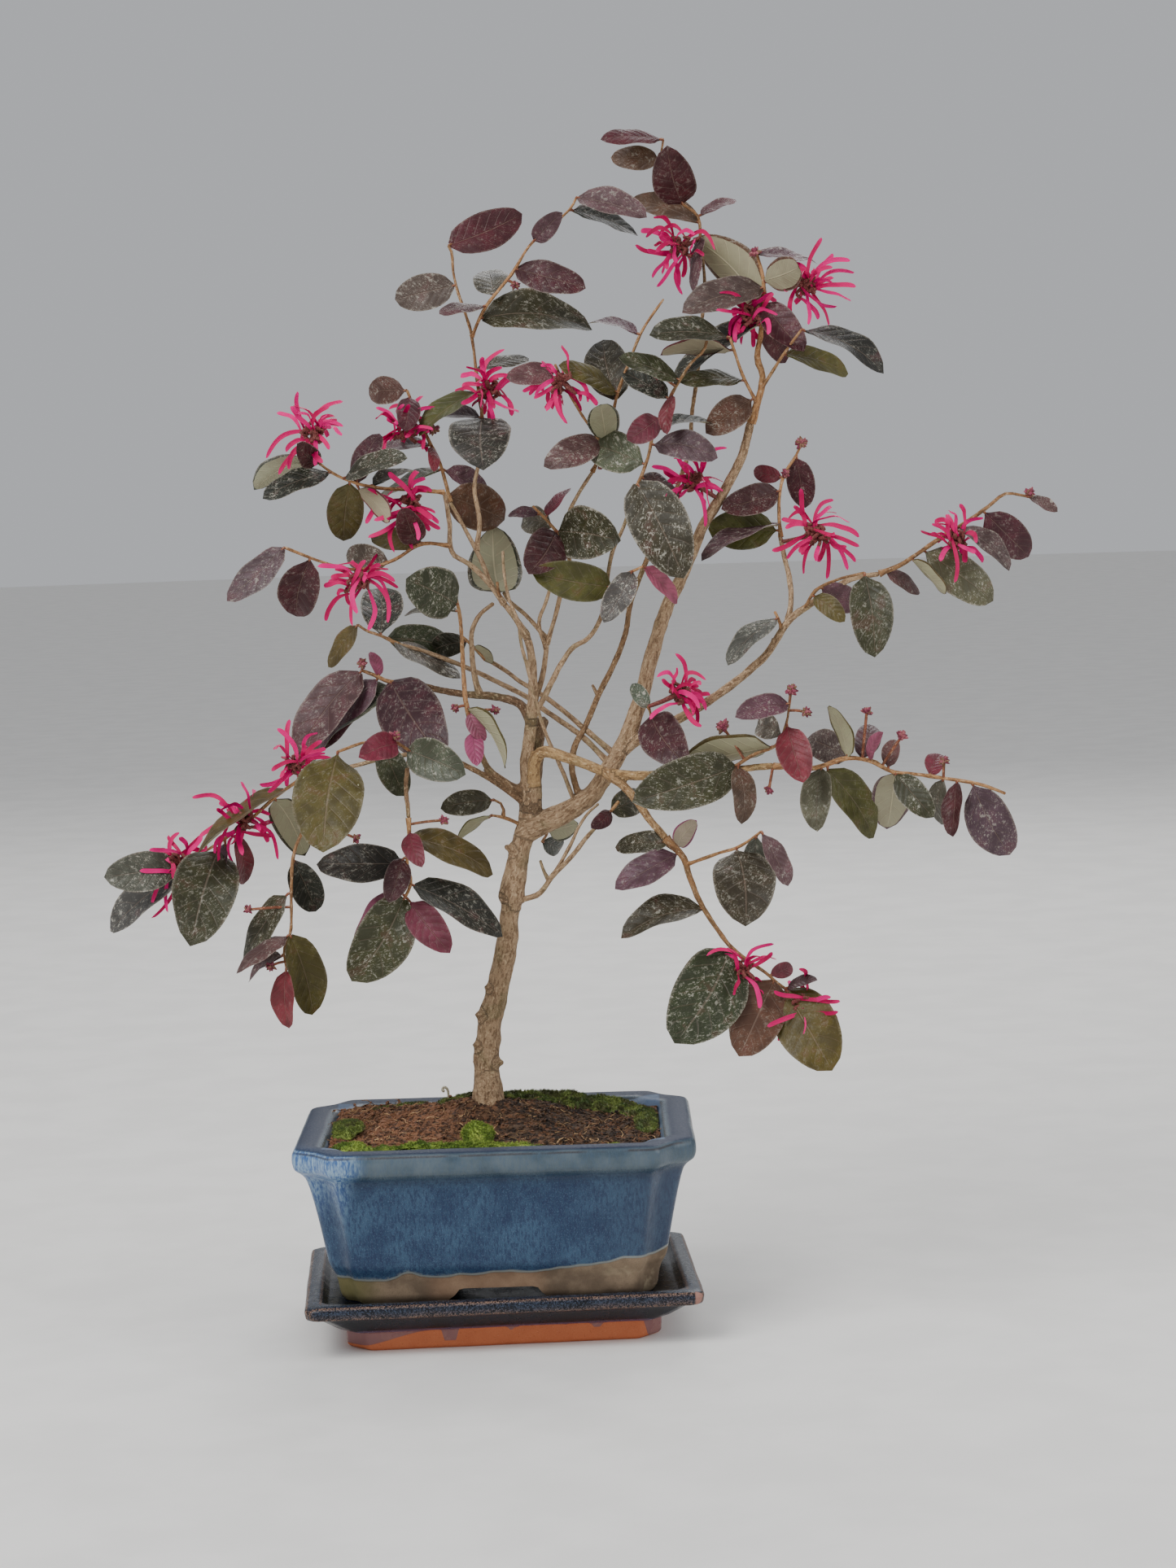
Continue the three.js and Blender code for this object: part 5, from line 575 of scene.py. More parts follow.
class Shape:
    """Vertices in millimetres, faces, and what the materials read at each vertex: a tint, whose
    fourth value is the dust on it, and a spot, three numbers that say where on its leaf, petal
    or limb the vertex lies."""

    def __init__(self):
        self.points = []
        self.tints = []
        self.spots = []
        self.faces = []
        self.slots = []
        self.slot = 0
        self.tint = (1, 1, 1)
        self.dust = 0

    def point(self, at, spot=(0, 0, 0)):
        self.points.append(tuple(at))
        self.spots.append(tuple(spot))
        self.tints.append((*self.tint, self.dust))
        return len(self.points) - 1

    def face(self, corners):
        self.faces.append(tuple(corners))
        self.slots.append(self.slot)

    def skin(self, rings, start=True, end=True):
        """Joins rings of vertices that run anticlockwise, seen from where they lead."""
        count = len(rings[0])
        for low, high in zip(rings, rings[1:]):
            for i in range(count):
                j = (i + 1) % count
                self.face((low[i], low[j], high[j], high[i]))
        if start:
            self.face(reversed(rings[0]))
        if end:
            self.face(rings[-1])

    def pole(self, ring, tip):
        for i, corner in enumerate(ring):
            self.face((corner, ring[(i + 1) % len(ring)], tip))

    def mesh(self, name):
        mesh = bpy.data.meshes.new(name)
        mesh.from_pydata((np.array(self.points) * MM).tolist(), [], self.faces)
        mesh.polygons.foreach_set("material_index", self.slots)
        mesh.attributes.new("tint", "FLOAT_COLOR", "POINT").data.foreach_set(
            "color", np.array(self.tints, dtype=np.float32).ravel())
        mesh.attributes.new("spot", "FLOAT_VECTOR", "POINT").data.foreach_set(
            "vector", np.array(self.spots, dtype=np.float32).ravel())
        mesh.update()
        return mesh

    def object(self, name, materials, sharp=60):
        made = bpy.data.objects.new(name, self.mesh(name))
        for material in materials:
            made.data.materials.append(material)
        bpy.context.scene.collection.objects.link(made)
        shade(made.data, sharp)
        return made


def shade(mesh, sharp):
    """Smooth shading, with edges kept sharp where the faces turn by more than an angle."""
    mesh.polygons.foreach_set("use_smooth", [True] * len(mesh.polygons))
    mesh.set_sharp_from_angle(angle=math.radians(sharp))


def settled(made):
    """Turns the modifiers of an object into its plain mesh."""
    graph = bpy.context.evaluated_depsgraph_get()
    graph.update()
    mesh = bpy.data.meshes.new_from_object(made.evaluated_get(graph))
    made.modifiers.clear()
    made.data = mesh
    return mesh


def finished(piece, slot, *nodes):
    """Puts a piece on the body in place of the nodes that it stands for."""
    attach(piece, BODY)
    if nodes:
        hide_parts(*nodes)


def place(across, down, depth):
    """A spot of the photograph at a depth behind the middle of the pot."""
    x = across - PHOTO_SIZE[0] / 2
    y = down - PHOTO_SIZE[1] / 2
    u = (x * math.cos(EYE_ROLL) + y * math.sin(EYE_ROLL)) / EYE_FOCUS
    v = (y * math.cos(EYE_ROLL) - x * math.sin(EYE_ROLL)) / EYE_FOCUS
    sight = Vector((u, math.cos(EYE_PITCH) - v * math.sin(EYE_PITCH),
                    -math.sin(EYE_PITCH) - v * math.cos(EYE_PITCH)))
    return EYE + sight * ((depth - EYE.y) / sight.y)


def pairs(numbers):
    return list(zip(numbers[::2], numbers[1::2]))


def any_way(pick):
    return Vector([pick.uniform(-1, 1) for _ in range(3)])


def rough(at, size, seed=0):
    """Smooth noise from -1 to 1 with features of about this size."""
    return noise.noise(Vector(at) / size + Vector((seed, seed * 2, seed * 3)))


# Branches.


class Branch:
    """A limb or twig: its route in the photograph, with the depth at each spot."""

    def __init__(self, row, leafy, grown):
        self.name, self.parent, start, end, route, pins = row
        self.leafy = leafy
        self.spots = pairs(route)
        depths = [None] * len(self.spots)
        for spot, depth in pins.items():
            depths[spot] = depth
        if depths[0] is None:
            depths[0] = grown[self.parent].nearest(self.spots[0])[1] if self.parent else 0
        runs = [0]
        for a, b in zip(self.spots, self.spots[1:]):
            runs.append(runs[-1] + math.dist(a, b))
        known = [i for i, depth in enumerate(depths) if depth is not None]
        self.depths = np.interp(runs, [runs[i] for i in known], [depths[i] for i in known])
        self.ends = (start, end)
        points = [place(*spot, depth) for spot, depth in zip(self.spots, self.depths)]
        if self.parent:
            points[0] = grown[self.parent].seat(points[0])
        self.path = smooth_path(points, TWIG_STEP if leafy else PATH_STEP)

    def nearest(self, spot):
        """How far away a spot is in the photograph, the depth there, and the place."""
        best = None
        for i, (a, b) in enumerate(zip(self.spots, self.spots[1:])):
            dx, dy = b[0] - a[0], b[1] - a[1]
            share = ((spot[0] - a[0]) * dx + (spot[1] - a[1]) * dy) / (dx * dx + dy * dy)
            share = min(1, max(0, share))
            away = math.hypot(spot[0] - a[0] - dx * share, spot[1] - a[1] - dy * share)
            if best is None or away < best[0]:
                depth = self.depths[i] + (self.depths[i + 1] - self.depths[i]) * share
                best = (away, depth, place(a[0] + dx * share, a[1] + dy * share, depth))
        return best

    def seat(self, point):
        """The nearest place on the middle line."""
        return min(self.path, key=lambda at: (at - point).length_squared).copy()


def smooth_path(points, step):
    """A centripetal curve through the points, in even steps."""
    if len(points) == 2:
        fine = [points[0].lerp(points[1], i / 20) for i in range(21)]
    else:
        ends = [points[0] * 2 - points[1], *points, points[-1] * 2 - points[-2]]
        fine = []
        for p0, p1, p2, p3 in zip(ends, ends[1:], ends[2:], ends[3:]):
            d0, d1, d2 = (max(1e-3, math.sqrt((b - a).length))
                          for a, b in ((p0, p1), (p1, p2), (p2, p3)))
            out = ((p1 - p0) / d0 - (p2 - p0) / (d0 + d1) + (p2 - p1) / d1) * d1
            back = ((p2 - p1) / d1 - (p3 - p1) / (d1 + d2) + (p3 - p2) / d2) * d1
            for i in range(20):
                t = i / 20
                fine.append(p1 + out * t + (p2 * 3 - p1 * 3 - out * 2 - back) * t * t
                            + (p1 * 2 - p2 * 2 + out + back) * t ** 3)
        fine.append(points[-1].copy())
    runs = [0]
    for a, b in zip(fine, fine[1:]):
        runs.append(runs[-1] + (b - a).length)
    count = max(2, round(runs[-1] / step))
    wanted = np.linspace(0, runs[-1], count + 1)
    columns = [np.interp(wanted, runs, [p[k] for p in fine]) for k in range(3)]
    return [Vector(at) for at in zip(*columns)]


def frames(path):
    """For each point of a path: the way along it and two ways across it that don't twist."""
    side = None
    found = []
    for i, at in enumerate(path):
        along = (path[min(i + 1, len(path) - 1)] - path[max(i - 1, 0)]).normalized()
        side = side or along.orthogonal()
        side = (side - along * side.dot(along)).normalized()
        found.append((at, along, side, along.cross(side)))
    return found


def tube(shape, path, radii, sides, knots=0.0, seed=0):
    """A limb along a path, closed by a rounded end. It has a radius for each point, or only the
    first and the last; knots is how lumpy it is."""
    if len(radii) == 2:
        radii = np.linspace(*radii, len(path))
    rings = []
    run = 0
    for i, (at, _, side, up) in enumerate(frames(path)):
        if i:
            run += (at - path[i - 1]).length
        ring = []
        for k in range(sides):
            turn = k / sides * math.tau
            way = side * math.cos(turn) + up * math.sin(turn)
            radius = radii[i] * (1 + knots * rough(at + way * radii[i] * 2, 5, seed))
            ring.append(shape.point(at + way * radius,
                                    (math.cos(turn) * radius, math.sin(turn) * radius, run)))
        rings.append(ring)
    tip = path[-1] + frames(path[-2:])[1][1] * radii[-1] * 0.6
    shape.skin(rings, end=False)
    shape.pole(rings[-1], shape.point(tip, (0, 0, run)))


def tapered(branch, collar=LIMB_COLLAR):
    """The radius at each point of a branch, with a collar where it leaves its parent."""
    start, end = branch.ends
    count = len(branch.path) - 1
    radii = []
    for i in range(count + 1):
        away = (branch.path[i] - branch.path[0]).length
        swell = collar * math.exp(-(away / (start * 1.3)) ** 2) if branch.parent else 0
        radii.append((start + (end - start) * i / count) / 2 * (1 + swell))
    return radii


# Wood.


def root_paths(foot):
    for turn in ROOT_TURNS:
        out = Vector((math.cos(turn), math.sin(turn) * 0.75, 0))
        yield smooth_path([foot + out * ROOT_REACH * share + Vector((0, 0, 1 - 9 * share))
                           for share in (0, 0.33, 0.66, 1)], PATH_STEP)


def wood_limbs(grown):
    """Every limb of the wood: its path, its radii, its tint and how thick it starts."""
    for branch in grown.values():
        if not branch.leafy:
            yield branch.path, tapered(branch), TONES.get(branch.name, TAN), branch.ends[0]
    for carrier, ax, ay, bx, by, width in SNAGS:
        _, depth, at = grown[carrier].nearest((ax, ay))
        path = smooth_path([grown[carrier].seat(at), place(bx, by, depth - 1)], 1)
        radii = np.linspace(width / 2, width * 0.33, len(path))
        yield path, list(radii), TAN, width
    for path in root_paths(grown["root_flare"].path[0]):
        yield path, list(np.linspace(3.3, 1, len(path))), TAN, 6.5


def remeshed(shape, voxel):
    """One skin round overlapping closed shapes."""
    made = shape.object("skinned", [])
    change = made.modifiers.new("Skin", "REMESH")
    change.mode = "VOXEL"
    change.voxel_size = voxel * MM
    smooth = made.modifiers.new("Even", "SMOOTH")
    smooth.iterations = 3
    mesh = settled(made)
    points = np.empty(len(mesh.vertices) * 3)
    mesh.vertices.foreach_get("co", points)
    normals = np.empty(len(mesh.vertices) * 3)
    mesh.vertices.foreach_get("normal", normals)
    faces = [tuple(face.vertices) for face in mesh.polygons]
    bpy.data.objects.remove(made)
    bpy.data.meshes.remove(mesh)
    return points.reshape(-1, 3) / MM, normals.reshape(-1, 3), faces


def make_wood(settings, grown):
    thick = Shape()
    thin = Shape()
    guide = []
    for path, radii, tint, width in wood_limbs(grown):
        if width > settings.thin_limb / MM:
            tube(thick, path, radii, LIMB_SIDES, LIMB_KNOTS, len(guide))
            run = 0
            for i, (at, _, side, up) in enumerate(frames(path)):
                run += (at - path[i - 1]).length if i else 0
                guide.append((at, side, up, run, radii[i], tint))
        else:
            thin.tint = tint
            tube(thin, path, radii, THIN_SIDES, THIN_KNOTS, len(path))
    tree = kdtree.KDTree(len(guide))
    for i, entry in enumerate(guide):
        tree.insert(entry[0], i)
    tree.balance()
    points, normals, faces = remeshed(thick, settings.bark_grain / MM)
    base = len(thin.points)
    for at, normal in zip(points, normals):
        at, normal = Vector(at), Vector(normal)
        near = min(tree.find_n(at, 6), key=lambda hit: hit[2] / guide[hit[1]][4])[1]
        middle, side, up, run, radius, thin.tint = guide[near]
        out = at - middle
        spot = Vector((out.dot(side), out.dot(up), run + out.dot(side.cross(up))))
        streak = Vector((spot.x, spot.y, spot.z * 0.3))
        relief = rough(streak, 2.6, 1) * 0.6 + rough(streak, 1.2, 2) * 0.4 - abs(
            rough(streak, 4.2, 3)) * 0.7
        thin.point(at + normal * relief * min(0.55, radius * 0.11), spot)
    for face in faces:
        thin.face(base + corner for corner in face)
    piece = thin.object("wood", [bark_material()], 80)
    finished(piece, "bark", "trunk_and_branches")


# Leaves.


def blade_half(share):
    """Half the width of a blade along its length: an ellipse, widest just before its middle."""
    along = share ** 0.88
    return (4 * along * (1 - along)) ** 0.58


def ribbon(shape, rings, tip, spots, thick_row):
    """A thin closed sheet: rows of points along its middle surface get two faces and an edge."""
    made = []
    for row, (points, ups) in enumerate(rings):
        width = len(points) - 1
        top = [shape.point(p + up * thick_row[row] * (0 < k < width), spots(row, k, 0))
               for k, (p, up) in enumerate(zip(points, ups))]
        under = [shape.point(points[k] - ups[k] * thick_row[row], spots(row, k, 1))
                 for k in range(width - 1, 0, -1)]
        made.append(top + under)
    shape.skin(made, end=False)
    shape.pole(made[-1], shape.point(tip, spots(len(rings), 0, 0)))


class Leaf:
    """Where a leaf sits, how it lies and how it is curled."""

    def __init__(self, twig, row, number):
        bx, by, tx, ty, seen, reach, face, self.finish = row
        depth = twig.nearest((bx, by))[1]
        seen_length = math.dist((bx, by), (tx, ty)) * MM_PER_SPOT
        seen *= MM_PER_SPOT
        length = max(seen_length, seen / LEAF_PLUMP)
        lean = math.sqrt(length ** 2 - seen_length ** 2) * (-1 if reach < 0 else 1)
        self.openness = (seen_length / length) ** 2
        self.base = place(bx, by, depth)
        self.tip = place(tx, ty, depth + reach + lean)
        self.width = max(seen, length * LEAF_SLENDER)
        turned = math.acos(min(1, seen / self.width))
        along = (self.tip - self.base).normalized()
        to_eye = (EYE - self.base).normalized()
        flat = along.cross(to_eye).normalized()
        if flat.z < 0:
            flat.negate()
        facing = to_eye * face * math.cos(turned) + flat * math.sin(turned)
        self.side = along.cross(facing).normalized()
        self.seat = twig.seat(self.base)
        stalk = self.base - self.seat
        if stalk.length <= STALK_LEAST or stalk.dot(along) <= 0:
            self.base = self.seat + along * 1.2
        self.along = (self.tip - self.base).normalized()
        self.side = (self.side - self.along * self.side.dot(self.along)).normalized()
        self.up = self.side.cross(self.along)
        self.random = random.Random(number)

    def draw(self, shape, settings):
        pick = self.random
        length = (self.tip - self.base).length
        arch = pick.uniform(0.03, 0.1) * settings.leaf_curl * self.openness
        droop = pick.uniform(-0.02, 0.07) * settings.leaf_curl
        fold = pick.uniform(0.05, 0.15)
        roll = pick.uniform(-0.05, 0.1) * settings.leaf_curl
        twist = pick.uniform(-0.35, 0.35) * settings.leaf_curl
        sway = pick.uniform(-0.05, 0.05)
        phase = pick.uniform(0, math.tau)
        skew = pick.uniform(-0.05, 0.05)
        tint, dust = FINISHES[self.finish]
        shape.tint = tuple(c * pick.uniform(0.8, 1.2) for c in tint)
        shape.dust = dust * pick.uniform(0.4, 1)
        rings = []
        count = settings.leaf_steps
        shares = [0.004] + [(i / count) ** 0.9 for i in range(1, count)]
        lanes = np.linspace(-1, 1, LEAF_LANES)
        for share in shares:
            half = max(0.5, blade_half(share) * self.width / 2)
            turn = twist * (share - 0.3)
            side = self.side * math.cos(turn) + self.up * math.sin(turn)
            up = side.cross(self.along)
            rise = length * (arch * 4 * share * (1 - share) - droop * share ** 2)
            middle = (self.base + self.along * length * share + self.up * rise
                      + self.side * length * sway * math.sin(share * math.pi))
            points = []
            for lane in lanes:
                wave = 0.035 * math.sin(phase + share * 11 + lane) * abs(lane)
                lift = half * 2 * (fold * abs(lane) - roll * lane ** 2 + wave)
                back = -skew * length * abs(lane) * (1 - share)
                points.append(middle + side * half * lane + up * lift + self.along * back)
            rings.append((points, [up] * len(points)))
        thick = [settings.leaf_thickness / MM / 2 * (2.2 - 1.4 * min(1, s * 3)) for s in shares]
        shares.append(1)
        tip = self.tip - self.up * length * droop

        def spots(row, lane, under):
            edge = lane in (0, len(lanes) - 1)
            return (lanes[lane], shares[row], 0.5 if edge else under)

        ribbon(shape, rings, tip, spots, thick)

    def draw_stalk(self, shape):
        shape.tint = STALK_TINT
        bend = self.seat.lerp(self.base, 0.55) - self.along * 0.3 + self.up * 0.3
        path = smooth_path([self.seat, bend, self.base + self.along * 0.8], 0.9)
        tube(shape, path, STALK_RADII, 6)


def shoot_of(name, grown):
    parent = grown[name].parent
    return shoot_of(parent, grown) if grown[parent].leafy else name


def draw_bud(shape, at, seat, size, number):
    """A bud or dried seed head: a short stalk and a cluster of pointed scales."""
    pick = random.Random(number)
    away = at - seat
    if away.length < 1:
        away = Vector((pick.uniform(-1, 1), -1, pick.uniform(0, 1)))
    away.normalize()
    shape.slot = 0
    shape.tint = STALK_TINT
    path = smooth_path([seat, seat.lerp(at, 0.5) + Vector((0, 0, 0.3)), at], 1.2)
    tube(shape, path, BUD_STALK, 6)
    shape.slot = 2
    for k in range(BUD_SCALES):
        shape.tint = pick.choice(BUD_TINTS)
        spread = any_way(pick)
        way = (away * 0.3 + spread).normalized()
        length = size * pick.uniform(1.0, 1.4)
        curl = way.cross(spread).normalized() * length * 0.12
        path = [at + way * length * s + curl * s * s for s in (-0.1, 0.15, 0.45, 0.75, 1)]
        tube(shape, path, [size * 0.42 * share for share in BUD_GIRTHS], 6, 0.2, k)


def make_shoots(settings, grown):
    materials = [bark_material("twig", 0.35), leaf_material(), bud_material()]
    shapes = {}
    for name, branch in grown.items():
        if not branch.leafy:
            continue
        shape = shapes.setdefault(shoot_of(name, grown), Shape())
        shape.slot = 0
        shape.tint = tuple(c * (0.8 + 0.4 * (len(name) % 3) / 2) for c in TWIG_TINT)
        tube(shape, branch.path, tapered(branch, TWIG_COLLAR), TWIG_SIDES, TWIG_KNOTS, len(name))
    rows = [(name, row) for name, *leaves in LEAVES for row in leaves]
    for number, (name, row) in enumerate(rows):
        shape = shapes[shoot_of(name, grown)]
        leaf = Leaf(grown[name], row, number)
        shape.slot = 0
        leaf.draw_stalk(shape)
        shape.slot = 1
        leaf.draw(shape, settings)
    twigs = [branch for branch in grown.values() if branch.leafy]
    for number, (across, down, size) in enumerate(BUDS):
        twig = min(twigs, key=lambda branch: branch.nearest((across, down))[0])
        at = place(across, down, twig.nearest((across, down))[1] - 1.5)
        draw_bud(shapes[shoot_of(twig.name, grown)], at, twig.seat(at), size, number)
    for name, shape in shapes.items():
        piece = shape.object(name.replace("_shoot", "_leaves"), materials, 70)
        finished(piece, "leaf", name)


# Flowers.


def draw_petal(shape, root, tip, number, settings):
    pick = random.Random(number)
    along = (tip - root).normalized()
    length = (tip - root).length
    to_eye = (EYE - root).normalized()
    sideways = Vector((pick.uniform(-0.8, 0.8), 0, pick.uniform(-0.8, 0.8)))
    side = along.cross(to_eye + sideways).normalized()
    up = side.cross(along)
    lifted = (Vector((0, 0, 1)) - along * along.z).normalized()
    arch = pick.uniform(0.02, 0.24) * settings.petal_curl
    sway = pick.uniform(-0.16, 0.16) * settings.petal_curl
    hook = pick.uniform(-0.6, 0.6) * settings.petal_curl
    twist = pick.uniform(-0.7, 0.7) * settings.petal_curl
    phase = pick.uniform(0, math.tau)
    width = settings.petal_width / MM * pick.uniform(0.85, 1.15)
    shape.tint = pick.choice(PETAL_TINTS)
    lanes = np.linspace(-1, 1, PETAL_LANES)
    rings = []
    for share, wide in PETAL_ROWS:
        turn = twist * share
        across = side * math.cos(turn) + up * math.sin(turn)
        normal = across.cross(along)
        bell = math.sin(share * math.pi)
        middle = (root + along * length * share + lifted * length * arch * bell
                  + side * length * (sway * bell + hook * max(0, share - 0.6) ** 2)
                  + up * 0.55 * math.sin(share * 9 + phase) * bell)
        points = [middle + across * width / 2 * wide * lane
                  + normal * (0.16 * width * abs(lane) + 0.1 * math.sin(share * 8 + lane))
                  for lane in lanes]
        rings.append((points, [normal] * len(points)))

    def spots(row, lane, under):
        return (lanes[lane], shares[row], under)

    shares = [share for share, _ in PETAL_ROWS] + [1]
    end = tip + side * length * hook * 0.16
    ribbon(shape, rings, end, spots, [PETAL_HALF] * len(PETAL_ROWS))


def make_flowers(settings, grown):
    materials = [petal_material(), bud_material("calyx")]
    for order, (name, carrier, across, down, outwards, tips) in enumerate(FLOWERS):
        pick = random.Random(order)
        tips = pairs(tips)
        shape = Shape()
        _, depth, seat = grown[carrier].nearest((across, down))
        middle = place(across, down, depth - outwards)
        seat = grown[carrier].seat(seat)
        shape.slot = 1
        shape.tint = CALYX_TINT
        path = smooth_path([seat, seat.lerp(middle, 0.5) + Vector((0, 0, -0.4)), middle], 1)
        tube(shape, path, HEAD_STALK, 8, 0.2, order)
        ends = []
        for i, (tx, ty) in enumerate(tips):
            seen = math.dist((tx, ty), (across, down)) * MM_PER_SPOT
            lean = math.sqrt(max(0, PETAL_LENGTH ** 2 - seen ** 2)) * (
                PETAL_BACK if i % 2 else -1)
            ends.append(place(tx, ty, depth - outwards + lean))
        for i in range(settings.petals - len(tips)):
            way = Vector((pick.uniform(-1, 1), pick.uniform(-0.8, 1), pick.uniform(-1, 0.8)))
            ends.append(middle + way.normalized() * PETAL_LENGTH * pick.uniform(0.5, 0.9))
        for i, tip in enumerate(ends):
            aside = any_way(pick)
            heart = middle + aside * settings.head_spread / MM
            out = (tip - heart).normalized()
            shape.slot = 1
            shape.tint = CALYX_TINT
            cup = smooth_path([middle] + [heart + out * s for s in (0, 1.2, CALYX_LENGTH)], 1)
            tube(shape, cup, CALYX_RADII, 7, 0.3, i)
            shape.slot = 0
            draw_petal(shape, heart + out * CALYX_LENGTH * 0.7, tip, order * 100 + i, settings)
        finished(shape.object(name.replace("flower", "petals"), materials, 80), "petal", name)


# Pot and tray.


def circle(radius, sides):
    turns = [k / sides * math.tau for k in range(sides)]
    return [(radius * math.cos(turn), radius * math.sin(turn)) for turn in turns]


def softened(corners, radius, parts, pieces):
    """A closed outline with its corners rounded in so many parts and each side divided into its
    number of pieces, so that every outline of the same kind divides the same way."""
    points = []
    count = len(corners)
    for i, corner in enumerate(corners):
        before = Vector(corners[i - 1])
        corner = Vector(corner)
        after = Vector(corners[(i + 1) % count])
        reach_in = min(radius, (before - corner).length * 0.4)
        reach_out = min(radius, (after - corner).length * 0.4)
        first = corner + (before - corner).normalized() * reach_in
        last = corner + (after - corner).normalized() * reach_out
        for k in range(parts + 1):
            t = k / parts
            points.append(first * (1 - t) ** 2 + corner * 2 * t * (1 - t) + last * t * t)
        end = after + (corner - after).normalized() * reach_out
        points += [last.lerp(end, k / pieces[i]) for k in range(1, pieces[i])]
    return points


def pot_corners(inset):
    x, y = POT_HALF[0] - inset, POT_HALF[1] - inset
    cut = POT_CORNER - inset * POT_CORNER_SHRINK
    dip = cut / 2 + POT_CORNER_DIP
    quarter = [(x, y - cut), (x - dip, y - dip), (x - cut, y)]
    left = [(-a, b) for a, b in reversed(quarter)]
    return (quarter + left + [(-a, -b) for a, b in quarter]
            + [(a, -b) for a, b in reversed(quarter)])


def tray_corners(inset):
    x, y = TRAY_HALF[0] - inset, TRAY_HALF[1] - inset
    cut = TRAY_CORNER + inset * TRAY_CORNER_GROWTH
    corners = [(x, y - cut), (x - cut, y), (cut - x, y), (-x, y - cut),
               (-x, cut - y), (cut - x, -y), (x - cut, -y), (x, cut - y)]
    spin = Matrix.Rotation(TRAY_TURN, 2)
    return [tuple(spin @ Vector(corner)) for corner in corners]


def divided(start, end):
    """Even points on the way from a start to an end."""
    pieces = max(1, round((end - start).length / FACE_HEIGHT))
    return [start.lerp(end, k / pieces) for k in range(1, pieces + 1)]


def profile(rows, radius):
    """A polyline of heights and insets with its bends rounded and its long runs divided."""
    line = [Vector((inset, height)) for height, inset in rows]
    fine = [line[0]]
    for before, corner, after in zip(line, line[1:], line[2:]):
        reach = min(radius, (before - corner).length * 0.45, (after - corner).length * 0.45)
        first = corner + (before - corner).normalized() * reach
        last = corner + (after - corner).normalized() * reach
        fine += divided(fine[-1], first)
        fine += [corner.lerp(first.lerp(last, 0.5), 0.5), last]
    fine += divided(fine[-1], line[-1])
    return [(point.y, point.x) for point in fine]


def vessel(rows, corners_at, radius, bend, wobble):
    """A thrown or pressed vessel: outlines stacked up its outside and down its inside."""
    shape = Shape()
    rim = corners_at(0)
    sides = [max(1, round(math.dist(a, b) / FACE_LENGTH))
             for a, b in zip(rim, rim[1:] + rim[:1])]
    rings = []
    for height, inset in profile(rows, bend):
        ring = []
        for at in softened(corners_at(inset), radius, 3, sides):
            spot = Vector((at.x, at.y, height))
            out = at.normalized() * wobble * rough(spot, 22)
            rise = wobble * 0.5 * rough(spot, 30, 5) * min(1, height / 8)
            ring.append(shape.point((at.x + out.x, at.y + out.y, height + rise)))
        rings.append(ring)
    shape.skin(rings)
    return shape


def cut_away(made, cutters):
    """Cuts shapes out of an object and settles the result."""
    for number, cutter in enumerate(cutters):
        change = made.modifiers.new("Cut " + str(number), "BOOLEAN")
        change.operation = "DIFFERENCE"
        change.solver = "EXACT"
        change.object = cutter
    settled(made)
    for cutter in cutters:
        bpy.data.objects.remove(cutter)


def prism(outline, reach):
    """An outline in XZ drawn out along Y to both sides, to cut with."""
    shape = Shape()
    rings = [[shape.point((x, y, z)) for x, z in outline] for y in (reach, -reach)]
    shape.skin(rings)
    return shape.object("cutter", [])


def arch_outline():
    """The arch in the foot of the pot: a flat top with sloping shoulders."""
    foot = ARCH_HALF + ARCH_SHOULDER
    right = [(foot, POT_SEAT - 1), (foot, ARCH_TOP - ARCH_SHOULDER),
             (foot - ARCH_SHOULDER * 0.6, ARCH_TOP - ARCH_SHOULDER * 0.5),
             (ARCH_HALF + ARCH_SHOULDER * 0.1, ARCH_TOP - ARCH_SHOULDER * 0.1),
             (ARCH_HALF - ARCH_SHOULDER * 0.3, ARCH_TOP)]
    return right + [(-x, z) for x, z in reversed(right)]


def drain_cutter(across):
    shape = Shape()
    rings = []
    for height in (ARCH_TOP - 4, POT_FLOOR + 4):
        rings.append([shape.point((across + x, y, height))
                      for x, y in circle(DRAIN_RADIUS, DRAIN_SIDES)])
    shape.skin(rings)
    return shape.object("cutter", [])


def make_pot(settings):
    shape = vessel(POT_WALL + POT_LIP + POT_HOLLOW, pot_corners, *POT_BENDS,
                   settings.unevenness / MM)
    made = shape.object("glazed_pot", [pot_material()])
    wide, deep = RECESS_HALF
    recess = [(-wide, POT_SEAT - 1), (wide, POT_SEAT - 1), (wide, ARCH_TOP), (-wide, ARCH_TOP)]
    cut_away(made, [prism(arch_outline(), POT_HALF[1]), prism(recess, deep),
                    drain_cutter(-DRAIN_ACROSS), drain_cutter(DRAIN_ACROSS)])
    shade(made.data, 40)
    finished(made, "pot_glaze", "pot")


def make_tray(settings):
    shape = vessel(TRAY_WALL + TRAY_LIP + TRAY_HOLLOW, tray_corners, *TRAY_BENDS,
                   settings.unevenness / MM)
    made = shape.object("glazed_tray", [tray_material()], 50)
    finished(made, "tray_glaze", "drip_tray")


# Soil and moss.


def ground(x, y):
    """The height of the smooth soil."""
    across = (x - MOUND_MIDDLE[0]) / MOUND_SPREAD[0]
    back = (y - MOUND_MIDDLE[1]) / MOUND_SPREAD[1]
    lumps = math.sin(x * LUMP_TURN) * math.cos(y * LUMP_TURN) * LUMP_HEIGHT
    level = SOIL_EDGE + LEAN[0] * x + LEAN[1] * y
    foot = math.dist((x, y), place(*TRUNK_SPOT)[:2]) / COLLAR_SPREAD
    collar = COLLAR_HEIGHT * math.exp(-foot ** 2)
    return level + MOUND_HEIGHT * math.exp(-across ** 2 - back ** 2) + lumps + collar


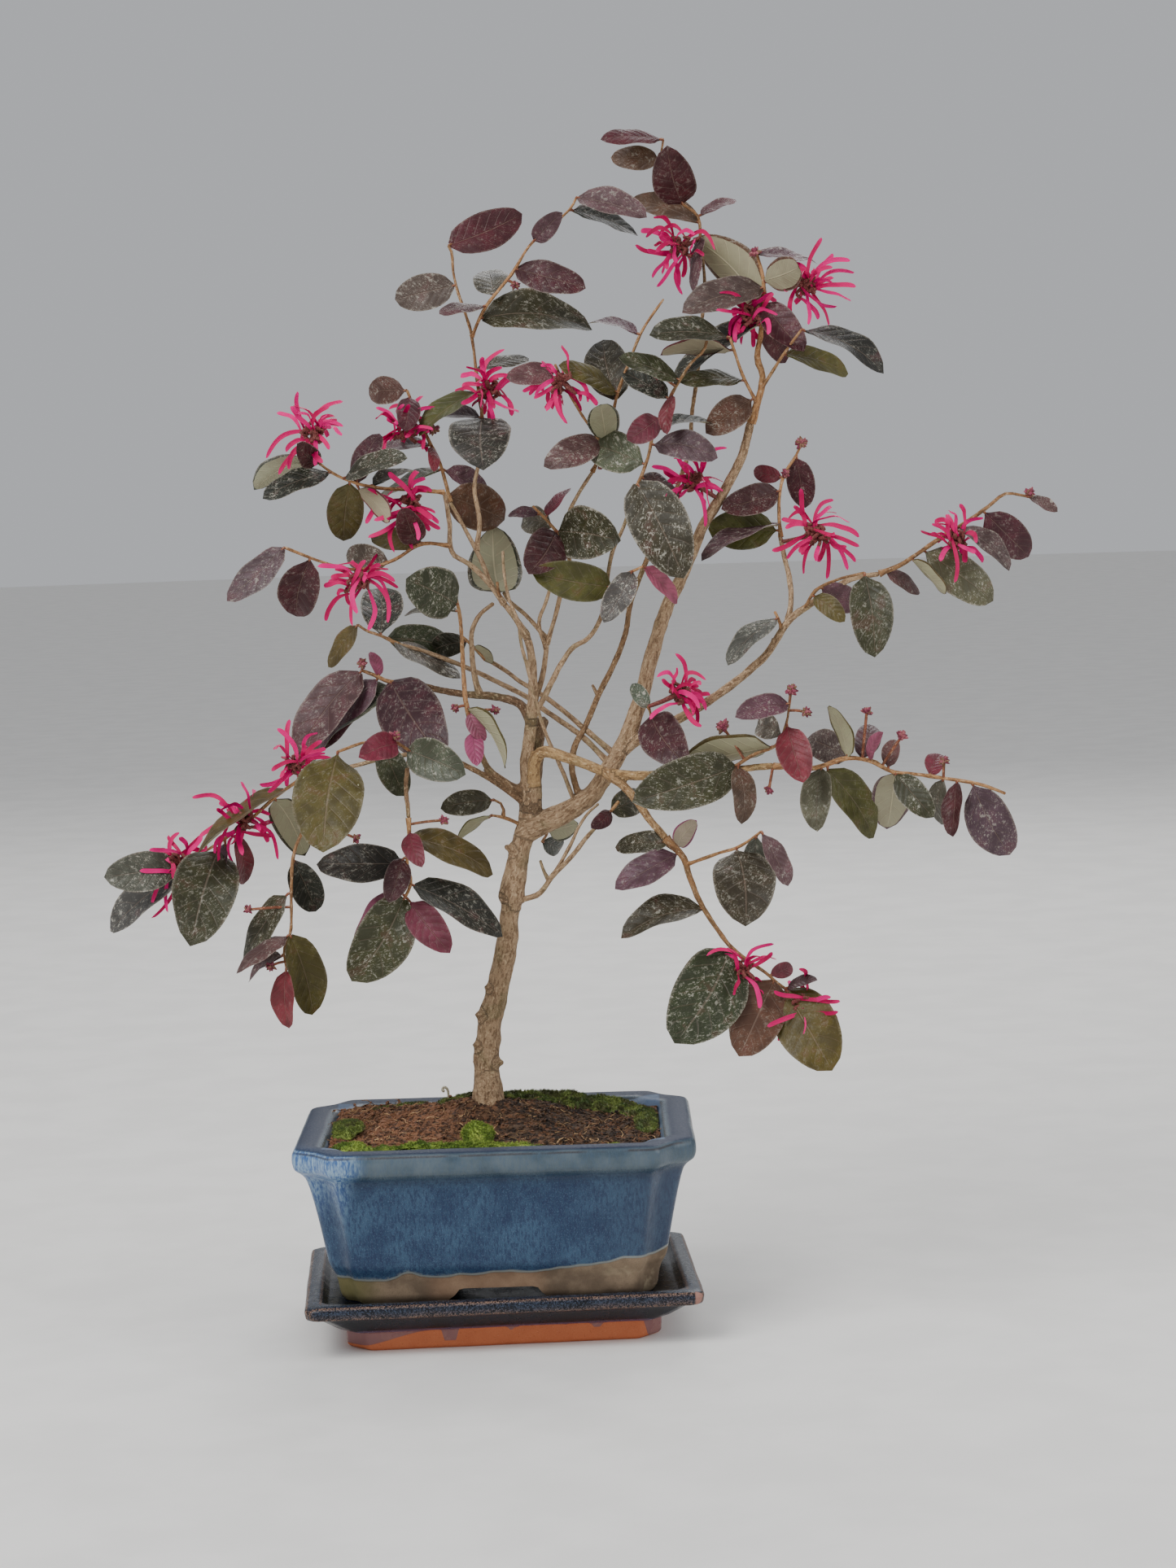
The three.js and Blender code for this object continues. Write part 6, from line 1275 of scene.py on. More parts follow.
class Tree:
    """A geometry node tree: named inputs, nodes that take sockets, values or the names of those
    inputs, and its result."""

    def __init__(self, name, inputs):
        self.group = bpy.data.node_groups.new(name, "GeometryNodeTree")
        face = self.group.interface
        face.new_socket("Geometry", in_out="INPUT", socket_type="NodeSocketGeometry")
        for label, kind in inputs:
            face.new_socket(label, in_out="INPUT", socket_type="NodeSocket" + kind)
        face.new_socket("Geometry", in_out="OUTPUT", socket_type="NodeSocketGeometry")
        self.start = self.group.nodes.new("NodeGroupInput")

    def node(self, kind, settings=(), inputs=(), output=0):
        made = self.group.nodes.new(kind)
        for key, value in dict(settings).items():
            setattr(made, key, value)
        for key, value in dict(inputs).items():
            if isinstance(value, str):
                value = self.start.outputs[value]
            if isinstance(value, bpy.types.NodeSocket):
                self.group.links.new(value, made.inputs[key])
            else:
                made.inputs[key].default_value = value
        return made.outputs[output]

    def end(self, geometry):
        last = self.group.nodes.new("NodeGroupOutput")
        self.group.links.new(geometry, last.inputs[0])


def scatter_tree():
    """Strews copies of a shape over the upward faces of a surface, and keeps the surface."""
    tree = Tree("Scatter", [("Shape", "Object"), ("Density", "Float"), ("Smallest", "Float"),
                            ("Largest", "Float"), ("Lean", "Float"), ("Seed", "Int"),
                            ("Material", "Material")])
    normal = tree.node("GeometryNodeInputNormal")
    height = tree.node("ShaderNodeSeparateXYZ", inputs={0: normal}, output=2)
    upward = tree.node("FunctionNodeCompare", {"operation": "GREATER_THAN"},
                       {0: height, 1: UPWARD})
    spots = tree.node("GeometryNodeDistributePointsOnFaces", inputs={
        "Mesh": "Geometry", "Selection": upward, "Density": "Density", "Seed": "Seed"}).node
    low = tree.node("ShaderNodeMath", {"operation": "MULTIPLY"}, {0: "Lean", 1: -1})
    tilt = tree.node("FunctionNodeRandomValue", {"data_type": "FLOAT_VECTOR"}, {
        "Min": tree.node("ShaderNodeCombineXYZ", inputs={0: low, 1: low, 2: 0.0}),
        "Max": tree.node("ShaderNodeCombineXYZ", inputs={0: "Lean", 1: "Lean", 2: math.tau}),
        "Seed": "Seed"})
    turn = tree.node("FunctionNodeRotateRotation", {"rotation_space": "LOCAL"}, {
        0: spots.outputs["Rotation"], 1: tree.node("FunctionNodeEulerToRotation",
                                                   inputs={0: tilt})})
    size = tree.node("FunctionNodeRandomValue", {"data_type": "FLOAT"}, {
        2: "Smallest", 3: "Largest", "Seed": "Seed"}, output=1)
    model = tree.node("GeometryNodeObjectInfo", inputs={"Object": "Shape"}, output="Geometry")
    copies = tree.node("GeometryNodeInstanceOnPoints", inputs={
        "Points": spots.outputs["Points"], "Instance": model, "Rotation": turn, "Scale": size})
    joined = tree.group.nodes.new("GeometryNodeJoinGeometry")
    tree.group.links.new(copies, joined.inputs[0])
    tree.group.links.new(tree.start.outputs["Geometry"], joined.inputs[0])
    plain = tree.node("GeometryNodeRealizeInstances", inputs={0: joined.outputs[0]})
    tree.end(tree.node("GeometryNodeSetMaterial", inputs={
        "Geometry": plain, "Material": "Material"}))
    return tree.group


def strewn(made, shape, density, sizes, lean, seed, material):
    """Strews a shape over an object, between two sizes and leaning up to an angle, and settles
    the result."""
    group = bpy.data.node_groups.get("Scatter") or scatter_tree()
    model = shape.object("strewn", [material])
    change = made.modifiers.new("Scatter", "NODES")
    change.node_group = group
    values = {"Shape": model, "Density": density, "Smallest": sizes[0], "Largest": sizes[1],
              "Lean": lean, "Seed": seed, "Material": material}
    for item in group.interface.items_tree:
        if item.name in values:
            change[item.identifier] = values[item.name]
    settled(made)
    bpy.data.objects.remove(model)


def crumb():
    """A lump of peat, about a millimetre across."""
    shape = Shape()
    ring = [shape.point((0.5 * math.cos(k * math.tau / 5) * (1 + 0.3 * (k % 2)),
                         0.5 * math.sin(k * math.tau / 5), 0.1 * (k % 3))) for k in range(5)]
    shape.pole(ring, shape.point((0.1, 0, 0.5)))
    shape.pole(list(reversed(ring)), shape.point((0, 0.1, -0.4)))
    return shape


def fibre():
    """A curled root hair, lying flat."""
    shape = Shape()
    shape.dust = 1
    path = smooth_path([Vector(p) for p in ((-3, 0, -0.1), (-1.2, 0.7, 0.45), (0.8, -0.4, 0.3),
                                            (2.6, 0.5, 0.5), (3.6, 1.2, -0.2))], 1.4)
    tube(shape, path, FIBRE_RADII, 3)
    return shape


def tuft():
    """A sprig of moss: five leaflets that lean outwards from one stem."""
    shape = Shape()
    for k in range(5):
        turn = k / 5 * math.tau
        lean = Vector((math.cos(turn), math.sin(turn), 0)) * (0.35 + 0.25 * (k % 2))
        side = Vector((-math.sin(turn), math.cos(turn), 0)) * 0.16
        back = lean.normalized() * 0.1
        ring = [shape.point(p) for p in (side, -back, -side, back)]
        tip = shape.point(lean + Vector((0, 0, 1.0 - 0.2 * (k % 2))))
        shape.face((ring[0], ring[1], ring[2], ring[3]))
        shape.pole(list(reversed(ring)), tip)
    return shape


def make_soil(settings):
    shape = Shape()
    edge = softened(pot_corners(SOIL_INSET), 2, 2, SOIL_SIDES)
    floor = softened(pot_corners(SOIL_FLOOR[1]), 2, 2, SOIL_SIDES)
    rings = [[shape.point((p.x, p.y, SOIL_FLOOR[0])) for p in floor],
             [shape.point((p.x, p.y, SOIL_EDGE - 3)) for p in edge]]
    for step in range(SOIL_RINGS):
        share = 1 - step / SOIL_RINGS
        ring = []
        for p in edge:
            x, y = p.x * share, p.y * share
            crumbly = rough((x, y, 0), 5.5) * 1.1 + rough((x, y, 3), 1.9) * 0.7
            ring.append(shape.point((x, y, ground(x, y) + crumbly * min(1, step / 2))))
        rings.append(ring)
    shape.skin(rings)
    material = soil_material()
    made = shape.object("peat", [material])
    dense = settings.crumb_density * 1
    strewn(made, fibre(), dense * FIBRE_SHARE, (0.5, 1.9), 0.5, 9, material)
    strewn(made, crumb(), dense, (0.35, 2.1), 0.9, 4, material)
    finished(made, "soil", "soil")


def cushion(shape, x, y, half_x, half_y, height, seed):
    """A pad of moss lying on the soil inside the lip: flat ones are ragged, high ones round."""
    loose = min(1, half_x / height / 4)
    lift = 0.45 * (1 - loose)
    rings = []
    for level in range(1, CUSHION_LEVELS):
        rise = level / CUSHION_LEVELS * math.pi - math.pi / 2
        ring = []
        for across, back in circle(1, CUSHION_SIDES):
            ragged = 1 + 0.4 * loose * rough((across * half_x, back * half_y, 0), 4, seed)
            px, py = inside_wall(x + half_x * math.cos(rise) * across * ragged,
                                 y + half_y * math.cos(rise) * back * ragged)
            lumps = 1 + (0.05 + 0.85 * loose) * rough((px, py, 0), 5, seed)
            swell = lift + (1 - lift) * math.sin(rise) * lumps
            pz = ground(px, py) + height * max(swell, -0.3)
            ring.append(shape.point((px, py, pz)))
        rings.append(ring)
    shape.skin(rings)


def make_moss(settings):
    material = moss_material()
    dense = settings.tuft_density * 1
    for number, (name, *pad) in enumerate(MOSSES):
        shape = Shape()
        cushion(shape, *pad, number)
        made = shape.object(name.replace("moss", "cushion"), [material])
        strewn(made, tuft(), dense, (0.6, 1.6), 0.5, number, material)
        finished(made, "moss", name)
    shape = Shape()
    for number, patch in enumerate(PATCHES):
        cushion(shape, *patch, number + len(MOSSES))
    made = shape.object("moss_patches", [material])
    strewn(made, tuft(), dense, (0.5, 1.3), 0.5, len(MOSSES), material)
    finished(made, "moss")
    x, y, route = SPROUT
    shape = Shape()
    shape.tint = SPROUT_TINT
    foot = Vector((x, y, ground(x, y)))
    path = smooth_path([foot + Vector(step) for step in route], 0.5)
    tube(shape, path, SPROUT_RADII, 8)
    finished(shape.object("sprout", [bud_material("seedling")]), "moss")


def inside_wall(x, y):
    """Keeps a place on the soil inside the lip of the pot."""
    most = [half - SOIL_INSET - WALL_GAP for half in POT_HALF]
    return [max(-far, min(far, along)) for far, along in zip(most, (x, y))]


def make_screens():
    material = screen_material()
    for name in ("drain_screen_left", "drain_screen_right"):
        for slot in frame["nodes"][name].material_slots:
            slot.material = material


# Materials.


def _operation(operation, swapped=False):
    def apply(self, other=0.0):
        values = (other, self) if swapped else (self, other)
        return self.paint.maths(operation, *values)
    return apply


class Wire:
    """A value that flows between the nodes of a material, for writing maths as expressions."""

    def __init__(self, paint, socket):
        self.paint = paint
        self.socket = socket

    __add__ = __radd__ = _operation("ADD")
    __sub__ = _operation("SUBTRACT")
    __rsub__ = _operation("SUBTRACT", True)
    __mul__ = __rmul__ = _operation("MULTIPLY")
    __truediv__ = _operation("DIVIDE")
    __pow__ = _operation("POWER")
    __gt__ = _operation("GREATER_THAN")
    __abs__ = _operation("ABSOLUTE")
    fraction = _operation("FRACT")
    most = _operation("MAXIMUM")
    least = _operation("MINIMUM")


class Paint:
    """A procedural material. Three whole numbers are a colour picked on a screen."""

    def __init__(self, name, **constants):
        self.material = bpy.data.materials.new(name)
        self.material.use_nodes = True
        self.tree = self.material.node_tree
        self.shader = self.tree.nodes["Principled BSDF"]
        for label, value in constants.items():
            self.shader.inputs[label.replace("_", " ")].default_value = value

    def put(self, socket, value):
        if isinstance(value, Wire):
            self.tree.links.new(value.socket, socket)
        elif isinstance(value, tuple) and len(value) == 3 and socket.type == "RGBA":
            socket.default_value = (*colour(*value), 1)
        else:
            socket.default_value = value

    def node(self, kind, settings=(), inputs=(), output=0):
        made = self.tree.nodes.new("ShaderNode" + kind)
        for key, value in dict(settings).items():
            setattr(made, key, value)
        for key, value in dict(inputs).items():
            self.put(made.inputs[key], value)
        return Wire(self, made.outputs[output])

    def maths(self, operation, *values):
        return self.node("Math", {"operation": operation}, dict(enumerate(values)))

    def mix(self, share, first, second, blend="MIX"):
        return self.node("Mix", {"data_type": "RGBA", "blend_type": blend},
                         {0: share, 6: first, 7: second}, 2)

    def shaded(self, tint, red, green, blue):
        """A tint with its channels cut to shares of what they were."""
        return self.mix(1.0, tint, (red, green, blue, 1), "MULTIPLY")

    def layers(self, base, *layers):
        """Lays tints over each other. A layer is a value, two levels of it, a share and a tint:
        as the value goes from the first level to the second, the tint comes in up to the
        share."""
        for value, low, high, share, tint in layers:
            base = self.mix(self.ease(value, low, high, 0, share), base, tint)
        return base

    def ease(self, value, low, high, start=0.0, end=1.0):
        """Goes smoothly from start to end as the value goes from low to high."""
        return self.node("MapRange", {"interpolation_type": "SMOOTHSTEP"},
                         {0: value, 1: low, 2: high, 3: start, 4: end})

    def stretch(self, where, sizes):
        return self.node("VectorMath", {"operation": "MULTIPLY"}, {0: where, 1: sizes})

    def grain(self, where, scale, detail=3.0, roughness=0.55):
        return self.node("TexNoise", inputs={"Vector": where, "Scale": scale, "Detail": detail,
                                             "Roughness": roughness})

    def cells(self, where, scale, feature="F1", output="Distance"):
        return self.node("TexVoronoi", {"feature": feature},
                         {"Vector": where, "Scale": scale}, output)

    def where(self):
        """The place on the object, in millimetres."""
        at = self.node("TexCoord", output="Object")
        return self.stretch(at, (1 / MM,) * 3)

    def read(self, name, output="Vector"):
        return self.node("Attribute", {"attribute_name": name}, output=output)

    def parts(self, vector):
        return [self.node("SeparateXYZ", inputs={0: vector}, output=k) for k in range(3)]

    def bump(self, height, strength, distance):
        return self.node("Bump", inputs={"Height": height, "Strength": strength,
                                         "Distance": distance * MM})

    def done(self, base, roughness, normal=None):
        self.put(self.shader.inputs["Base Color"], base)
        self.put(self.shader.inputs["Roughness"], roughness)
        if normal is not None:
            self.put(self.shader.inputs["Normal"], normal)
        return self.material


def pot_material():
    p = Paint("pot_glaze", IOR=1.5, Specular_IOR_Level=0.32)
    at = p.where()
    x, y, z = p.parts(at)
    runs = p.grain(p.stretch(at, (1, 1, 0.22)), 0.9, 5.0, 0.7)
    mottle = p.grain(at, 0.06, 4.0)
    fine = p.grain(p.stretch(at, (1, 1, 0.6)), 2.6, 2.0)
    glaze = p.mix(p.ease(mottle, 0.36, 0.64), (38, 58, 84), (56, 80, 104))
    glaze = p.layers(
        glaze, (runs, 0.44, 0.6, 0.75, (30, 44, 74)),
        (fine, 0.54, 0.68, 0.5, (84, 106, 130)),
        (x, 20, 84, 0.5, (50, 58, 74)))
    # The rolled rim, the shadowed groove under it, a lit corner and the iron-brown lip.
    band = p.ease(z, 77, 81)
    rim = p.mix(p.ease(mottle, 0.35, 0.65), (64, 78, 88), (86, 98, 106))
    rim = p.mix(p.ease(runs, 0.45, 0.62, 0, 0.4), rim, (66, 84, 102))
    glaze = p.mix(band, glaze, rim)
    glaze = p.mix(p.ease(abs(z - 77.6), 0, 3.4, 0.35, 0), glaze, (34, 48, 66))
    corner = p.ease(x * -1 - y, 116, 130) * p.ease(z, 36, 44)
    glaze = p.mix(corner * 0.7, glaze, p.mix(p.ease(runs, 0.4, 0.6), (150, 180, 208),
                                             (62, 100, 160)))
    glaze = p.mix(p.ease(z, 89.9, 90.7, 0, 0.9), glaze, (20, 32, 58))
    rust = p.ease(abs(z - 89.3), 0, 0.8, 1, 0) * p.ease(mottle, 0.34, 0.5)
    glaze = p.mix(rust * 0.75, glaze, (52, 44, 44))
    # Crazed pale glaze inside the lip, and iron spots all over.
    within = p.ease((POT_HALF[0] - LIP_WIDTH - abs(x)).least(
        POT_HALF[1] - LIP_WIDTH - abs(y)), -0.8, 0.4)
    crazing = p.ease(p.cells(at, 0.2, "DISTANCE_TO_EDGE"), 0, 0.05, 1, 0)
    pale = p.mix(crazing * 0.4, (112, 124, 140), (70, 84, 106))
    pale = p.mix(p.ease(mottle, 0.4, 0.6, 0, 0.7), pale, (60, 78, 106))
    glaze = p.mix(within * p.ease(z, 84, 86), glaze, pale)
    iron = p.ease(p.cells(at, 0.03), 0.02, 0.035, 1, 0)
    glaze = p.mix(iron * 0.8, glaze, (48, 36, 32))
    # Bare clay below a wandering glaze line that climbs to the right.
    climb = ((x + 60) / 134).most(0.0) ** 2.6
    wander = (p.grain(p.stretch(at, (1, 1, 0.05)), 0.07, 1.0) - 0.5) * 5
    crest = p.ease(abs(x + 39), 0.5, 6, 2.2, 0)
    above = z - climb * 8.2 - 32.8 - wander - crest
    bare = p.ease(above, -0.25, 0.25, 1, 0)
    crawl = p.ease(above, 0.3, 2.6, 1, 0) * p.ease(p.grain(at, 0.5, 3.0), 0.44, 0.6, 0.1, 0.7)
    edge = p.ease(abs(above - 0.4), 0.1, 1.0, 1, 0).most(crawl * p.ease(x, -10, -30))
    glaze = p.mix(edge * 0.7, glaze, (150, 152, 142))
    clay = p.mix(p.ease(mottle, 0.36, 0.64), (98, 84, 70), (134, 116, 96))
    clay = p.layers(
        clay, (fine, 0.5, 0.75, 0.4, (80, 68, 54)),
        (x, -46, -64, 0.7, (94, 94, 54)))
    clay = p.mix(p.ease(abs(x + 5), 18, 30, 0.4, 0), clay, (142, 108, 84))
    pools = p.grain(at, 0.14, 3.0)
    clay = p.mix(p.ease(x, 36, 60) * p.ease(pools, 0.5, 0.66, 0, 0.8), clay, (150, 136, 112))
    base = p.mix(bare, glaze, clay)
    height = mottle * 0.4 + fine * 0.12 + runs * 0.25 + p.ease(above, -0.6, 0.8) * 0.8
    glossy = p.ease(runs, 0.3, 0.7, 0.2, 0.34) + p.ease(z, 90, 90.8, 0, 0.3)
    roughness = glossy + (bare * 0.6).most(within * 0.15)
    return p.done(base, roughness, p.bump(height, 0.5, 0.6))


def tray_material():
    p = Paint("tray_glaze", IOR=1.5, Specular_IOR_Level=0.3)
    at = p.where()
    turned = p.node("VectorRotate", {"rotation_type": "Z_AXIS"},
                    {"Vector": at, "Angle": -TRAY_TURN})
    x, y, z = p.parts(turned)
    mottle = p.grain(at, 0.12, 4.0)
    specks = p.grain(at, 1.3, 3.0, 0.7)
    fine = p.grain(at, 3.2, 2.0)
    glaze = p.mix(p.ease(mottle, 0.35, 0.65), (12, 15, 22), (24, 28, 38))
    # The speckled bar of the rim, worn brown along its edges and chipped at a corner.
    bar = p.ease(z, 18, 18.6) * p.ease((abs(x) - 78.6).most(abs(y) - 50.4), -0.3, 0.3)
    glaze = p.mix(bar * p.ease(specks, 0.48, 0.58, 0, 0.75), glaze, (60, 70, 88))
    glaze = p.mix(bar * p.ease(fine, 0.6, 0.68, 0, 0.5), glaze, (104, 114, 130))
    across = (abs(x) - TRAY_HALF[0]).most(abs(y) - TRAY_HALF[1])
    crest = p.ease(abs(across + 1.1), 0.2, 1.0, 1, 0) * bar
    crest = crest.most(p.ease(abs(across + 7), 0.2, 0.9, 0.8, 0) * bar)
    crest = crest.most(p.ease(abs(z - 18.2), 0, 0.5, 0.7, 0))
    worn = crest * p.ease(specks, 0.44, 0.56)
    glaze = p.mix(worn, glaze, p.mix(p.ease(fine, 0.35, 0.65), (66, 44, 36),
                                     (150, 122, 104)))
    glaze = p.mix(p.ease(z, 10.8, 9.2, 0, 0.85), glaze, (96, 80, 104))
    chip = p.ease(x, 81.8, 82.4) * p.ease(y, -55.6, -56.4) * bar
    glaze = p.mix(chip, glaze, p.mix(fine, (128, 92, 84), (172, 130, 116)))
    # Terracotta below a glaze line that runs down in curtains.
    curtain = p.grain(p.stretch(at, (1, 1, 0)), 0.09, 2.0)
    runs = p.ease(abs(x + 24), 2.2, 4.2, 5.2, 0).most(p.ease(x, 60, 63, 0, 8.0)).most(
        p.ease(x, -30, -66, 0, 6.4)).most(p.ease(curtain, 0.55, 0.72, 0, 2.2))
    bare = p.ease(z - 8.6 + runs, -0.2, 0.2, 1, 0)
    terracotta = p.mix(mottle, (178, 96, 62), (206, 124, 86))
    terracotta = p.layers(
        terracotta, (specks, 0.55, 0.75, 0.5, (138, 66, 40)),
        (fine, 0.66, 0.72, 0.6, (222, 170, 134)))
    glaze = p.mix(p.ease(z, 8.7, 8.2), glaze, p.mix(mottle, (120, 84, 88),
                                                    (156, 112, 104)))
    base = p.mix(bare, glaze, terracotta)
    roughness = p.ease(mottle, 0.3, 0.7, 0.18, 0.34) + bare * 0.55 + worn * 0.3 + chip * 0.4
    height = mottle * 0.5 + specks * 0.35 * bar + fine * 0.1 - bare * 0.5 - chip * 0.5
    return p.done(base, roughness, p.bump(height, 0.6, 0.6))


def screen_material():
    p = Paint("screen_mesh")
    at = p.where()
    x, y, _ = p.parts(at)
    strands = (abs((x * 0.5).fraction() - 0.5)).least(abs((y * 0.5).fraction() - 0.5))
    dirt = p.grain(at, 0.3)
    base = p.mix(p.ease(dirt, 0.4, 0.7), (44, 74, 56), (92, 78, 58))
    return p.done(base, p.ease(dirt, 0.3, 0.7, 0.5, 0.8), p.bump(strands, 0.8, 0.4))


def bark_material(name="bark", strength=0.9):
    p = Paint(name)
    at = p.where()
    spot = p.read("spot")
    tint = p.read("tint", "Color")
    streaks = p.grain(p.stretch(spot, (1, 1, 0.34)), 0.7, 5.0, 0.6)
    flakes = p.grain(p.stretch(spot, (1, 1, 0.6)), 1.1, 4.0, 0.6)
    patches = p.grain(at, 0.06, 3.0)
    fine = p.grain(at, 2.4, 3.0)
    base = p.mix(p.ease(streaks, 0.38, 0.56), p.shaded(tint, 0.5, 0.45, 0.4),
                 p.shaded(tint, 0.96, 0.95, 0.93))
    base = p.mix(p.ease(flakes, 0.56, 0.66, 0, 0.75), base,
                 p.mix(0.55, tint, (206, 182, 146)))
    base = p.layers(
        base, (patches, 0.52, 0.66, 0.4 * strength, (116, 112, 76)),
        (flakes, 0.42, 0.34, 0.7, (84, 60, 44)),
        (fine, 0.62, 0.72, 0.35, (196, 186, 160)))
    height = streaks + p.ease(flakes, 0.4, 0.6) * 0.6 + fine * 0.15
    return p.done(base, p.ease(flakes, 0.3, 0.7, 0.95, 0.75), p.bump(height, strength, 0.6))


def leaf_material():
    p = Paint("leaf", IOR=1.4)
    at = p.where()
    across, along, under = p.parts(p.read("spot"))
    tint = p.read("tint", "Color")
    dust = p.read("tint", "Alpha")
    side = abs(across)
    mottle = p.grain(at, 0.14, 3.0)
    fine = p.grain(at, 1.3, 3.0, 0.7)
    blots = p.grain(at, 0.48, 3.0, 0.6)
    vein_row = (along * 7 - side * 1.7).fraction()
    side_vein = p.ease(abs(vein_row - 0.5), 0.41, 0.5) * p.ease(side, 0.04, 0.14) * p.ease(
        side, 0.98, 0.7)
    midrib = p.ease(side, 0.01, 0.05, 1, 0) * p.ease(along, 1.0, 0.8)
    veins = midrib.most(side_vein * 0.5)
    upper = p.mix(p.ease(mottle, 0.35, 0.65), p.shaded(tint, 0.6, 0.58, 0.56), tint)
    upper = p.mix(p.ease(mottle, 0.56, 0.7, 0, 0.25), upper, (92, 40, 46))
    upper = p.mix(p.ease(fine, 0.5, 0.74) * dust * 0.2, upper, (122, 116, 104))
    upper = p.mix(veins * 0.22, upper, (150, 128, 112))
    rim = p.ease(side, 0.88, 1.0) * p.ease(fine, 0.36, 0.6)
    upper = p.mix(rim * (dust * 0.6 + 0.15), upper, (178, 168, 152))
    dashes = p.grain(p.node("CombineXYZ", inputs={
        0: across * 5 + along * 4, 1: across * 9 - along * 26, 2: mottle * 9}), 1.5, 3.0, 0.7)
    white = p.ease(dashes, 0.57, 0.62).most(p.ease(blots, 0.6, 0.64))
    white = white * p.ease(mottle, 0.36, 0.54) * p.ease(fine, 0.3, 0.42) * dust
    upper = p.mix(white * 0.9, upper, (184, 180, 166))
    lower = p.mix(0.72, tint, (164, 162, 132))
    lower = p.mix(p.ease(mottle, 0.4, 0.65, 0, 0.4), lower, (134, 124, 104))
    lower = p.mix(veins * 0.6, lower, (196, 186, 152))
    below = under > EDGE_SHARE
    base = p.mix(below, upper, lower)
    relief = (veins * -1.0 + mottle * 0.25 + fine * 0.16) * (1 - below * 2) + fine * 0.1
    pillow = p.ease(abs(vein_row - 0.5), 0.0, 0.5, 0.3, 0) * (1 - below)
    return p.done(base, p.ease(fine, 0.3, 0.7, 0.4, 0.62) + below * 0.2,
                  p.bump(relief + pillow, 0.7, 0.45))


def bud_material(name="bud"):
    p = Paint(name)
    at = p.where()
    tint = p.read("tint", "Color")
    fine = p.grain(at, 1.4, 3.0)
    hairs = p.grain(p.stretch(at, (1, 1, 0.5)), 4.5, 2.0)
    base = p.mix(p.ease(fine, 0.35, 0.65), p.shaded(tint, 0.5, 0.42, 0.4), tint)
    base = p.mix(p.ease(hairs, 0.56, 0.7, 0, 0.5), base, (186, 160, 124))
    return p.done(base, p.ease(fine, 0.3, 0.7, 0.9, 0.7), p.bump(fine + hairs * 0.5, 0.7, 0.35))


def petal_material():
    p = Paint("petal", IOR=1.3)
    at = p.where()
    across, along, _ = p.parts(p.read("spot"))
    tint = p.read("tint", "Color")
    fine = p.grain(at, 1.1, 3.0)
    lines = p.grain(p.node("CombineXYZ", inputs={0: across * 7, 1: along * 1.6, 2: 0.0}), 1.4, 2.0)
    base = p.mix(p.ease(lines, 0.38, 0.66, 0, 0.5), tint, (160, 0, 74))
    base = p.layers(
        base, (fine, 0.6, 0.8, 0.15, (240, 56, 156)),
        (along, 0.82, 1.0, 0.3, (240, 20, 134)),
        (along, 0.3, 0.0, 0.7, (128, 8, 46)))
    height = lines + fine * 0.3
    return p.done(base, p.ease(fine, 0.3, 0.7, 0.42, 0.6), p.bump(height, 0.5, 0.25))


def soil_material():
    p = Paint("peat")
    at = p.where()
    x, _, _ = p.parts(at)
    lumps = p.grain(at, 0.16, 4.0, 0.65)
    bits = p.cells(at, 0.55, output="Color")
    straw = p.read("tint", "Alpha")
    hue, light, _ = [p.node("SeparateColor", inputs={0: bits}, output=k) for k in range(3)]
    fine = p.grain(at, 2.2, 3.0)
    base = p.mix(p.ease(lumps, 0.35, 0.65), (42, 32, 24), (88, 66, 48))
    base = p.layers(
        base, (x, 10, -40, 0.7, (146, 100, 72)),
        (hue, 0.6, 0.72, 0.5, (126, 86, 60)))
    base = p.mix(straw * 0.85, base, p.mix(p.ease(lumps, 0.4, 0.6), (96, 68, 48),
                                           (196, 160, 116)))
    base = p.mix(p.ease(light, 0.42, 0.3, 0, 0.7) * (1 - straw), base, (30, 21, 17))
    base = p.mix(p.ease(fine, 0.6, 0.7, 0, 0.3), base, (98, 72, 56))
    return p.done(base, p.ease(fine, 0.3, 0.7, 0.98, 0.85), p.bump(fine + lumps, 0.9, 0.5))


def moss_material():
    """Bright in the light at the front and dark green at the back of the pot."""
    p = Paint("moss")
    at = p.where()
    _, y, _ = p.parts(at)
    patch = p.grain(at, 0.14, 3.0)
    fine = p.grain(at, 1.5, 3.0)
    base = p.mix(p.ease(patch, 0.36, 0.62), (86, 112, 34), (146, 168, 66))
    base = p.mix(p.ease(patch, 0.56, 0.68, 0, 0.5), base, (178, 186, 92))
    dark = p.mix(p.ease(patch, 0.36, 0.62), (66, 84, 38), (126, 140, 70))
    dark = p.mix(p.ease(p.grain(at, 0.2, 3.0), 0.5, 0.6, 0, 0.7), dark, (66, 54, 38))
    base = p.layers(
        base, (y, -36, -10, 1, dark),
        (fine, 0.42, 0.6, 0.6, (50, 60, 24)))
    return p.done(base, p.ease(fine, 0.3, 0.7, 0.9, 0.75), p.bump(fine, 0.6, 0.4))


def floor_material():
    p = Paint("floor")
    at = p.where()
    fine = p.grain(at, 0.02, 3.0)
    base = p.mix(p.ease(fine, 0.35, 0.65), (232, 230, 226), (238, 236, 232))
    return p.done(base, p.ease(fine, 0.3, 0.7, 0.75, 0.85))


# Floor, light and camera.


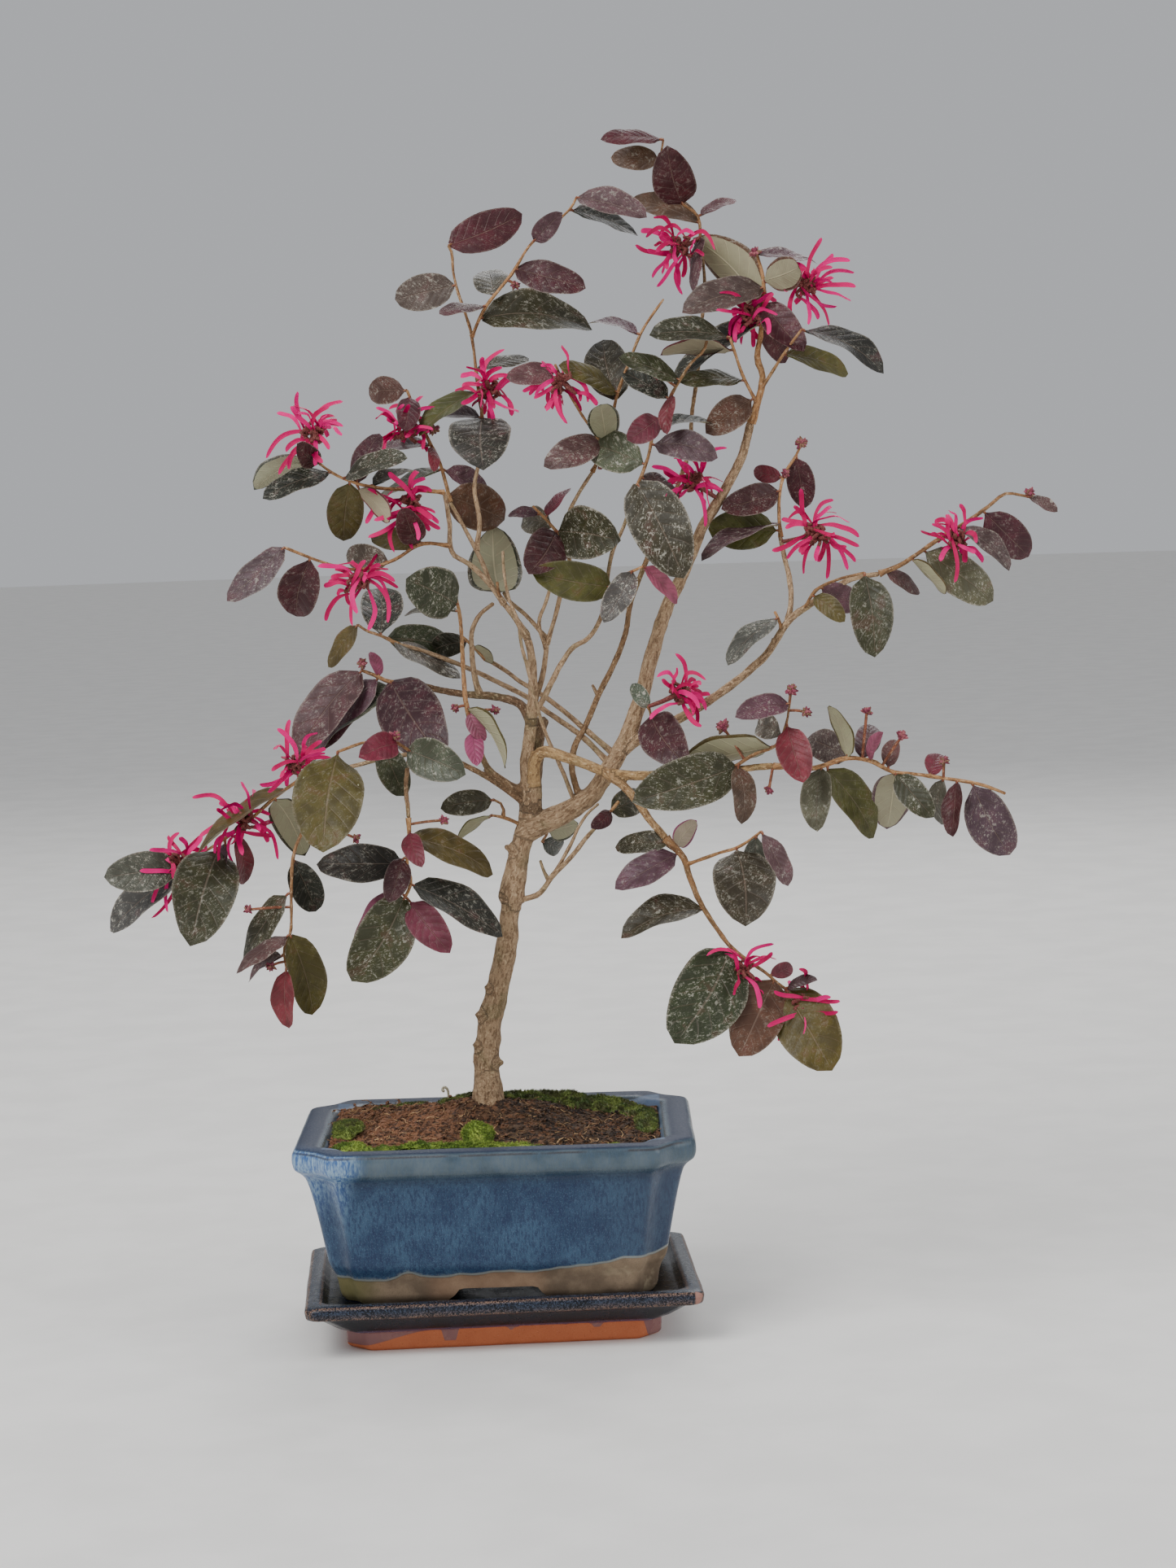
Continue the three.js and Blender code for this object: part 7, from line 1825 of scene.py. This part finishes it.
def make_stage(settings):
    shape = Shape()
    ring, low = ([shape.point((x, y, z)) for x, y in circle(FLOOR_REACH / MM, FLOOR_SIDES)]
                 for z in FLOOR_LEVELS)
    shape.skin([low, ring])
    shape.object("floor", [floor_material()])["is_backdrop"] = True
    world = bpy.data.worlds.new("studio")
    world.use_nodes = True
    sky = world.node_tree.nodes["Background"]
    sky.inputs["Color"].default_value = SKY
    sky.inputs["Strength"].default_value = settings.fill
    bpy.context.scene.world = world
    for name, at, size, share in LAMPS:
        light = bpy.data.lights.new(name, "AREA")
        light.size = size
        light.energy = settings.power * share
        lamp = bpy.data.objects.new(name, light)
        lamp.location = at
        lamp.rotation_euler = (AIM - Vector(at)).to_track_quat("-Z", "Y").to_euler()
        bpy.context.scene.collection.objects.link(lamp)
    camera = bpy.data.cameras.new("camera")
    camera.sensor_width = SENSOR
    camera.lens = EYE_FOCUS / max(PHOTO_SIZE) * SENSOR
    holder = bpy.data.objects.new("camera", camera)
    turn = (Matrix.Rotation(math.pi / 2 - EYE_PITCH, 4, "X")
            @ Matrix.Rotation(EYE_ROLL, 4, "Z"))
    holder.matrix_world = Matrix.Translation(EYE * MM) @ turn
    bpy.context.scene.collection.objects.link(holder)
    bpy.context.scene.camera = holder


# The add-on.


LENGTH = {"subtype": "DISTANCE", "unit": "LENGTH"}


class PlantSettings(bpy.types.PropertyGroup):
    leaf_thickness: bpy.props.FloatProperty(
        name="Leaf thickness", description="Thickness of a leaf blade",
        default=0.35 * MM, **LENGTH)
    leaf_curl: bpy.props.FloatProperty(
        name="Leaf curl", description="How far the blades arch and twist", default=1.0, min=0)
    leaf_steps: bpy.props.IntProperty(
        name="Leaf steps", description="Rows of faces along a blade", default=13, min=4)
    petal_width: bpy.props.FloatProperty(
        name="Petal width", description="Width of a strap petal", default=2.05 * MM, **LENGTH)
    head_spread: bpy.props.FloatProperty(
        name="Head spread", description="How far the flowers of a head stand apart",
        default=4.2 * MM, **LENGTH)
    petals: bpy.props.IntProperty(
        name="Petals", description="Petals of each flower head", default=24, min=0)
    petal_curl: bpy.props.FloatProperty(
        name="Petal curl", description="How far the petals bend and twist", default=1.0, min=0)
    bark_grain: bpy.props.FloatProperty(
        name="Bark grain", description="Size of the faces of the bark", default=0.8 * MM, **LENGTH)
    thin_limb: bpy.props.FloatProperty(
        name="Thin limb", description="Limbs under this width are plain rounds",
        default=2.9 * MM, **LENGTH)


class PotSettings(bpy.types.PropertyGroup):
    unevenness: bpy.props.FloatProperty(
        name="Unevenness", description="How far the clay strays from true",
        default=0.35 * MM, **LENGTH)


class GroundSettings(bpy.types.PropertyGroup):
    crumb_density: bpy.props.FloatProperty(
        name="Crumb density", description="Crumbs of peat on a square metre",
        default=650000, min=0)
    tuft_density: bpy.props.FloatProperty(
        name="Tuft density", description="Sprigs of moss on a square metre",
        default=1500000, min=0)


class StudioSettings(bpy.types.PropertyGroup):
    power: bpy.props.FloatProperty(
        name="Key light", description="Strength of the main light", default=34,
        subtype="POWER", unit="POWER")
    fill: bpy.props.FloatProperty(
        name="Fill", description="Strength of the light from all round", default=0.55, min=0)


class BONSAI_OT_tray(bpy.types.Operator):
    """Make the drip tray"""
    bl_idname = "bonsai.tray"
    bl_label = "Drip tray"

    def execute(self, context):
        make_tray(context.scene.bonsai_pot)
        return {"FINISHED"}


class BONSAI_OT_pot(bpy.types.Operator):
    """Make the glazed pot"""
    bl_idname = "bonsai.pot"
    bl_label = "Pot"

    def execute(self, context):
        make_pot(context.scene.bonsai_pot)
        return {"FINISHED"}


class BONSAI_OT_screens(bpy.types.Operator):
    """Finish the mesh over the drain holes"""
    bl_idname = "bonsai.screens"
    bl_label = "Drain screens"

    def execute(self, context):
        make_screens()
        return {"FINISHED"}


class BONSAI_OT_soil(bpy.types.Operator):
    """Make the soil with its crumbs and fibres"""
    bl_idname = "bonsai.soil"
    bl_label = "Soil"

    def execute(self, context):
        make_soil(context.scene.bonsai_ground)
        return {"FINISHED"}


class BONSAI_OT_moss(bpy.types.Operator):
    """Make the cushions of moss"""
    bl_idname = "bonsai.moss"
    bl_label = "Moss"

    def execute(self, context):
        make_moss(context.scene.bonsai_ground)
        return {"FINISHED"}


class BONSAI_OT_wood(bpy.types.Operator):
    """Make the trunk, its roots and its branches"""
    bl_idname = "bonsai.wood"
    bl_label = "Trunk and branches"

    def execute(self, context):
        make_wood(context.scene.bonsai_plant, grow())
        return {"FINISHED"}


class BONSAI_OT_shoots(bpy.types.Operator):
    """Make the leafy shoots"""
    bl_idname = "bonsai.shoots"
    bl_label = "Leafy shoots"

    def execute(self, context):
        make_shoots(context.scene.bonsai_plant, grow())
        return {"FINISHED"}


class BONSAI_OT_flowers(bpy.types.Operator):
    """Make the flower heads"""
    bl_idname = "bonsai.flowers"
    bl_label = "Flowers"

    def execute(self, context):
        make_flowers(context.scene.bonsai_plant, grow())
        return {"FINISHED"}


class BONSAI_OT_stage(bpy.types.Operator):
    """Make the floor, the lights and the camera"""
    bl_idname = "bonsai.stage"
    bl_label = "Stage"

    def execute(self, context):
        make_stage(context.scene.bonsai_studio)
        return {"FINISHED"}


STEPS = (BONSAI_OT_tray, BONSAI_OT_pot, BONSAI_OT_screens, BONSAI_OT_soil, BONSAI_OT_moss,
         BONSAI_OT_wood, BONSAI_OT_shoots, BONSAI_OT_flowers, BONSAI_OT_stage)
GROUPS = {"bonsai_plant": PlantSettings, "bonsai_pot": PotSettings,
          "bonsai_ground": GroundSettings, "bonsai_studio": StudioSettings}


class BONSAI_PT_panel(bpy.types.Panel):
    """The sidebar panel of the bonsai"""
    bl_idname = "BONSAI_PT_panel"
    bl_label = "Bonsai"
    bl_space_type = "VIEW_3D"
    bl_region_type = "UI"
    bl_category = "Bonsai"

    def draw(self, context):
        for group in GROUPS:
            settings = getattr(context.scene, group)
            for name in settings.__annotations__:
                self.layout.prop(settings, name)
        for step in STEPS:
            self.layout.operator(step.bl_idname)


def grow():
    """Reads the rows of the wood and the twigs, each after the one it grows from."""
    grown = {}
    for rows, leafy in ((WOOD, False), (TWIGS, True)):
        for row in rows:
            grown[row[0]] = Branch(row, leafy, grown)
    return grown


def register():
    for group in (*GROUPS.values(), *STEPS, BONSAI_PT_panel):
        bpy.utils.register_class(group)
    for name, group in GROUPS.items():
        setattr(bpy.types.Scene, name, bpy.props.PointerProperty(type=group))


def unregister():
    for name in GROUPS:
        delattr(bpy.types.Scene, name)
    for group in (BONSAI_PT_panel, *reversed(STEPS), *GROUPS.values()):
        bpy.utils.unregister_class(group)


def main():
    register()
    bpy.ops.bonsai.tray()
    bpy.ops.bonsai.pot()
    bpy.ops.bonsai.screens()
    bpy.ops.bonsai.soil()
    bpy.ops.bonsai.moss()
    bpy.ops.bonsai.wood()
    bpy.ops.bonsai.shoots()
    bpy.ops.bonsai.flowers()
    bpy.ops.bonsai.stage()
    boxes = {"cad": CAD_BOX, "visual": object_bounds()}
    plain = {name: [list(corner) for corner in box] for name, box in boxes.items()}


if __name__ == "__main__":
    main()
